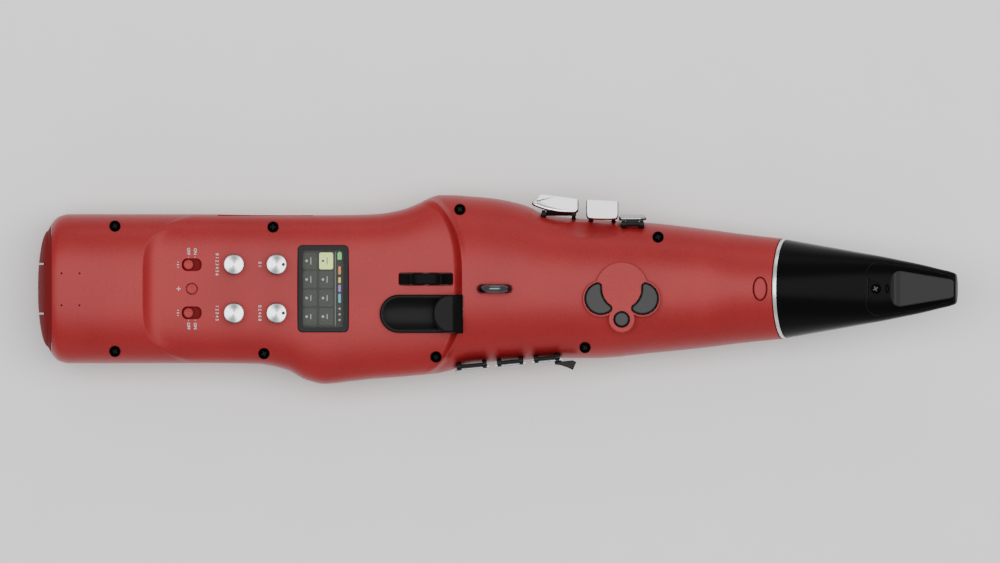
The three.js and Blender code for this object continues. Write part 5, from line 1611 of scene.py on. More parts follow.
@dataclass
class Panel:
    """The control panel: knobs, slide switches, button, screen and their printed marks."""

    floor: float = PANEL_FLOOR
    knob_x: tuple[float, float] = (-165.1, -138.4)
    knob_lane: float = 15.2
    knob_radius: float = 6.5
    knob_top_radius: float = 6.3
    knob_height: float = 9.2
    knob_edge: float = 0.7
    shaft_radius: float = 3.0
    shaft_depth: float = 7.6
    dot_radius: float = 1.1
    dot_offset: float = 4.25
    switch_x: float = -191.4
    switch_lane: float = 15.1
    switch_slot: tuple[float, float] = (12.0, 7.6)
    switch_radius: float = 3.2
    switch_rest: float = -193.5
    switch_foot: float = 58.3
    shutter: tuple[float, float, float] = (23.0, 9.6, 0.9)
    wall: float = WALL
    button_radius: float = 3.4
    button_hole: float = 3.72
    button_foot: float = 58.1
    proud: float = 0.9
    screen_x: float = -109.3
    screen: tuple[float, float, float] = (31.4, 54.0, 2.75)
    screen_thickness: float = 2.8
    picture: tuple[float, float] = (25.8, 48.4)
    ink: float = 0.03
    switch_travel: float = 4.2
    mark_reach: float = 8.6
    mark_step: float = 1.6
    plus_reach: float = 8.2
    word_reach: float = 8.2
    word_size: float = 2.6
    scale_reach: float = 10.5
    scale_size: float = 2.7
    pin_hole: float = 0.6
    pin_depth: float = 1.0
    scales: tuple[str, str, str, str] = ("0 1 2 3 4 5 6", "1 2 3 4 5", "0 1", "0 2 4 6 8")
    pin_holes: tuple = ((-272.8, 9.7), (-261.5, 9.7), (-272.8, -10.3), (-261.6, -10.3))

    def knobs(self) -> list[tuple[float, float]]:
        """Returns where the knobs are."""
        return [(x, side * self.knob_lane) for x in self.knob_x for side in (1.0, -1.0)]

    def openings(self) -> list[Skin]:
        """Returns the tools that open the panel floor."""
        low = self.floor - self.wall - OVERRUN
        length, width = self.switch_slot
        tools = [prism(circle(self.shaft_radius + FIT, x, y, 40), low, SKY) for x, y in self.knobs()]
        for side in (1.0, -1.0):
            y = side * self.switch_lane
            plan = rounded_box(self.switch_x, y, length, width, self.switch_radius, 10)
            tools.append(opening(plan, low, self.floor))
        tools.append(opening(circle(self.button_hole, self.switch_x, 0.0), low, self.floor, 0.15))
        size = self.screen
        window = rounded_box(self.screen_x, 0.0, size[0] + 2 * FIT, size[1] + 2 * FIT, size[2] + FIT, 8)
        tools.append(opening(window, low, self.floor, 0.25))
        pin_foot = self.floor - self.pin_depth
        tools += [prism(circle(self.pin_hole, x, y, 16), pin_foot, SKY) for x, y in self.pin_holes]
        return tools

    def knob(self, dotted: bool) -> Skin:
        """Returns a knob with its shaft, standing on the panel floor at the origin.

        Args:
            dotted: Whether its top has an index dot.

        Returns:
            The knob.
        """
        foot = self.floor + FIT
        top = foot + self.knob_height
        wide, narrow, edge = self.knob_radius, self.knob_top_radius, self.knob_edge
        profile = [
            (self.shaft_radius, foot - self.shaft_depth), (self.shaft_radius, foot), (wide - 0.35, foot),
            (wide - 0.1, foot + 0.12), (wide, foot + 0.4), (wide, foot + 1.5),
        ]
        profile += [
            (narrow + (wide - narrow) * (1.0 - share) ** 0.8, foot + 1.5 + share * (self.knob_height - 2.3))
            for share in np.linspace(0.12, 1.0, 8)
        ]
        profile += [
            (narrow - edge * (1.0 - math.cos(turn)), top - edge + edge * math.sin(turn))
            for turn in np.linspace(0.2, math.pi / 2, 7)
        ]
        profile += [
            (radius, top - 0.32 * (1.0 - (radius / (narrow - 0.9)) ** 2))
            for radius in (4.6, 3.4, 2.2, 1.0, 0.05)
        ]
        body = turned(profile, 96)
        if not dotted:
            return body
        return cut(body, prism(circle(self.dot_radius, self.dot_offset, 0.0, 32), top - 0.75, top + MARGIN))

    def build(self, shop: Workshop) -> None:
        """Places everything on the panel.

        Args:
            shop: Where pieces are placed.
        """
        palette = shop.palette
        top = self.floor + FIT + self.knob_height
        for number, (x, y) in enumerate(self.knobs(), 1):
            dotted = number > 2
            shift = Matrix.Translation((x, y, 0.0))
            body = f"knob_{number}"
            # The bright sectors, bright middle and side light of each knob are painted round its own centre.
            spun_and_painted_shine = SpunWithPaintedShine(f"spun_silver_painted_shine_{number}", (x, y)).material()
            shop.place(
                f"knob_cap_{number}", self.knob(dotted).moved(shift), body, Slot.KNOB_SILVER, spun_and_painted_shine, [body]
            )
            if dotted:
                dot = circle(self.dot_radius - 0.02, self.dot_offset, 0.0, 32)
                fill = prism(dot, top - 0.74, top - 0.36).moved(shift)
                shop.place(f"knob_dot_{number}", fill, body, Slot.SCREW_BLACK, palette.black_ink)
        under = self.floor - self.wall
        for number, side in enumerate((1.0, -1.0), 1):
            body = f"switch_{number}"
            shift = Matrix.Translation((self.switch_rest, side * self.switch_lane, 0.0))
            slider = self.slider(self.switch_radius, self.switch_foot).moved(shift)
            shop.place(
                f"switch_slider_{number}", slider, body, Slot.BODY_RED, palette.paint_material,
                [f"switch_cap_{number}"],
            )
            length, width, depth = self.shutter
            plate = cut(
                prism(rounded_box(0.0, 0.0, length, width, 1.0, 4), under - depth, under - FIT),
                prism(circle(self.switch_radius - 0.4, 0.0, 0.0, 32), 0.0, SKY),
            )
            shop.place(f"switch_shutter_{number}", plate.moved(shift), body, Slot.CAP_RED, palette.cap)
        place = Matrix.Translation((self.switch_x, 0.0, 0.0))
        button = self.slider(self.button_radius, self.button_foot).moved(place)
        shop.place(
            "panel_push_button", button, Body.PANEL_BUTTON, Slot.BODY_RED, palette.paint_material,
            ["panel_button"],
        )
        self.build_screen(shop)
        self.print_marks(shop)

    def slider(self, radius: float, foot: float) -> Skin:
        """Returns a round cap with a softened, slightly dished top, at the origin."""
        top = self.floor + self.proud
        edge, dip = 0.8, 0.25
        profile = [(radius - 0.15, foot), (radius, foot + 0.15), (radius, top - edge)]
        profile += [
            (radius - edge * (1.0 - math.cos(turn)), top - edge + edge * math.sin(turn))
            for turn in np.linspace(0.15, math.pi / 2, 8)
        ]
        rim = radius - 0.9
        profile += [
            (radius * share, top - dip * (1.0 - (radius * share / rim) ** 2)) for share in (0.5, 0.3, 0.02)
        ]
        return turned(profile, 72)

    def build_screen(self, shop: Workshop) -> None:
        """Places the window and the lit picture behind it.

        Args:
            shop: Where pieces are placed.
        """
        palette = shop.palette
        length, width, corner = self.screen
        foot = self.floor + FIT - self.screen_thickness
        top = foot + self.screen_thickness
        plan = rounded_box(self.screen_x, 0.0, length, width, corner, 10)
        shop.place(
            "screen_cover_glass", prism(plan, foot, top, 0.3), Body.HOUSING, Slot.SCREEN_GLASS,
            palette.glass, ["screen_window"],
        )
        across, up = self.picture
        under = foot - FIT

        def tile(
            name: str, x: float, y: float, size: tuple[float, float], corner: float, depth: float, ink: Ink
        ) -> None:
            """Places one lit shape of the picture."""
            shape = rounded_box(self.screen_x + x, y, size[0], size[1], corner, 4)
            plate = prism(shape, under - FIT, under + depth)
            shop.place(name, plate, Body.HOUSING, Slot.SCREEN_LIT, ink.material())

        back = block(
            (self.screen_x - across / 2 - 1.5, -up / 2 - 1.5, under - 0.9),
            (self.screen_x + across / 2 + 1.5, up / 2 + 1.5, under - 0.02),
            0.4,
        )
        glow = Ink("screen_glow", (0.02, 0.022, 0.018), 0.3)
        shop.place("screen_picture_back", back, Body.HOUSING, Slot.SCREEN_LIT, glow.material())
        dim = Ink("screen_tile_dim", (0.038, 0.043, 0.033), 0.35)
        lit = Ink("screen_tile_lit", (0.6, 0.78, 0.24), 0.8)
        line = Ink("screen_line", (0.3, 0.32, 0.29), 0.6)
        green = Ink("screen_green", (0.12, 0.5, 0.12), 0.8)
        columns = (-8.3, 1.9)
        rows = (17.4, 5.8, -5.8, -17.4)
        for column, x in enumerate(columns):
            for row, y in enumerate(rows):
                chosen = column == 1 and row == 0
                number = f"{column + 1}_{row + 1}"
                tile(f"screen_tile_{number}", x, y, (8.6, 10.4), 1.1, 0.02, lit if chosen else dim)
                mark = dim if chosen else line
                tile(f"screen_mark_{number}", x + 0.6, y, (0.5, 4.6 - row * 0.5), 0.2, 0.05, mark)
                tile(f"screen_spot_{number}", x - 2.0, y, (1.6, 1.6), 0.79, 0.05, mark)
        tile("screen_battery", 10.3, 20.4, (2.6, 4.4), 0.5, 0.04, green)
        tile("screen_battery_tip", 10.3, 22.9, (1.2, 0.5), 0.2, 0.04, green)
        bars = (
            ("orange", (0.6, 0.22, 0.03), 11.5, 5.0), ("yellow", (0.6, 0.5, 0.06), 5.4, 3.6),
            ("purple", (0.3, 0.12, 0.5), 0.2, 4.4), ("teal", (0.04, 0.4, 0.4), -6.0, 5.6),
        )
        for name, colour, y, size in bars:
            tile(f"screen_bar_{name}", 10.3, y, (1.5, size), 0.6, 0.04, Ink(f"screen_{name}", colour, 0.7))
        for number, y in enumerate((-12.5, -16.0, -19.5), 1):
            tile(f"screen_dot_{number}", 10.3, y, (1.3, 1.3), 0.64, 0.04, line)
        tile("screen_rule", 7.6, 0.0, (0.18, 46.0), 0.08, 0.03, line)

    def print_marks(self, shop: Workshop) -> None:
        """Prints plain generic marks beside the controls.

        Args:
            shop: Where pieces are placed.
        """
        ink = shop.palette.white_ink
        marks: list[Skin] = []

        def stroke(x: float, y: float, length: float, width: float) -> None:
            """Adds one printed stroke."""
            plan = rounded_box(x, y, length, width, min(length, width) * 0.45, 3)
            marks.append(prism(plan, self.floor - self.ink, self.floor + self.ink))

        for side in (1.0, -1.0):
            y = side * self.switch_lane
            left = self.switch_x - self.mark_reach
            stroke(left, y, 1.5, 0.35)
            stroke(left, y + self.mark_step, 0.9, 0.3)
            stroke(left, y - self.mark_step, 0.9, 0.3)
            for x in (self.switch_rest, self.switch_rest + self.switch_travel):
                stroke(x, y + 4.6 * side, 0.45, 0.45)
        stroke(self.switch_x - self.plus_reach, 0.0, 0.35, 2.6)
        stroke(self.switch_x - self.plus_reach, 0.0, 2.6, 0.35)
        shop.place("panel_print", together(marks), Body.HOUSING, Slot.KNOB_SILVER, ink)
        for side, place in ((1.0, "palm"), (-1.0, "side")):
            y = side * (self.switch_lane + self.word_reach)
            on = self.switch_rest + self.switch_travel
            self.word(shop, f"print_off_{place}", "OFF", self.switch_rest, y, self.word_size)
            self.word(shop, f"print_on_{place}", "ON", on, y, self.word_size)
        for number, ((x, y), digits) in enumerate(zip(self.knobs(), self.scales), 1):
            self.word(shop, f"print_scale_{number}", digits, x - self.scale_reach, y, self.scale_size)

    def word(self, shop: Workshop, name: str, text: str, x: float, y: float, size: float) -> None:
        """Prints short plain lettering that reads across the casing.

        Args:
            shop: Where pieces are placed.
            name: The piece's name.
            text: What it says.
            x: Its middle along the casing.
            y: Its middle across the casing.
            size: Its size.
        """
        letters = bpy.data.curves.new(name, "FONT")
        letters.body = text
        letters.size = size * MM
        letters.extrude = self.ink * MM
        letters.align_x = "CENTER"
        letters.align_y = "CENTER"
        letters.materials.append(shop.palette.white_ink)
        piece = bpy.data.objects.new(name, letters)
        piece.location = Vector((x, y, self.floor)) * MM
        piece.rotation_euler = (0.0, 0.0, -math.pi / 2)
        bpy.context.scene.collection.objects.link(piece)
        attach(piece, Body.HOUSING.value)
        shop.placed += 1
        LOG.info("%s: printed", name)


def lying(outline: Outline, low: float, high: float, rounding: float = 0.0, steps: int = 4) -> Skin:
    """Raises an outline drawn in X and Z across the Y direction.

    Args:
        outline: The outline.
        low: Its lowest Y.
        high: Its highest Y.
        rounding: Radius of the round along both faces' edges.
        steps: Facets in each round.

    Returns:
        The plate.
    """
    flat = prism(outline, -high, -low, rounding, rounding, steps)
    return flat.moved(Matrix.Rotation(math.pi / 2, 4, "X"))


@dataclass
class PitchWheel:
    """The dished pitch wheel, half sunk in the panel."""

    x: float = -45.1
    y: float = 6.05
    radius: float = 20.0
    width: float = 7.0
    height: float = 49.5
    dish_radius: float = 22.0
    dish_depth: float = 4.5
    bore: float = 3.35
    slot: tuple[float, float, float] = (33.7, 7.7, 1.3)
    edge: float = 0.8
    soft: float = 0.35

    def openings(self, floor: float) -> list[Skin]:
        """Returns the tool for the wheel's slot."""
        length, width, corner = self.slot
        foot = floor - WALL - OVERRUN
        return [opening(rounded_box(self.x, self.y, length, width, corner, 6), foot, floor)]

    def outline(self) -> Outline:
        """Returns the wheel's outline with its dish, about its own centre."""
        turn = np.linspace(0.0, 2.0 * math.pi, 360, endpoint=False)
        hub = self.radius - self.dish_depth + self.dish_radius
        inside = np.clip(self.dish_radius ** 2 - (hub * np.sin(turn)) ** 2, 0.0, None)
        reach = hub * np.cos(turn) - np.sqrt(inside)
        dished = (inside > 0.0) & (np.cos(turn) > 0.0)
        low = np.where(dished, reach, self.radius + self.dish_radius)
        blend = np.clip(0.5 + 0.5 * (low - self.radius) / self.soft, 0.0, 1.0)
        radius = low + (self.radius - low) * blend - self.soft * blend * (1.0 - blend)
        radius = np.minimum(radius, self.radius)
        return np.column_stack([self.x + radius * np.sin(turn), self.height + radius * np.cos(turn)])

    def build(self, shop: Workshop) -> None:
        """Makes and places the wheel."""
        low, high = self.y - self.width / 2, self.y + self.width / 2
        wheel = lying(self.outline(), low, high, self.edge)
        bore = lying(circle(self.bore, self.x, self.height, 32), low - OVERRUN, high + OVERRUN)
        shop.place(
            "pitch_wheel_rim", cut(wheel, bore), Body.PITCH_WHEEL, Slot.BLACK_GLOSS,
            shop.palette.gloss, ["pitch_wheel"], math.radians(50.0),
        )


@dataclass
class ThumbRest:
    """The dished thumb rest with the hook that arches over the thumb."""

    tail_x: float = -73.9
    neck_x: float = -22.1
    y: float = -15.65
    half_width: float = 11.95
    floor: float = PANEL_FLOOR
    plate: float = 2.8
    hook_top: float = 79.0
    hook_lip: float = 5.0
    hook_face: float = -33.3
    hook_bulge: float = 7.6
    slope_start: float = -28.4
    slope_drop: float = 5.0
    hook_corner: float = 1.2
    fillet: float = 3.2
    rim: float = 1.5
    dish_depth: float = 1.7
    dish_slope: float = 9.6
    dish_past: float = 8.0
    peg_radius: float = 2.5
    peg_depth: float = 4.5

    def plan(self, neck_x: float) -> Outline:
        """Returns the plate's outline up to a place."""
        tail = arc(
            (self.tail_x + self.half_width, self.y), self.half_width, math.pi / 2, math.pi * 1.5, 48
        )
        ends = [[neck_x, self.y - self.half_width], [neck_x, self.y + self.half_width]]
        return np.vstack([tail, ends])

    def pegs(self) -> list[float]:
        """Returns where the pegs are along the casing."""
        return [self.tail_x + self.half_width, self.hook_face + self.peg_radius]

    def openings(self) -> list[Skin]:
        """Returns the tools for the pegs' holes and the notch behind the hook."""
        low = self.floor - WALL - OVERRUN
        tools = [
            prism(circle(self.peg_radius + FIT, x, self.y, 24), low, self.floor + OVERRUN)
            for x in self.pegs()
        ]
        half = self.half_width + FIT
        plan = rounded_box(
            (self.hook_face + self.neck_x + FIT) / 2, self.y,
            self.neck_x + FIT - self.hook_face, 2 * half, 0.8, 4,
        )
        tools.append(prism(plan, self.floor, SKY))
        return tools

    def hook_plan(self) -> Outline:
        """Returns the outline of the hook seen from above."""
        radius = (self.half_width ** 2 + self.hook_bulge ** 2) / (2 * self.hook_bulge)
        spread = math.asin(self.half_width / radius)
        centre = (self.hook_face - self.hook_bulge + radius, self.y)
        face = arc(centre, radius, math.pi - spread, math.pi + spread, 40)
        corner = self.hook_corner
        neck = self.neck_x
        low = arc((neck - corner, self.y - self.half_width + corner), corner, -math.pi / 2, 0.0, 5)
        high = arc((neck - corner, self.y + self.half_width - corner), corner, 0.0, math.pi / 2, 5)
        return np.vstack([face, low, high])

    def dish(self, top: float) -> Skin:
        """Returns the tool that hollows the plate."""
        plan = counter_clockwise(self.plan(self.neck_x + self.dish_past))
        rings = []
        for share in np.linspace(0.0, 1.0, 14):
            drawn_in = self.rim + self.dish_slope * share
            height = top - self.dish_depth * (1.0 - (1.0 - share) ** 2)
            flat = inset(plan, drawn_in)
            rings.append(np.column_stack([flat, np.full(len(flat), height)]))
        lid = inset(plan, self.rim - 0.25)
        rings.insert(0, np.column_stack([lid, np.full(len(lid), top + 0.25)]))
        return loft(rings)

    def build(self, shop: Workshop) -> None:
        """Makes and places the rest."""
        foot = self.floor + FIT
        top = foot + self.plate
        plate = cut(prism(self.plan(self.neck_x - 0.2), foot, top, 0.9, 0.2, 6), self.dish(top))
        lip_foot = self.hook_top - self.hook_lip
        lip = prism(self.hook_plan(), lip_foot, self.hook_top, 1.5, 1.2, 8)
        pillar = rounded_box(
            (self.hook_face + self.neck_x) / 2, self.y, self.neck_x - self.hook_face,
            2 * self.half_width, self.hook_corner, 5,
        )
        corner_x, corner_z, reach = self.hook_face + 0.5, top - 0.4, self.fillet
        fillet = np.array([[corner_x, corner_z]] + [
            [corner_x - reach * (1 - math.cos(turn)), corner_z + reach * (1 - math.sin(turn))]
            for turn in np.linspace(math.pi / 2, 0.0, 8)
        ])
        run, drop = self.neck_x - self.slope_start, self.slope_drop
        slope = np.array([
            [self.slope_start, self.hook_top], [self.slope_start + run / 3, self.hook_top - drop * 0.16],
            [self.slope_start + 2 * run / 3, self.hook_top - drop * 0.52],
            [self.neck_x, self.hook_top - drop], [self.neck_x + 9.0, self.hook_top - drop],
            [self.neck_x + 9.0, self.hook_top + 9.0], [self.slope_start, self.hook_top + 9.0],
        ])
        width = self.half_width
        rest = shaped(plate, [
            (Act.JOIN, prism(pillar, foot, lip_foot + 2.5)),
            (Act.JOIN, lying(fillet, self.y - width + self.hook_corner, self.y + width - self.hook_corner)),
            (Act.JOIN, lip),
            (Act.CUT, lying(slope, self.y - 2 * width, self.y + 2 * width)),
            *[
                (Act.JOIN, prism(circle(self.peg_radius, x, self.y, 24), foot - self.peg_depth, foot + FIT))
                for x in self.pegs()
            ],
        ])
        shop.place(
            "thumb_rest_hook", rest, Body.HOUSING, Slot.BLACK_GLOSS, shop.palette.piano, ["thumb_rest"]
        )


@dataclass
class StrapRing:
    """The half hoop of round wire that a neck strap clips to."""

    x: float = -2.15
    radius: float = 8.15
    wire: float = 2.85
    height: float = 72.38
    foot_depth: float = 5.4

    def openings(self) -> list[Skin]:
        """Returns the tools for the feet's holes."""
        low = self.height - self.foot_depth - FIT
        return [
            prism(circle(self.wire + FIT, self.x + side * self.radius, 0.0, 32), low, SKY)
            for side in (1.0, -1.0)
        ]

    def build(self, shop: Workshop) -> None:
        """Makes and places the ring."""
        foot = self.height - self.foot_depth
        rising = np.linspace(foot, self.height, 6)
        path = [[self.x + self.radius, 0.0, height] for height in rising[:-1]]
        path += [
            [self.x + self.radius * math.cos(turn), 0.0, self.height + self.radius * math.sin(turn)]
            for turn in np.linspace(0.0, math.pi, 49)
        ]
        path += [[self.x - self.radius, 0.0, height] for height in rising[::-1][1:]]
        hoop = swept(np.array(path), self.wire, 36)
        shop.place(
            "strap_ring_hoop", hoop, Body.HOUSING, Slot.BLACK_GLOSS, shop.palette.black_chrome,
            ["strap_ring"],
        )


@dataclass
class OctaveTable:
    """The raised octave platform with its two bean pads and its round pad."""

    x: float = 77.3
    radius: float = 16.7
    top: float = 72.3
    foot: float = 61.0
    lobe_radius: float = 8.3
    lobe_y: float = -19.1
    bean: tuple[float, float] = (13.0, -6.1)
    bean_radius: float = 10.1
    hollow_radius: float = 12.5
    horn_radius: float = 2.5
    rim: float = 1.2
    round_radius: float = 4.9
    rise: float = 0.5
    pad_depth: float = 7.5
    face_depth: float = 2.0
    face_round: float = 0.7
    shade_rim_drop: float = 0.55
    border: float = 0.9
    step: float = 0.55
    bevel: float = 0.15

    def pad_plan(self, side: float, grow: float) -> Outline:
        """Returns a bean pad's outline.

        Args:
            side: 1 toward the mouthpiece, -1 toward the tail.
            grow: How far the outline stands out from the pad.

        Returns:
            The outline.
        """
        out_x, out_y = self.bean
        outer, inner = self.bean_radius + grow, self.hollow_radius - grow
        horn_radius = self.horn_radius + grow
        reach = math.hypot(out_x, out_y)
        heading = math.atan2(out_y, side * out_x)
        outer_reach, inner_reach = outer - horn_radius, inner + horn_radius
        along = (reach ** 2 + inner_reach ** 2 - outer_reach ** 2) / (2 * reach)
        beside = math.sqrt(inner_reach ** 2 - along ** 2)
        horns = [
            (
                self.x + along * math.cos(heading) - hand * beside * math.sin(heading),
                along * math.sin(heading) + hand * beside * math.cos(heading),
            )
            for hand in (-1, 1)
        ]
        hub, heart = (self.x + side * out_x, out_y), (self.x, 0.0)
        outward = [math.atan2(y - hub[1], x - hub[0]) for x, y in horns]
        inward = [math.atan2(heart[1] - y, heart[0] - x) for x, y in horns]

        def sweep(
            centre: tuple[float, float], radius: float, start: float, end: float, way: int
        ) -> Outline:
            """Returns an arc that turns one way round."""
            span = (end - start) % (2 * math.pi) if way > 0 else -((start - end) % (2 * math.pi))
            return arc(centre, radius, start, start + span, max(8, int(abs(span) * 14)))[:-1]

        return np.vstack([
            sweep(hub, outer, outward[0], outward[1], 1),
            sweep(horns[1], horn_radius, outward[1], inward[1], 1),
            sweep(heart, inner, inward[1] - math.pi, inward[0] - math.pi, -1),
            sweep(horns[0], horn_radius, inward[0], outward[0], 1),
        ])

    def platform(self) -> Skin:
        """Returns the platform that stands on the casing, its parts' tops a hair apart."""
        step = self.step
        grow = self.rim + FIT
        return joined(
            prism(circle(self.radius, self.x, 0.0, 96), self.foot, self.top, step),
            prism(circle(self.lobe_radius, self.x, self.lobe_y, 64), self.foot, self.top - 0.002, step),
            prism(self.pad_plan(1.0, grow), self.foot, self.top - 0.004, step),
            prism(self.pad_plan(-1.0, grow), self.foot, self.top - 0.006, step),
        )

    def openings(self) -> list[Skin]:
        """Returns the tools for the pads' wells."""
        plans = [self.pad_plan(1.0, FIT), self.pad_plan(-1.0, FIT)]
        plans.append(circle(self.round_radius + FIT, self.x, self.lobe_y, 56))
        return [opening(plan, self.foot - OVERRUN, self.top, self.bevel) for plan in plans]

    def build(self, shop: Workshop) -> None:
        """Makes and places the pads, each in a black rim that paints the shade of the gap round it."""
        top = self.top + self.rise
        foot = top - self.pad_depth
        pads = [
            ("octave_neck", Body.OCTAVE_NECK, "octave_pad_neck", self.pad_plan(1.0, -self.border),
             self.pad_plan(1.0, 0.0)),
            ("octave_tail", Body.OCTAVE_TAIL, "octave_pad_tail", self.pad_plan(-1.0, -self.border),
             self.pad_plan(-1.0, 0.0)),
            ("octave_round", Body.OCTAVE_ROUND, "octave_pad_round",
             circle(self.round_radius - self.border, self.x, self.lobe_y, 56),
             circle(self.round_radius, self.x, self.lobe_y, 56)),
        ]
        for name, body, node, face, shade_rim in pads:
            pad = prism(face, top - self.face_depth, top, self.face_round, 0.0, 6)
            shop.place(f"{name}_face", pad, body, Slot.PAD_GREY, shop.palette.rubber, [node])
            # The black rim round each grey face paints the shade of a deep gap.
            shop.place(
                f"{name}_skirt", prism(shade_rim, foot, top - self.shade_rim_drop, 0.3), body, Slot.BLACK_SATIN,
                shop.palette.lining,
            )


@dataclass
class ReleaseButton:
    """The oval button near the neck."""

    x: float = 163.8
    length: float = 8.2
    width: float = 14.0
    top: float = 66.2
    depth: float = 5.2
    gap: float = 0.55
    edge: float = 1.1
    rise: float = 0.95
    crown: float = 0.15
    crown_reach: float = 3.1

    def openings(self) -> list[Skin]:
        """Returns the tool for the button's hole."""
        plan = oval(self.x, 0.0, self.length + 2 * self.gap, self.width + 2 * self.gap)
        return [prism(plan, self.top - self.depth - OVERRUN, SKY)]

    def build(self, shop: Workshop) -> None:
        """Makes and places the button."""
        rings = []
        edge, crown = self.edge, self.crown
        levels = [(0.0, self.top - self.depth), (0.0, self.top - edge)]
        levels += [
            (edge * (1 - math.cos(turn)), self.top - edge + self.rise * math.sin(turn))
            for turn in np.linspace(0.2, 1.5, 8)
        ]
        levels += [
            (inward, self.top - crown + crown * (inward - edge) / self.crown_reach)
            for inward in (2.0, 3.0, 4.2)
        ]
        for drawn_in, height in levels:
            flat = oval(self.x, 0.0, self.length - 2 * drawn_in, self.width - 2 * drawn_in)
            rings.append(np.column_stack([flat, np.full(len(flat), height)]))
        button = loft(rings)
        shop.place(
            "release_button_cap", button, Body.RELEASE_BUTTON, Slot.BODY_RED, shop.palette.paint_material,
            ["release_button"],
        )


@dataclass
class Lever:
    """One lever key: its metal plate, its arm and its hinge pin, drawn outward from the body.

    Attributes:
        start: Where the plate starts along X.
        end: Where it ends.
        outer: The plate's outer edge, across and up.
        inner: Its inner edge.
        pin: Its hinge pin.
    """

    start: float
    end: float
    outer: tuple[float, float]
    inner: tuple[float, float]
    pin: tuple[float, float]
    plate: float = 2.2
    pin_radius: float = 1.2
    ring: float = 2.4
    fin_inset: float = 1.4
    fin_width: float = 2.4

    def face(self, side: float) -> Matrix:
        """Returns the frame of the plate's face: X along the body, Y up the plate, Z out of its face."""
        outer = Vector((0.0, side * self.outer[0], self.outer[1]))
        inner = Vector((0.0, side * self.inner[0], self.inner[1]))
        up = (inner - outer).normalized()
        along = Vector((1.0, 0.0, 0.0))
        normal = along.cross(up)
        if normal.y * side < 0.0:
            along, normal = -along, -normal
        grid = Matrix((along, up, normal)).transposed().to_4x4()
        return Matrix.Translation(outer) @ grid

    def reach(self) -> float:
        """Returns the length of the plate's face from its outer to its inner edge."""
        return math.dist(self.outer, self.inner)

    def carrier(self, side: float) -> list[Skin]:
        """Returns the arm and the hinge pin.

        Args:
            side: 1 toward the palm keys, -1 toward the side keys.

        Returns:
            The arm and the pin.
        """
        run = np.subtract(self.outer, self.inner)
        run = run / np.linalg.norm(run)
        back = np.array([run[1], -run[0]]) * self.plate
        root = np.add(self.inner, back / 2)
        midway = np.add(np.add(self.inner, np.subtract(self.outer, self.inner) * 0.3), back / 2)
        way = (root + midway) / 2 - np.array(self.pin)
        way /= np.linalg.norm(way)
        beside = np.array([-way[1], way[0]]) * self.pin_radius
        ends = [midway, root] if np.dot(root - midway, beside) > 0.0 else [root, midway]
        outline = np.array([np.add(self.pin, beside), np.subtract(self.pin, beside), *ends])
        outline[:, 0] *= side
        low = self.start + self.fin_inset + self.fin_width + FIT
        high = self.end - self.fin_inset - self.fin_width - FIT
        plan = counter_clockwise(outline)
        arm = loft([np.column_stack([np.full(len(plan), x), plan]) for x in (low, high)])
        pin_y, pin_z = side * self.pin[0], self.pin[1]
        low, high = self.start + self.fin_inset - FIT, self.end - self.fin_inset + FIT
        pin = rod((low, pin_y, pin_z), (high, pin_y, pin_z), self.pin_radius, 20)
        return [arm, pin]


def lengthwise(outline: Outline, low: float, high: float) -> Skin:
    """Raises an outline drawn in Y and Z along the X direction."""
    plan = counter_clockwise(outline)
    return loft([np.column_stack([np.full(len(plan), x), plan]) for x in (low, high)])


@dataclass
class Rail:
    """The rail inside the casing that carries one side's keys on pairs of fins.

    Attributes:
        side: 1 toward the palm keys, -1 toward the side keys.
        across: Its inner face, drawn outward from the body.
        foot: Its underside.
    """

    side: float
    across: float
    foot: float
    width: float = 3.0
    height: float = 4.0
    play: float = 0.35

    def fin(self, lever: Lever, grow: float) -> Outline:
        """Returns a fin's outline: out through the casing's flank, then up to a ring round the pin.

        Args:
            lever: The key that it carries.
            grow: How far the outline stands out from the fin.

        Returns:
            The outline in Y and Z.
        """
        pin_y, pin_z = lever.pin
        ring = lever.ring
        top = self.foot + self.height
        outline = np.vstack([
            [[self.across, self.foot], [pin_y + 0.5, self.foot], [pin_y + 1.4, self.foot + 1.2]],
            arc(lever.pin, ring, -0.5, math.pi, 14),
            [[pin_y - ring, top + 1.2], [pin_y - ring - 1.2, top], [self.across, top]],
        ])
        outline = inset(counter_clockwise(outline), -grow)
        return outline * [self.side, 1.0]

    def starts(self, lever: Lever) -> tuple[float, float]:
        """Returns where a key's two fins start."""
        return lever.start + lever.fin_inset, lever.end - lever.fin_inset - lever.fin_width

    def slots(self, levers: Sequence[Lever]) -> list[Skin]:
        """Returns the tools for the slots that the fins pass through."""
        return [
            lengthwise(self.fin(lever, FIT), start - FIT, start + lever.fin_width + FIT)
            for lever in levers
            for start in self.starts(lever)
        ]

    def bracket(self, levers: Sequence[Lever]) -> Skin:
        """Returns the rail with its fins, bored for the hinge pins."""
        low_x = min(self.starts(lever)[0] for lever in levers)
        high_x = max(self.starts(lever)[1] + lever.fin_width for lever in levers)
        low_y, high_y = sorted((self.side * self.across, self.side * (self.across + self.width)))
        bar = block((low_x, low_y, self.foot), (high_x, high_y, self.foot + self.height))
        fins = [
            (Act.JOIN, lengthwise(self.fin(lever, 0.0), start, start + lever.fin_width))
            for lever in levers
            for start in self.starts(lever)
        ]
        bores = [
            (Act.CUT, rod(
                (lever.start, self.side * lever.pin[0], lever.pin[1]),
                (lever.end, self.side * lever.pin[0], lever.pin[1]), lever.pin_radius + self.play, 24,
            ))
            for lever in levers
        ]
        return shaped(bar, fins + bores)


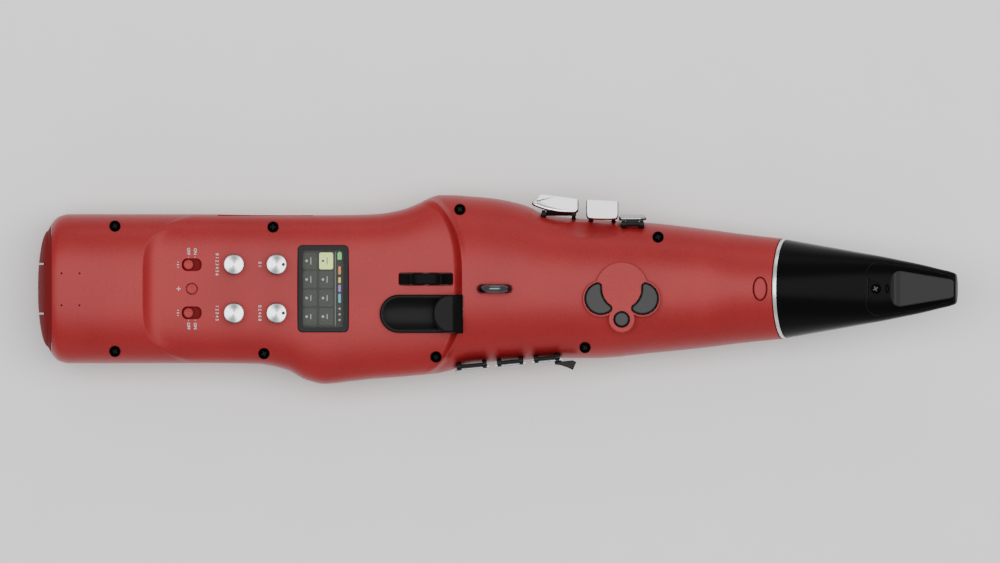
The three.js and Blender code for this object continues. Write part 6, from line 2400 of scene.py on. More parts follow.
def drawn_over(outline: Outline, widths: np.ndarray, low: float, high: float, drop: float) -> Skin:
    """Raises an outline into a plate whose upper edge rolls over by a width of its own at each corner.

    Args:
        outline: The plate's outline, counter-clockwise.
        widths: How far the upper edge is drawn in at each corner.
        low: Height of its underside.
        high: Height of its top.
        drop: How far the rolled edge falls.

    Returns:
        The plate.
    """
    ways = inset(outline, 1.0) - outline
    levels = [(0.0, low)]
    for turn in np.linspace(0.0, math.pi / 2, 7):
        levels.append((1.0 - math.cos(turn), high - drop * (1.0 - math.sin(turn))))
    rings = []
    for share, height in levels:
        flat = outline + ways * (share * widths)[:, None]
        rings.append(np.column_stack([flat, np.full(len(flat), height)]))
    return loft(rings)


@dataclass
class PalmKeys:
    """Three metal palm keys on their black bracket."""

    tail_x: float = TAIL_X
    length: float = BODY_LENGTH
    half_width: float = BODY_HALF_WIDTH
    height: float = BODY_HEIGHT
    rail_across: float = 33.0
    rail_foot: float = 41.0
    scoop: tuple[float, float, float, float] = (64.2, 39.5, 55.0, 2.6)
    scoop_tilt: float = math.radians(49.0)
    scoop_radius: float = 50.0
    plate_skin: float = 1.25
    roll: float = 0.85
    shares: tuple = (
        (0.667, 0.719, 1.2741, 0.713, 1.056, 0.797, 1.002, 0.725),
        (0.731, 0.773, 1.158, 0.765, 0.945, 0.838, 0.953, 0.757),
        (0.7755, 0.811, 1.0, 0.64, 0.955, 0.79, 0.868, 0.809),
    )

    def levers(self) -> list[Lever]:
        """Returns the three keys."""
        wide, high = self.half_width, self.height
        return [
            Lever(
                self.tail_x + a * self.length, self.tail_x + b * self.length, (oy * wide, oz * high),
                (iy * wide, iz * high), (py * wide, pz * high),
            )
            for a, b, oy, oz, iy, iz, py, pz in self.shares
        ]

    def rail(self) -> Rail:
        """Returns the rail that carries the keys."""
        return Rail(1.0, self.rail_across, self.rail_foot)

    def openings(self) -> list[Skin]:
        """Returns the tools for the fins' slots and for the scoop beside the middle key."""
        x, y, z, deep = self.scoop
        tilt = Matrix.Rotation(-self.scoop_tilt, 4, "X")
        reach = tilt @ Vector((0.0, 0.0, self.scoop_radius - deep))
        turns = np.linspace(0.05, math.pi - 0.05, 40)
        bowl = turned([(math.sin(turn), -math.cos(turn)) for turn in turns], 96)
        size = Matrix.Diagonal((1.4 * self.scoop_radius, self.scoop_radius, self.scoop_radius, 1.0))
        place = Matrix.Translation(Vector((x, y, z)) + reach) @ tilt @ size
        return [*self.rail().slots(self.levers()), bowl.moved(place)]

    def outlines(self) -> list[tuple[Outline, np.ndarray]]:
        """Returns each plate's outline from its own start, with how far each corner's edge rolls over."""
        first, second, third = self.levers()
        span, reach = third.end - third.start, third.reach()
        return [
            (
                np.array([
                    [0.3, 0.05], [12.0, 1.8], [23.2, 3.6], [23.8, 4.3], [23.8, 11.7], [22.2, 13.1],
                    [12.7, 12.6], [4.0, 10.7], [-3.4, 7.6], [-4.4, 6.4], [-4.1, 5.5],
                ]),
                np.array([0.5, 0.3, 0.3, 0.3, 0.3, 0.6, 1.6, 2.6, 3.6, 2.8, 2.2]),
            ),
            (
                np.array([
                    [0.3, -2.2], [second.end - second.start - 0.4, -1.0], [second.end - second.start, -0.5],
                    [second.end - second.start, second.reach() + 0.4], [0.0, second.reach()], [0.0, -1.8],
                ]),
                np.full(6, 0.35),
            ),
            (
                np.array([
                    [0.0, 0.4], [0.6, 0.0], [span - 2.4, 0.6], [span - 0.4, 2.2], [span, reach - 3.4],
                    [span - 2.6, reach], [0.0, reach],
                ]),
                np.full(7, 0.7),
            ),
        ]

    def build(self, shop: Workshop) -> None:
        """Makes and places the keys."""
        palette = shop.palette
        for number, (lever, (outline, widths)) in enumerate(zip(self.levers(), self.outlines()), 1):
            face = lever.face(1.0)
            local = outline + [lever.start, 0.0]
            if face[0][0] < 0.0:
                local[:, 0] *= -1.0
                local, widths = local[::-1].copy(), widths[::-1]
            local, widths = self.softened(local, widths)
            skin = self.plate_skin
            plate = drawn_over(local, widths, -skin, 0.0, self.roll)
            body = f"palm_key_{number}"
            shop.place(
                f"palm_plate_{number}", plate.moved(face), body, Slot.KEY_CHROME,
                palette.key if number == 3 else palette.palm, [body],
                KEY_SHARP_ANGLE,
            )
            middle = local.mean(axis=0)
            wider = middle + (local - middle) * [1.0 + 0.9 / (lever.end - lever.start), 1.0]
            base = prism(wider, -lever.plate, -skin - 0.02)
            shop.place(f"palm_base_{number}", base.moved(face), body, Slot.BLACK_SATIN, palette.lining)
            shop.place(
                f"palm_carrier_{number}", joined(*lever.carrier(1.0)), body, Slot.BLACK_SATIN, palette.satin
            )
        bracket = self.rail().bracket(self.levers())
        shop.place(
            "palm_key_rail", bracket, Body.HOUSING, Slot.BLACK_SATIN, palette.satin, ["palm_key_bracket"]
        )

    @staticmethod
    def softened(outline: Outline, widths: np.ndarray, share: float = 0.1) -> tuple[Outline, np.ndarray]:
        """Rounds an outline's corners.

        Args:
            outline: The outline.
            widths: A width for each corner, which is carried along.
            share: How much of each edge the rounding takes.

        Returns:
            The softened outline and its widths.
        """
        for _ in range(3):
            ahead, wider = np.roll(outline, -1, axis=0), np.roll(widths, -1)
            near, far = outline * (1 - share) + ahead * share, outline * share + ahead * (1 - share)
            near_width = widths * (1 - share) + wider * share
            far_width = widths * share + wider * (1 - share)
            outline = np.column_stack([near, far]).reshape(-1, 2)
            widths = np.column_stack([near_width, far_width]).reshape(-1)
            share = 0.25
        return outline, widths


@dataclass
class SideKeys:
    """Three metal side keys in a slanting line, the last one with a black flared end."""

    x: float = -26.6
    y: float = -53.6
    angle: float = math.radians(5.5)
    line: float = 67.0
    plate_height: float = 15.0
    lean: float = 2.2
    top: float = 53.6
    pin_reach: float = 4.6
    pin_height: float = 56.2
    rail_across: float = -15.0
    rail_foot: float = 43.0
    end_length: float = 9.0
    end_reach: float = 4.3
    end_depth: float = 5.0
    plate_skin: float = 1.5
    lift: float = 0.9
    shares: tuple = ((0.0, 0.319), (0.379, 0.66), (0.725, 1.0))
    flare_shares: tuple = (
        (-0.5, -0.05), (-0.1, 0.14), (0.35, 0.55), (0.7, 1.0), (1.0, -0.1), (0.78, -0.42), (-0.1, -0.42),
        (-0.5, -0.38),
    )

    def frame(self) -> Matrix:
        """Returns the frame of the slanting line."""
        return Matrix.Translation((self.x, self.y, 0.0)) @ Matrix.Rotation(self.angle, 4, "Z")

    def levers(self) -> list[Lever]:
        """Returns the three keys along the slanting line."""
        outer, inner = (0.0, self.top - self.plate_height), (-self.lean, self.top)
        pin = (-self.pin_reach, self.pin_height)
        return [Lever(start * self.line, end * self.line, outer, inner, pin) for start, end in self.shares]

    def rail(self) -> Rail:
        """Returns the rail that carries the keys."""
        return Rail(-1.0, self.rail_across, self.rail_foot)

    def openings(self) -> list[Skin]:
        """Returns the tools for the fins' slots in the casing."""
        frame = self.frame()
        return [tool.moved(frame) for tool in self.rail().slots(self.levers())]

    def build(self, shop: Workshop) -> None:
        """Makes and places the keys."""
        palette = shop.palette
        frame = self.frame()
        for number, lever in enumerate(self.levers(), 1):
            reach = lever.reach()
            low, high, foot = lever.start, lever.end, self.lift
            outline = np.array([
                [low, foot + 0.8], [low + 0.8, foot], [high - 0.8, foot], [high, foot + 0.8], [high, reach],
                [low, reach],
            ])
            if number == 1:
                outline = np.array([
                    [low, foot + 0.6], [low + 0.6, foot], [high - 0.8, foot], [high, foot + 0.8],
                    [high, reach], [low + 4.6, reach], [low + 2.6, reach - 0.5], [low + 1.0, reach - 2.6],
                    [low, reach - 7.0],
                ])
            face = lever.face(-1.0)
            local = outline.copy()
            if face[0][0] < 0.0:
                local[:, 0] *= -1.0
            plate = prism(local, -self.plate_skin, 0.0, 0.7, 0.2, 6).moved(face)
            body = f"side_key_{number}"
            shop.place(
                f"side_plate_{number}", plate.moved(frame), body, Slot.KEY_CHROME, palette.key, [body],
                KEY_SHARP_ANGLE,
            )
            carrier = joined(*lever.carrier(-1.0)).moved(frame)
            shop.place(f"side_carrier_{number}", carrier, body, Slot.BLACK_SATIN, palette.satin)
        flare = np.array([
            [self.line + along * self.end_length, -outward * self.end_reach]
            for along, outward in self.flare_shares
        ])
        fin = prism(flare, self.top - self.end_depth, self.top - FIT, 0.5, 0.3, 4).moved(frame)
        shop.place("side_key_flare", fin, "side_key_3", Slot.BLACK_SATIN, palette.satin)
        bracket = self.rail().bracket(self.levers()).moved(frame)
        shop.place(
            "side_key_rail", bracket, Body.HOUSING, Slot.BLACK_SATIN, palette.satin, ["side_key_bracket"]
        )


@dataclass
class FrontKeys:
    """The touch cups and paddles under the instrument, on their two rods."""

    disc_radius: float = 10.5
    thickness: float = 2.2
    face: float = 2.0
    rod_y: float = 16.6
    rod_z: float = 5.0
    rod_radius: float = 1.4
    barrel_radius: float = 2.4
    barrel_length: float = 9.0
    barrel_edge: float = 0.3
    play: float = 0.35
    arm_width: float = 6.0
    disc_y: float = -2.0
    cup_radius: float = 8.2
    cup_depth: float = 0.7
    pitch: float = 24.0
    left_start: float = 112.0
    right_start: float = -18.0
    pinkies: tuple[float, float] = (22.0, -102.0)
    pinky: tuple[float, float, float, float] = (26.0, 18.0, 5.0, -5.0)
    bed: tuple[float, float, float, float] = KEY_BED
    rods: tuple = (("left_key_rod", 3.0, 131.0, 45.0), ("right_key_rod", -121.0, -3.0, -84.5))
    post_width: float = 3.0

    def posts(self) -> list[Skin]:
        """Returns the posts that hold the rods."""
        skins = []
        for _, start, end, middle in self.rods:
            for x in (start, middle, end - self.post_width):
                skins.append(block(
                    (x, self.rod_y - self.barrel_radius, self.rod_z - self.barrel_radius),
                    (x + self.post_width, self.bed[2] + FIT, self.bed[3] + FIT),
                ))
        return skins

    def rod_bores(self) -> list[Skin]:
        """Returns the tools that bore the posts for the rods."""
        inset_by = self.post_width / 3
        return [
            rod((start + inset_by, self.rod_y, self.rod_z), (end - inset_by, self.rod_y, self.rod_z),
                self.rod_radius + FIT, 28)
            for _, start, end, _ in self.rods
        ]

    def touch(self, x: float) -> Skin:
        """Returns a round touch with its shallow, softly edged cup."""
        low, high, radius = self.face, self.face + self.thickness, self.disc_radius
        profile = [(0.05, low + self.cup_depth), (self.cup_radius - 1.2, low + self.cup_depth * 0.92)]
        profile += [
            (self.cup_radius - 1.2 + 1.2 * math.sin(turn), low + self.cup_depth * (0.92 * math.cos(turn)))
            for turn in np.linspace(0.2, math.pi / 2 - 0.1, 7)
        ]
        profile += [
            (radius - 0.8 + 0.8 * math.sin(turn), low + 0.8 - 0.8 * math.cos(turn))
            for turn in np.linspace(0.1, math.pi / 2, 7)
        ]
        profile += [(radius, high - 0.3), (radius - 0.3, high), (0.05, high)]
        return turned(profile, 96).moved(Matrix.Translation((x, self.disc_y, 0.0)))

    def paddle(self, x: float) -> Skin:
        """Returns a little finger's paddle."""
        length, width, corner, y = self.pinky
        low, high = self.face, self.face + self.thickness
        return prism(rounded_box(x, y, length, width, corner, 14), low, high, 0.3, 0.8, 6)

    def finished(self, x: float, touch: Skin) -> Skin:
        """Joins a touch to its arm and barrel and bores it for the rod."""
        middle = self.face + self.thickness
        arm = block(
            (x - self.arm_width / 2, self.disc_y, middle - self.thickness / 2),
            (x + self.arm_width / 2, self.rod_y, middle + self.thickness / 2), 0.6,
        )
        half, radius, edge = self.barrel_length / 2, self.barrel_radius, self.barrel_edge
        place = Matrix.Translation((x, self.rod_y, self.rod_z)) @ Matrix.Rotation(math.pi / 2, 4, "Y")
        barrel = turned([
            (radius - edge, -half), (radius, -half + edge), (radius, half - edge), (radius - edge, half),
        ], 36).moved(place)
        low, high = x - self.barrel_length, x + self.barrel_length
        bore = rod(
            (low, self.rod_y, self.rod_z), (high, self.rod_y, self.rod_z), self.rod_radius + self.play, 28
        )
        return shaped(touch, [(Act.JOIN, arm), (Act.JOIN, barrel), (Act.CUT, bore)])

    def build(self, shop: Workshop) -> None:
        """Makes and places the keys and their rods."""
        palette = shop.palette
        keys = []
        for number in range(3):
            keys.append((f"left_key_{number + 1}", self.left_start - number * self.pitch, True))
            keys.append((f"right_key_{number + 1}", self.right_start - number * self.pitch, True))
        keys.append(("left_pinky_key", self.pinkies[0], False))
        keys.append(("right_pinky_key", self.pinkies[1], False))
        for name, x, is_round in keys:
            skin = self.finished(x, self.touch(x) if is_round else self.paddle(x))
            shop.place(f"{name}_touch", skin, name, Slot.KEY_SILVER, palette.key, [name])
        for name, start, end, _ in self.rods:
            inset_by = self.post_width / 3 + FIT
            bar = rod(
                (start + inset_by, self.rod_y, self.rod_z), (end - inset_by, self.rod_y, self.rod_z),
                self.rod_radius, 32,
            )
            shop.place(f"{name}_bar", bar, Body.HOUSING, Slot.STEEL, palette.steel, [name])


@dataclass
class Neck:
    """The silver trim ring, the mouthpiece's tenon and its seal, drawn along the tilted neck."""

    half_width: float = 31.242
    half_height: float = 24.971
    trim_half: float = 1.3
    trim_wall: float = 6.0
    trim_edge: float = 0.45
    flange_thickness: float = 4.0
    flange_margin: float = 4.2
    tenon_radius: float = 13.0
    tenon_length: float = 26.0
    tenon_tail: float = 6.0
    bore: float = 5.0
    seal_width: float = 2.4
    seal_depth: float = 1.2
    seal_inset: float = 5.0

    def slice(self, along: float, drawn_in: float, sides: int = 144) -> np.ndarray:
        """Returns the neck's oval at a place along its axis, drawn in by a distance."""
        flat = oval(0.0, 0.0, 2 * (self.half_width - drawn_in), 2 * (self.half_height - drawn_in), sides)
        return np.column_stack([np.full(sides, along), flat])

    def build(self, shop: Workshop, frame: Matrix) -> None:
        """Makes and places the neck's pieces.

        Args:
            shop: Where pieces are placed.
            frame: The neck's frame.
        """
        half, edge = self.trim_half, self.trim_edge
        band = loft([
            self.slice(-half, edge), self.slice(-half + 0.3 * edge, 0.3 * edge),
            self.slice(-half + edge, 0.0), self.slice(half - edge, 0.0),
            self.slice(half - 0.3 * edge, 0.3 * edge), self.slice(half, edge),
        ])
        hole = loft([self.slice(-OVERRUN, self.trim_wall), self.slice(OVERRUN, self.trim_wall)])
        shop.place(
            "neck_trim_band", cut(band, hole).moved(frame), Body.HOUSING, Slot.RING_SILVER,
            shop.palette.ring, ["trim_ring"],
        )
        flange_front = -half - FIT
        flange_back = flange_front - self.flange_thickness
        tail = flange_back - self.tenon_tail
        radius, end = self.tenon_radius, self.tenon_length
        seal_front = end - self.seal_inset
        seal_back = seal_front - self.seal_width
        groove = radius - self.seal_depth
        upright = Matrix.Rotation(math.pi / 2, 4, "Y")
        tenon = turned([
            (radius - 0.4, tail), (radius, tail + 0.4), (radius, seal_back), (groove, seal_back),
            (groove, seal_front), (radius, seal_front), (radius, end - 0.9), (radius - 0.9, end),
        ], 96).moved(upright)
        flange = loft([self.slice(along, self.flange_margin) for along in (flange_back, flange_front)])
        bore = turned([(self.bore, tail - OVERRUN), (self.bore, end + OVERRUN)], 48).moved(upright)
        tenon = shaped(tenon, [(Act.JOIN, flange), (Act.CUT, bore)])
        shop.place(
            "neck_tenon", tenon.moved(frame), Body.HOUSING, Slot.BLACK_SATIN, shop.palette.satin,
            ["neck_socket"],
        )
        middle = (seal_back + seal_front) / 2
        thick = self.seal_width / 2 - FIT
        outer = turned([
            (radius + FIT / 2 - 0.5 * (1.0 - math.cos(turn)), middle + thick * math.sin(turn))
            for turn in np.linspace(-math.pi / 2, math.pi / 2, 11)
        ], 96)
        inner = turned([(groove + FIT, seal_back), (groove + FIT, seal_front)], 96)
        seal = cut(outer, inner).moved(frame @ upright)
        shop.place(
            "neck_ring_seal", seal, Body.HOUSING, Slot.BLACK_SATIN, shop.palette.lining, ["neck_seal"]
        )


@dataclass
class Mouthpiece:
    """The black mouthpiece with its beak insert, reed and screw, drawn along the tilted neck."""

    length: float = 111.81
    start: float = 1.6
    shoulder: float = 28.5
    hole_radius: float = 13.3
    airway: float = 3.2
    beak_start: float = 56.4
    beak_end: float = 110.8
    beak_margin: float = 2.4
    beak_floor: float = -1.0
    heel: float = 16.5
    heel_round: float = 7.0
    air_slot: tuple[float, float] = (9.0, 2.2)
    reed_start: float = 72.6
    reed_end: float = 110.9
    reed_heel: float = 11.1
    reed_corner: float = 6.0
    reed_tip: float = 5.7
    reed_thickness: float = 1.6
    reed_heel_height: float = 13.4
    reed_tip_height: float = 5.6
    reed_pad: float = 1.1
    reed_ramp: tuple[float, float] = (74.6, 79.8)
    screw_along: float = 62.4
    screw_seat: float = 10.9
    screw_length: float = 11.0
    screw_radius: float = 3.0
    screw_head: float = 1.8
    cross: tuple[float, float] = (1.8, 0.45)
    cross_depth: float = 0.7
    shank: float = 1.3
    pocket_wide: float = 6.4
    pocket_narrow: float = 4.3
    pocket_end: float = 66.8
    dimple: tuple[float, float, float, float] = (69.4, 1.5, 3.1, 0.75)
    ring_sides: int = 160
    shares: tuple = (
        (0.0, 0.985, 0.985, 0.985), (0.19, 0.872, 0.865, 0.885), (0.31, 0.8, 0.74, 0.76),
        (0.43, 0.726, 0.6, 0.62), (0.55, 0.656, 0.46, 0.5), (0.665, 0.576, 0.35, 0.42),
        (0.78, 0.496, 0.28, 0.31), (0.9, 0.397, 0.21, 0.2), (0.97, 0.336, 0.17, 0.15),
        (0.995, 0.29, 0.15, 0.13), (1.0, 0.2, 0.1, 0.09),
    )

    def __post_init__(self) -> None:
        """Reads the table into curves."""
        along, across, above, below = zip(*self.shares)
        self.across, self.above, self.below = Curve(along, across), Curve(along, above), Curve(along, below)

    def solid(self, neck: Neck) -> Skin:
        """Returns the mouthpiece's whole outer form."""
        stations = np.concatenate([
            np.linspace(0.0, 0.9, 54, endpoint=False), np.linspace(0.9, 0.99, 10, endpoint=False),
            np.linspace(0.99, 1.0, 9),
        ])
        turn = np.linspace(0.0, 2.0 * math.pi, self.ring_sides, endpoint=False)
        rings = []
        for along in stations:
            power = 2.0 / (2.05 + along)
            height = np.where(np.sin(turn) >= 0.0, self.above(along), self.below(along))
            rings.append(np.column_stack([
                np.full(len(turn), self.start + along * (self.length - self.start)),
                powered(np.cos(turn), power) * float(self.across(along)) * neck.half_width,
                powered(np.sin(turn), power) * height * neck.half_height,
            ]))
        return loft(rings)

    def beak_plan(self, neck: Neck, grow: float) -> Outline:
        """Returns the insert's outline seen from above.

        Args:
            neck: The neck that gives the mouthpiece its width.
            grow: How far the outline stands out from the insert.

        Returns:
            The outline.
        """
        heel, corner = self.heel + grow, self.heel_round + grow
        centre = (self.beak_start + self.heel_round, self.heel - self.heel_round)
        bend = arc(centre, corner, math.pi, math.pi / 2, 14)
        places = np.linspace(self.reed_start + self.heel_round, self.beak_end + grow, 12)
        half = self.across(places / self.length) * neck.half_width - self.beak_margin + grow
        side = np.vstack([bend, np.column_stack([places, np.minimum(half, heel)])])
        return np.vstack([side * [1.0, -1.0], side[::-1]])

    def reed_line(self, along: np.ndarray) -> np.ndarray:
        """Returns the height of the reed's sloping face."""
        share = (along - self.reed_start) / (self.reed_end - self.reed_start)
        return self.reed_heel_height + share * (self.reed_tip_height - self.reed_heel_height)

    def reed(self) -> Skin:
        """Returns the reed: a tapered plate with a round, raised heel and soft edges."""
        heel, corner = self.reed_heel, self.reed_corner
        run = np.concatenate([
            corner * (1.0 - np.cos(np.linspace(0.05, math.pi / 2, 26))),
            np.linspace(corner + 0.8, self.reed_end - self.reed_start - 2.0, 30),
            self.reed_end - self.reed_start - 2.0 + 2.0 * np.sin(np.linspace(0.25, 1.4, 6)),
        ])
        rings = []
        for step in run:
            along = self.reed_start + step
            if step < corner:
                half = heel - corner + math.sqrt(corner ** 2 - (corner - step) ** 2)
            else:
                share = (step - corner) / (self.reed_end - self.reed_start - corner)
                half = heel + share * (self.reed_tip - heel)
            past = max(0.0, along - (self.reed_end - 2.0))
            half -= 1.5 - 1.5 * math.sqrt(max(0.0, 1.0 - (past / 2.05) ** 2))
            line = float(self.reed_line(along))
            swell = float(smoothstep(step, -1.0, 3.4)) * (1.0 - float(smoothstep(along, *self.reed_ramp)))
            raised = self.reed_pad * swell
            low, high = line - self.reed_thickness + FIT, line + raised
            flat = rounded_box(0.0, (low + high) / 2, 2 * half, high - low, min(0.5, half * 0.4), 5)
            rings.append(np.column_stack([np.full(len(flat), along), flat]))
        return loft(rings)

    def pocket(self) -> Skin:
        """Returns the tool for the screw's pocket, wide at the seam and round at its far end."""
        narrow = self.pocket_narrow
        centre = (self.pocket_end - narrow, 0.0)
        seam = self.beak_start + 0.8
        nose = arc(centre, narrow, -math.pi / 2 + 0.35, math.pi / 2 - 0.35, 16)
        ends = np.array([[seam, self.pocket_wide], [seam, -self.pocket_wide]])
        plan = np.vstack([nose, ends])
        return prism(plan, self.screw_seat, SKY, 0.0, 0.4, 4)

    def build(self, shop: Workshop, frame: Matrix, neck: Neck) -> None:
        """Makes and places the mouthpiece.

        Args:
            shop: Where pieces are placed.
            frame: The neck's frame.
            neck: The neck that it plugs onto.
        """
        palette = shop.palette
        solid = self.solid(neck)
        upright = Matrix.Rotation(math.pi / 2, 4, "Y")
        hole = turned([
            (self.hole_radius + 0.8, -OVERRUN), (self.hole_radius + 0.8, self.start),
            (self.hole_radius, 2.6), (self.hole_radius, self.shoulder),
        ], 96).moved(upright)
        bend = self.beak_start + self.heel_round
        air = turned([(self.airway, 0.0), (self.airway, bend + self.airway)], 40).moved(upright)
        air = air.moved(Matrix.Translation((0.0, 0.0, self.beak_floor)))
        floor = self.beak_floor
        socket = prism(self.beak_plan(neck, FIT), floor - FIT, SKY)
        bore = prism(
            circle(self.shank + FIT, self.screw_along, 0.0, 32), self.screw_seat - self.screw_length, SKY
        )
        body = cut(solid, hole, air, socket, bore)
        shop.place(
            "mouthpiece_barrel", body.moved(frame), Body.MOUTHPIECE, Slot.BLACK_GLOSS, palette.gloss,
            ["mouthpiece_body"],
        )
        far = 2 * self.length
        start, thin = self.reed_start, self.reed_thickness
        over = np.array([
            [start, float(self.reed_line(start)) - thin], [far, float(self.reed_line(far)) - thin],
            [far, far], [start, far],
        ])
        x, half_x, half_y, deep = self.dimple
        surface = float(self.above((x - self.start) / (self.length - self.start))) * neck.half_height
        lift = 0.35
        size = Matrix.Diagonal((half_x, half_y, deep + lift, 1.0))
        dent = turned([
            (math.sin(turn), -math.cos(turn)) for turn in np.linspace(0.08, math.pi - 0.08, 18)
        ], 48).moved(Matrix.Translation((x, 0.0, surface + lift)) @ size)
        slot_width, slot_height = self.air_slot
        slot = block(
            (bend, -slot_width / 2, floor - FIT), (far, slot_width / 2, floor + slot_height)
        )
        beak = shaped(kept(solid, prism(self.beak_plan(neck, 0.0), floor, SKY)), [
            (Act.CUT, lying(over, -far, far)), (Act.CUT, self.pocket()), (Act.CUT, bore),
            (Act.CUT, slot), (Act.CUT, dent),
        ])
        shop.place(
            "mouthpiece_insert", beak.moved(frame), Body.MOUTHPIECE, Slot.BLACK_GLOSS, palette.gloss,
            ["mouthpiece_beak"],
        )
        reed = self.reed().moved(frame)
        shop.place("reed_plate", reed, Body.MOUTHPIECE, Slot.REED_GREY, palette.reed, ["reed"])
        seat = self.screw_seat + FIT
        top = seat + self.screw_head
        wide = self.screw_radius
        head = turned([
            (self.shank, seat - self.screw_length + FIT), (self.shank, seat), (wide - 0.2, seat),
            (wide, seat + 0.2), (wide, top - 0.8), (wide - 0.4, top - 0.3), (wide - 1.2, top - 0.03),
            (0.1, top),
        ], 64)
        reach, half = self.cross
        slot_floor = top - self.cross_depth
        arms = [
            block((-reach, -half, slot_floor), (reach, half, SKY)),
            block((-half, -reach, slot_floor), (half, reach, SKY)),
        ]
        place = frame @ Matrix.Translation((self.screw_along, 0.0, 0.0)) @ Matrix.Rotation(0.5, 4, "Z")
        shop.place(
            "insert_screw", cut(head, *arms).moved(place), Body.MOUTHPIECE, Slot.STEEL, palette.black_oxide,
            ["beak_screw"],
        )
        shop.place(
            "insert_screw_cross", plus(1.75, 0.42, slot_floor, top - 0.5).moved(place), Body.MOUTHPIECE,
            Slot.STEEL, palette.dark_steel,
        )


def plus(reach: float, half: float, low: float, high: float) -> Skin:
    """Returns a flat cross about the Z axis.

    Args:
        reach: How far its arms go.
        half: Half an arm's width.
        low: Its underside.
        high: Its top.

    Returns:
        The cross.
    """
    corner = [
        [reach, -half], [reach, half], [half, half], [half, reach], [-half, reach], [-half, half],
        [-reach, half], [-reach, -half], [-half, -half], [-half, -reach], [half, -reach], [half, -half],
    ]
    return prism(np.array(corner), low, high)


@dataclass
class SidePorts:
    """The two audio sockets and the data socket behind the flat facet."""

    face: float = PORT_FACE
    wall: float = WALL
    height: float = 43.4
    body_height: float = 10.4
    data: tuple[float, float, float, float] = (-127.0, 9.0, 3.4, 8.0)
    data_shell: float = 0.6
    jacks: tuple = (
        ("line_jack", -164.0, 14.0, 21.0, 5.0, 3.25), ("phones_jack", -150.3, 8.0, 14.0, 3.2, 1.8),
    )

    def across(self) -> Matrix:
        """Returns the turn from upright to pointing out of the facet."""
        return Matrix.Rotation(-math.pi / 2, 4, "X")

    def openings(self) -> list[Skin]:
        """Returns the tools for the sockets' holes in the facet."""
        tools = []
        for _, x, _, _, nose, _ in self.jacks:
            hole, mouth = nose + FIT, nose + FIT + BEVEL
            profile = [(hole, -OVERRUN), (hole, -0.3), (mouth, 0.02), (mouth, OVERRUN)]
            place = Matrix.Translation((x, self.face, self.height)) @ self.across()
            tools.append(turned(profile, 56).moved(place))
        x, length, width, _ = self.data
        plan = rounded_box(x, self.height, length + 2 * FIT, width + 2 * FIT, (width + 2 * FIT) * 0.45, 8)
        tools.append(lying(plan, self.face - OVERRUN, self.face + OVERRUN))
        return tools

    def build(self, shop: Workshop) -> None:
        """Makes and places the sockets."""
        palette = shop.palette
        back = self.face - self.wall - 3 * FIT
        for name, x, width, depth, nose, bore in self.jacks:
            place = Matrix.Translation((x, self.face, self.height)) @ self.across()
            box = block(
                (x - width / 2, back - depth, self.height - self.body_height / 2),
                (x + width / 2, back, self.height + self.body_height / 2),
            )
            collar = turned([
                (nose, back - self.face - FIT), (nose, -0.45), (nose - 0.45, 0.0), (bore * 0.5, 0.0),
            ], 64).moved(place)
            hole = turned([
                (bore, -depth), (bore, -0.6), (bore + 0.6, 0.02), (bore + 0.6, OVERRUN),
            ], 48).moved(place)
            skin = shaped(box, [(Act.JOIN, collar), (Act.CUT, hole)])
            shop.place(f"{name}_socket", skin, Body.HOUSING, Slot.BLACK_SATIN, palette.satin, [name])
            lip = cut(
                turned([(bore - 0.03, -4.6), (bore - 0.03, -1.3)], 48),
                turned([(bore - 0.4, -6.0), (bore - 0.4, 0.0)], 48),
            ).moved(place)
            shop.place(f"{name}_contact", lip, Body.HOUSING, Slot.STEEL, palette.steel)
        x, length, width, depth = self.data
        shell = self.data_shell
        outer = rounded_box(x, self.height, length, width, width * 0.45, 8)
        inner = rounded_box(
            x, self.height, length - 2 * shell, width - 2 * shell, (width - 2 * shell) * 0.45, 8
        )
        case = cut(
            lying(outer, self.face - depth, self.face, 0.12, 3),
            lying(inner, self.face - depth + shell, self.face + OVERRUN),
        )
        shop.place("data_socket_shell", case, Body.HOUSING, Slot.STEEL, palette.steel, ["data_port"])
        tongue = rounded_box(x, self.height, length * 0.68, 0.7, 0.3, 4)
        shop.place(
            "data_socket_tongue", lying(tongue, self.face - depth + shell - 0.05, self.face - 1.4, 0.1, 2),
            Body.HOUSING, Slot.BLACK_SATIN, palette.lining,
        )


@dataclass
class Inside:
    """What the casing hides: boards, cells and the wheel's cradle, which keep their own shapes."""

    def build(self, shop: Workshop) -> None:
        """Dresses the hidden nodes."""
        palette = shop.palette
        shop.dress("panel_board", palette.board)
        shop.dress("main_board", palette.board)
        shop.dress("battery_pack", palette.sleeve)
        shop.dress("screen_module", palette.screen)
        shop.dress("wheel_axle", palette.steel)
        shop.dress("wheel_cradle", palette.satin)


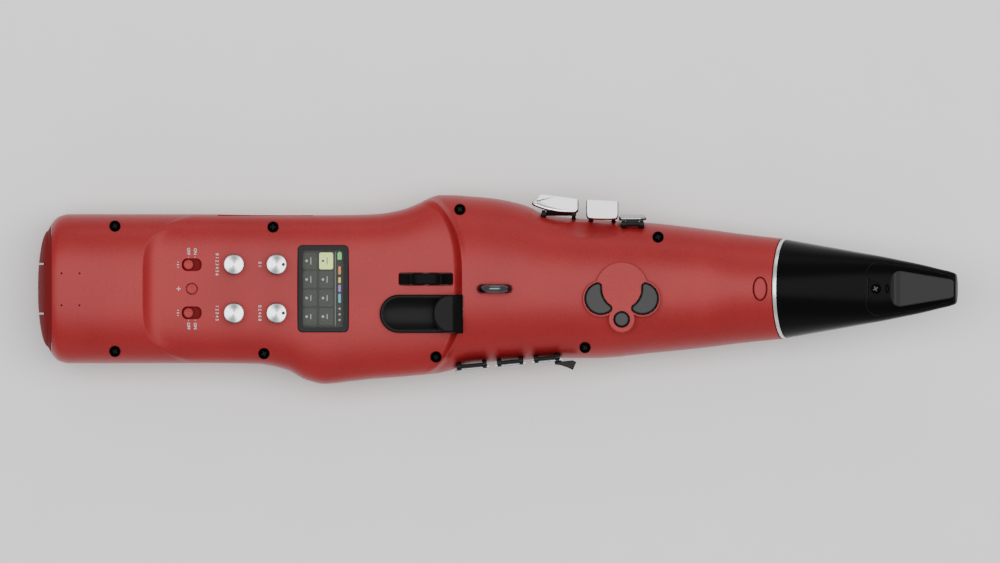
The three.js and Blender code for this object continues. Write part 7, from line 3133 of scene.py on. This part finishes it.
@dataclass
class Studio:
    """A pale floor, a white surround, soft lights and the camera overhead."""

    camera_place: tuple[float, float, float] = (1.25, 4.53, 900.0)
    frame_width: float = 625.0
    floor_size: float = 4000.0
    floor_corner: float = 40.0
    floor_depth: float = 2.0
    floor_drop: float = 0.02
    surround: float = 0.64
    lamps: tuple = (
        ("overhead_softbox", (0.0, 90.0, 1500.0), (0.0, 0.0, 0.0), (1900.0, 800.0), 20.0),
        ("palm_side_softbox", (100.0, 1200.0, 700.0), (0.0, 0.0, 20.0), (1400.0, 500.0), 3.0),
        ("front_fill", (-200.0, -1300.0, 500.0), (0.0, 0.0, 20.0), (1400.0, 500.0), 1.0),
    )

    def floor(self) -> None:
        """Lays the floor."""
        tree = ShaderTree("studio_floor")
        grain = tree.noise(tree.place(), 60.0, 2.0)
        white = tree.blended(grain, (0.9, 0.9, 0.9), (0.94, 0.94, 0.94))
        material = tree.surface({"Base Color": white, "Roughness": 0.9})
        plan = rounded_box(0.0, 0.0, self.floor_size, self.floor_size, self.floor_corner)
        skin = prism(plan, -self.floor_depth, -self.floor_drop)
        mesh = mesh_of("studio_floor", skin)
        mesh.materials.append(material)
        sheet = bpy.data.objects.new("studio_floor", mesh)
        bpy.context.scene.collection.objects.link(sheet)

    def sky(self) -> None:
        """Fills the surround with even pale light."""
        world = bpy.data.worlds.new("studio")
        world.use_nodes = True
        background = world.node_tree.nodes["Background"]
        background.inputs["Color"].default_value = (1.0, 1.0, 1.0, 1.0)
        background.inputs["Strength"].default_value = self.surround
        bpy.context.scene.world = world

    def lamp(
        self, name: str, place: Sequence[float], aim: Sequence[float], size: tuple[float, float],
        watts: float,
    ) -> None:
        """Hangs one soft light.

        Args:
            name: Its name.
            place: Where it hangs.
            aim: The point that it faces.
            size: Its length and width.
            watts: Its strength.
        """
        light = bpy.data.lights.new(name, "AREA")
        light.shape = "RECTANGLE"
        light.size = size[0] * MM
        light.size_y = size[1] * MM
        light.energy = watts
        holder = bpy.data.objects.new(name, light)
        start = Vector(place) * MM
        holder.location = start
        holder.rotation_euler = (Vector(aim) * MM - start).to_track_quat("-Z", "Y").to_euler()
        bpy.context.scene.collection.objects.link(holder)

    def camera(self) -> None:
        """Sets the camera straight above, with the mouthpiece to the right."""
        data = bpy.data.cameras.new("overhead")
        data.type = "ORTHO"
        data.ortho_scale = self.frame_width * MM
        data.clip_end = 20.0
        holder = bpy.data.objects.new("overhead", data)
        holder.location = Vector(self.camera_place) * MM
        bpy.context.scene.collection.objects.link(holder)
        bpy.context.scene.camera = holder

    def build(self) -> None:
        """Sets up the whole studio."""
        self.camera()
        self.sky()
        self.floor()
        for lamp in self.lamps:
            self.lamp(*lamp)


def main() -> None:
    """Builds the instrument and the studio around it."""
    logging.basicConfig(level=logging.INFO, format="%(name)s: %(message)s")
    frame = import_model()
    Studio().build()
    shop = Workshop(frame["nodes"], Palette())
    casing, panel, wheel, rest = Casing(), Panel(), PitchWheel(), ThumbRest()
    strap, octave, release = StrapRing(), OctaveTable(), ReleaseButton()
    palm, side, front, ports = PalmKeys(), SideKeys(), FrontKeys(), SidePorts()
    rear_tools = [
        *panel.openings(), *wheel.openings(casing.floor), *rest.openings(), *strap.openings(),
        *octave.openings(), *release.openings(), *palm.openings(), *side.openings(), *ports.openings(),
    ]
    casing.build(shop, octave.platform(), rear_tools, front)
    EndCap().build(shop, casing)
    CasingScrews().build(shop, casing)
    for part in (panel, wheel, rest, strap, octave, release, palm, side, front, ports, Inside()):
        part.build(shop)
    neck = Neck()
    neck.build(shop, casing.neck_frame())
    Mouthpiece().build(shop, casing.neck_frame(), neck)
    LOG.info("%d pieces placed", shop.placed)


if __name__ == "__main__":
    main()
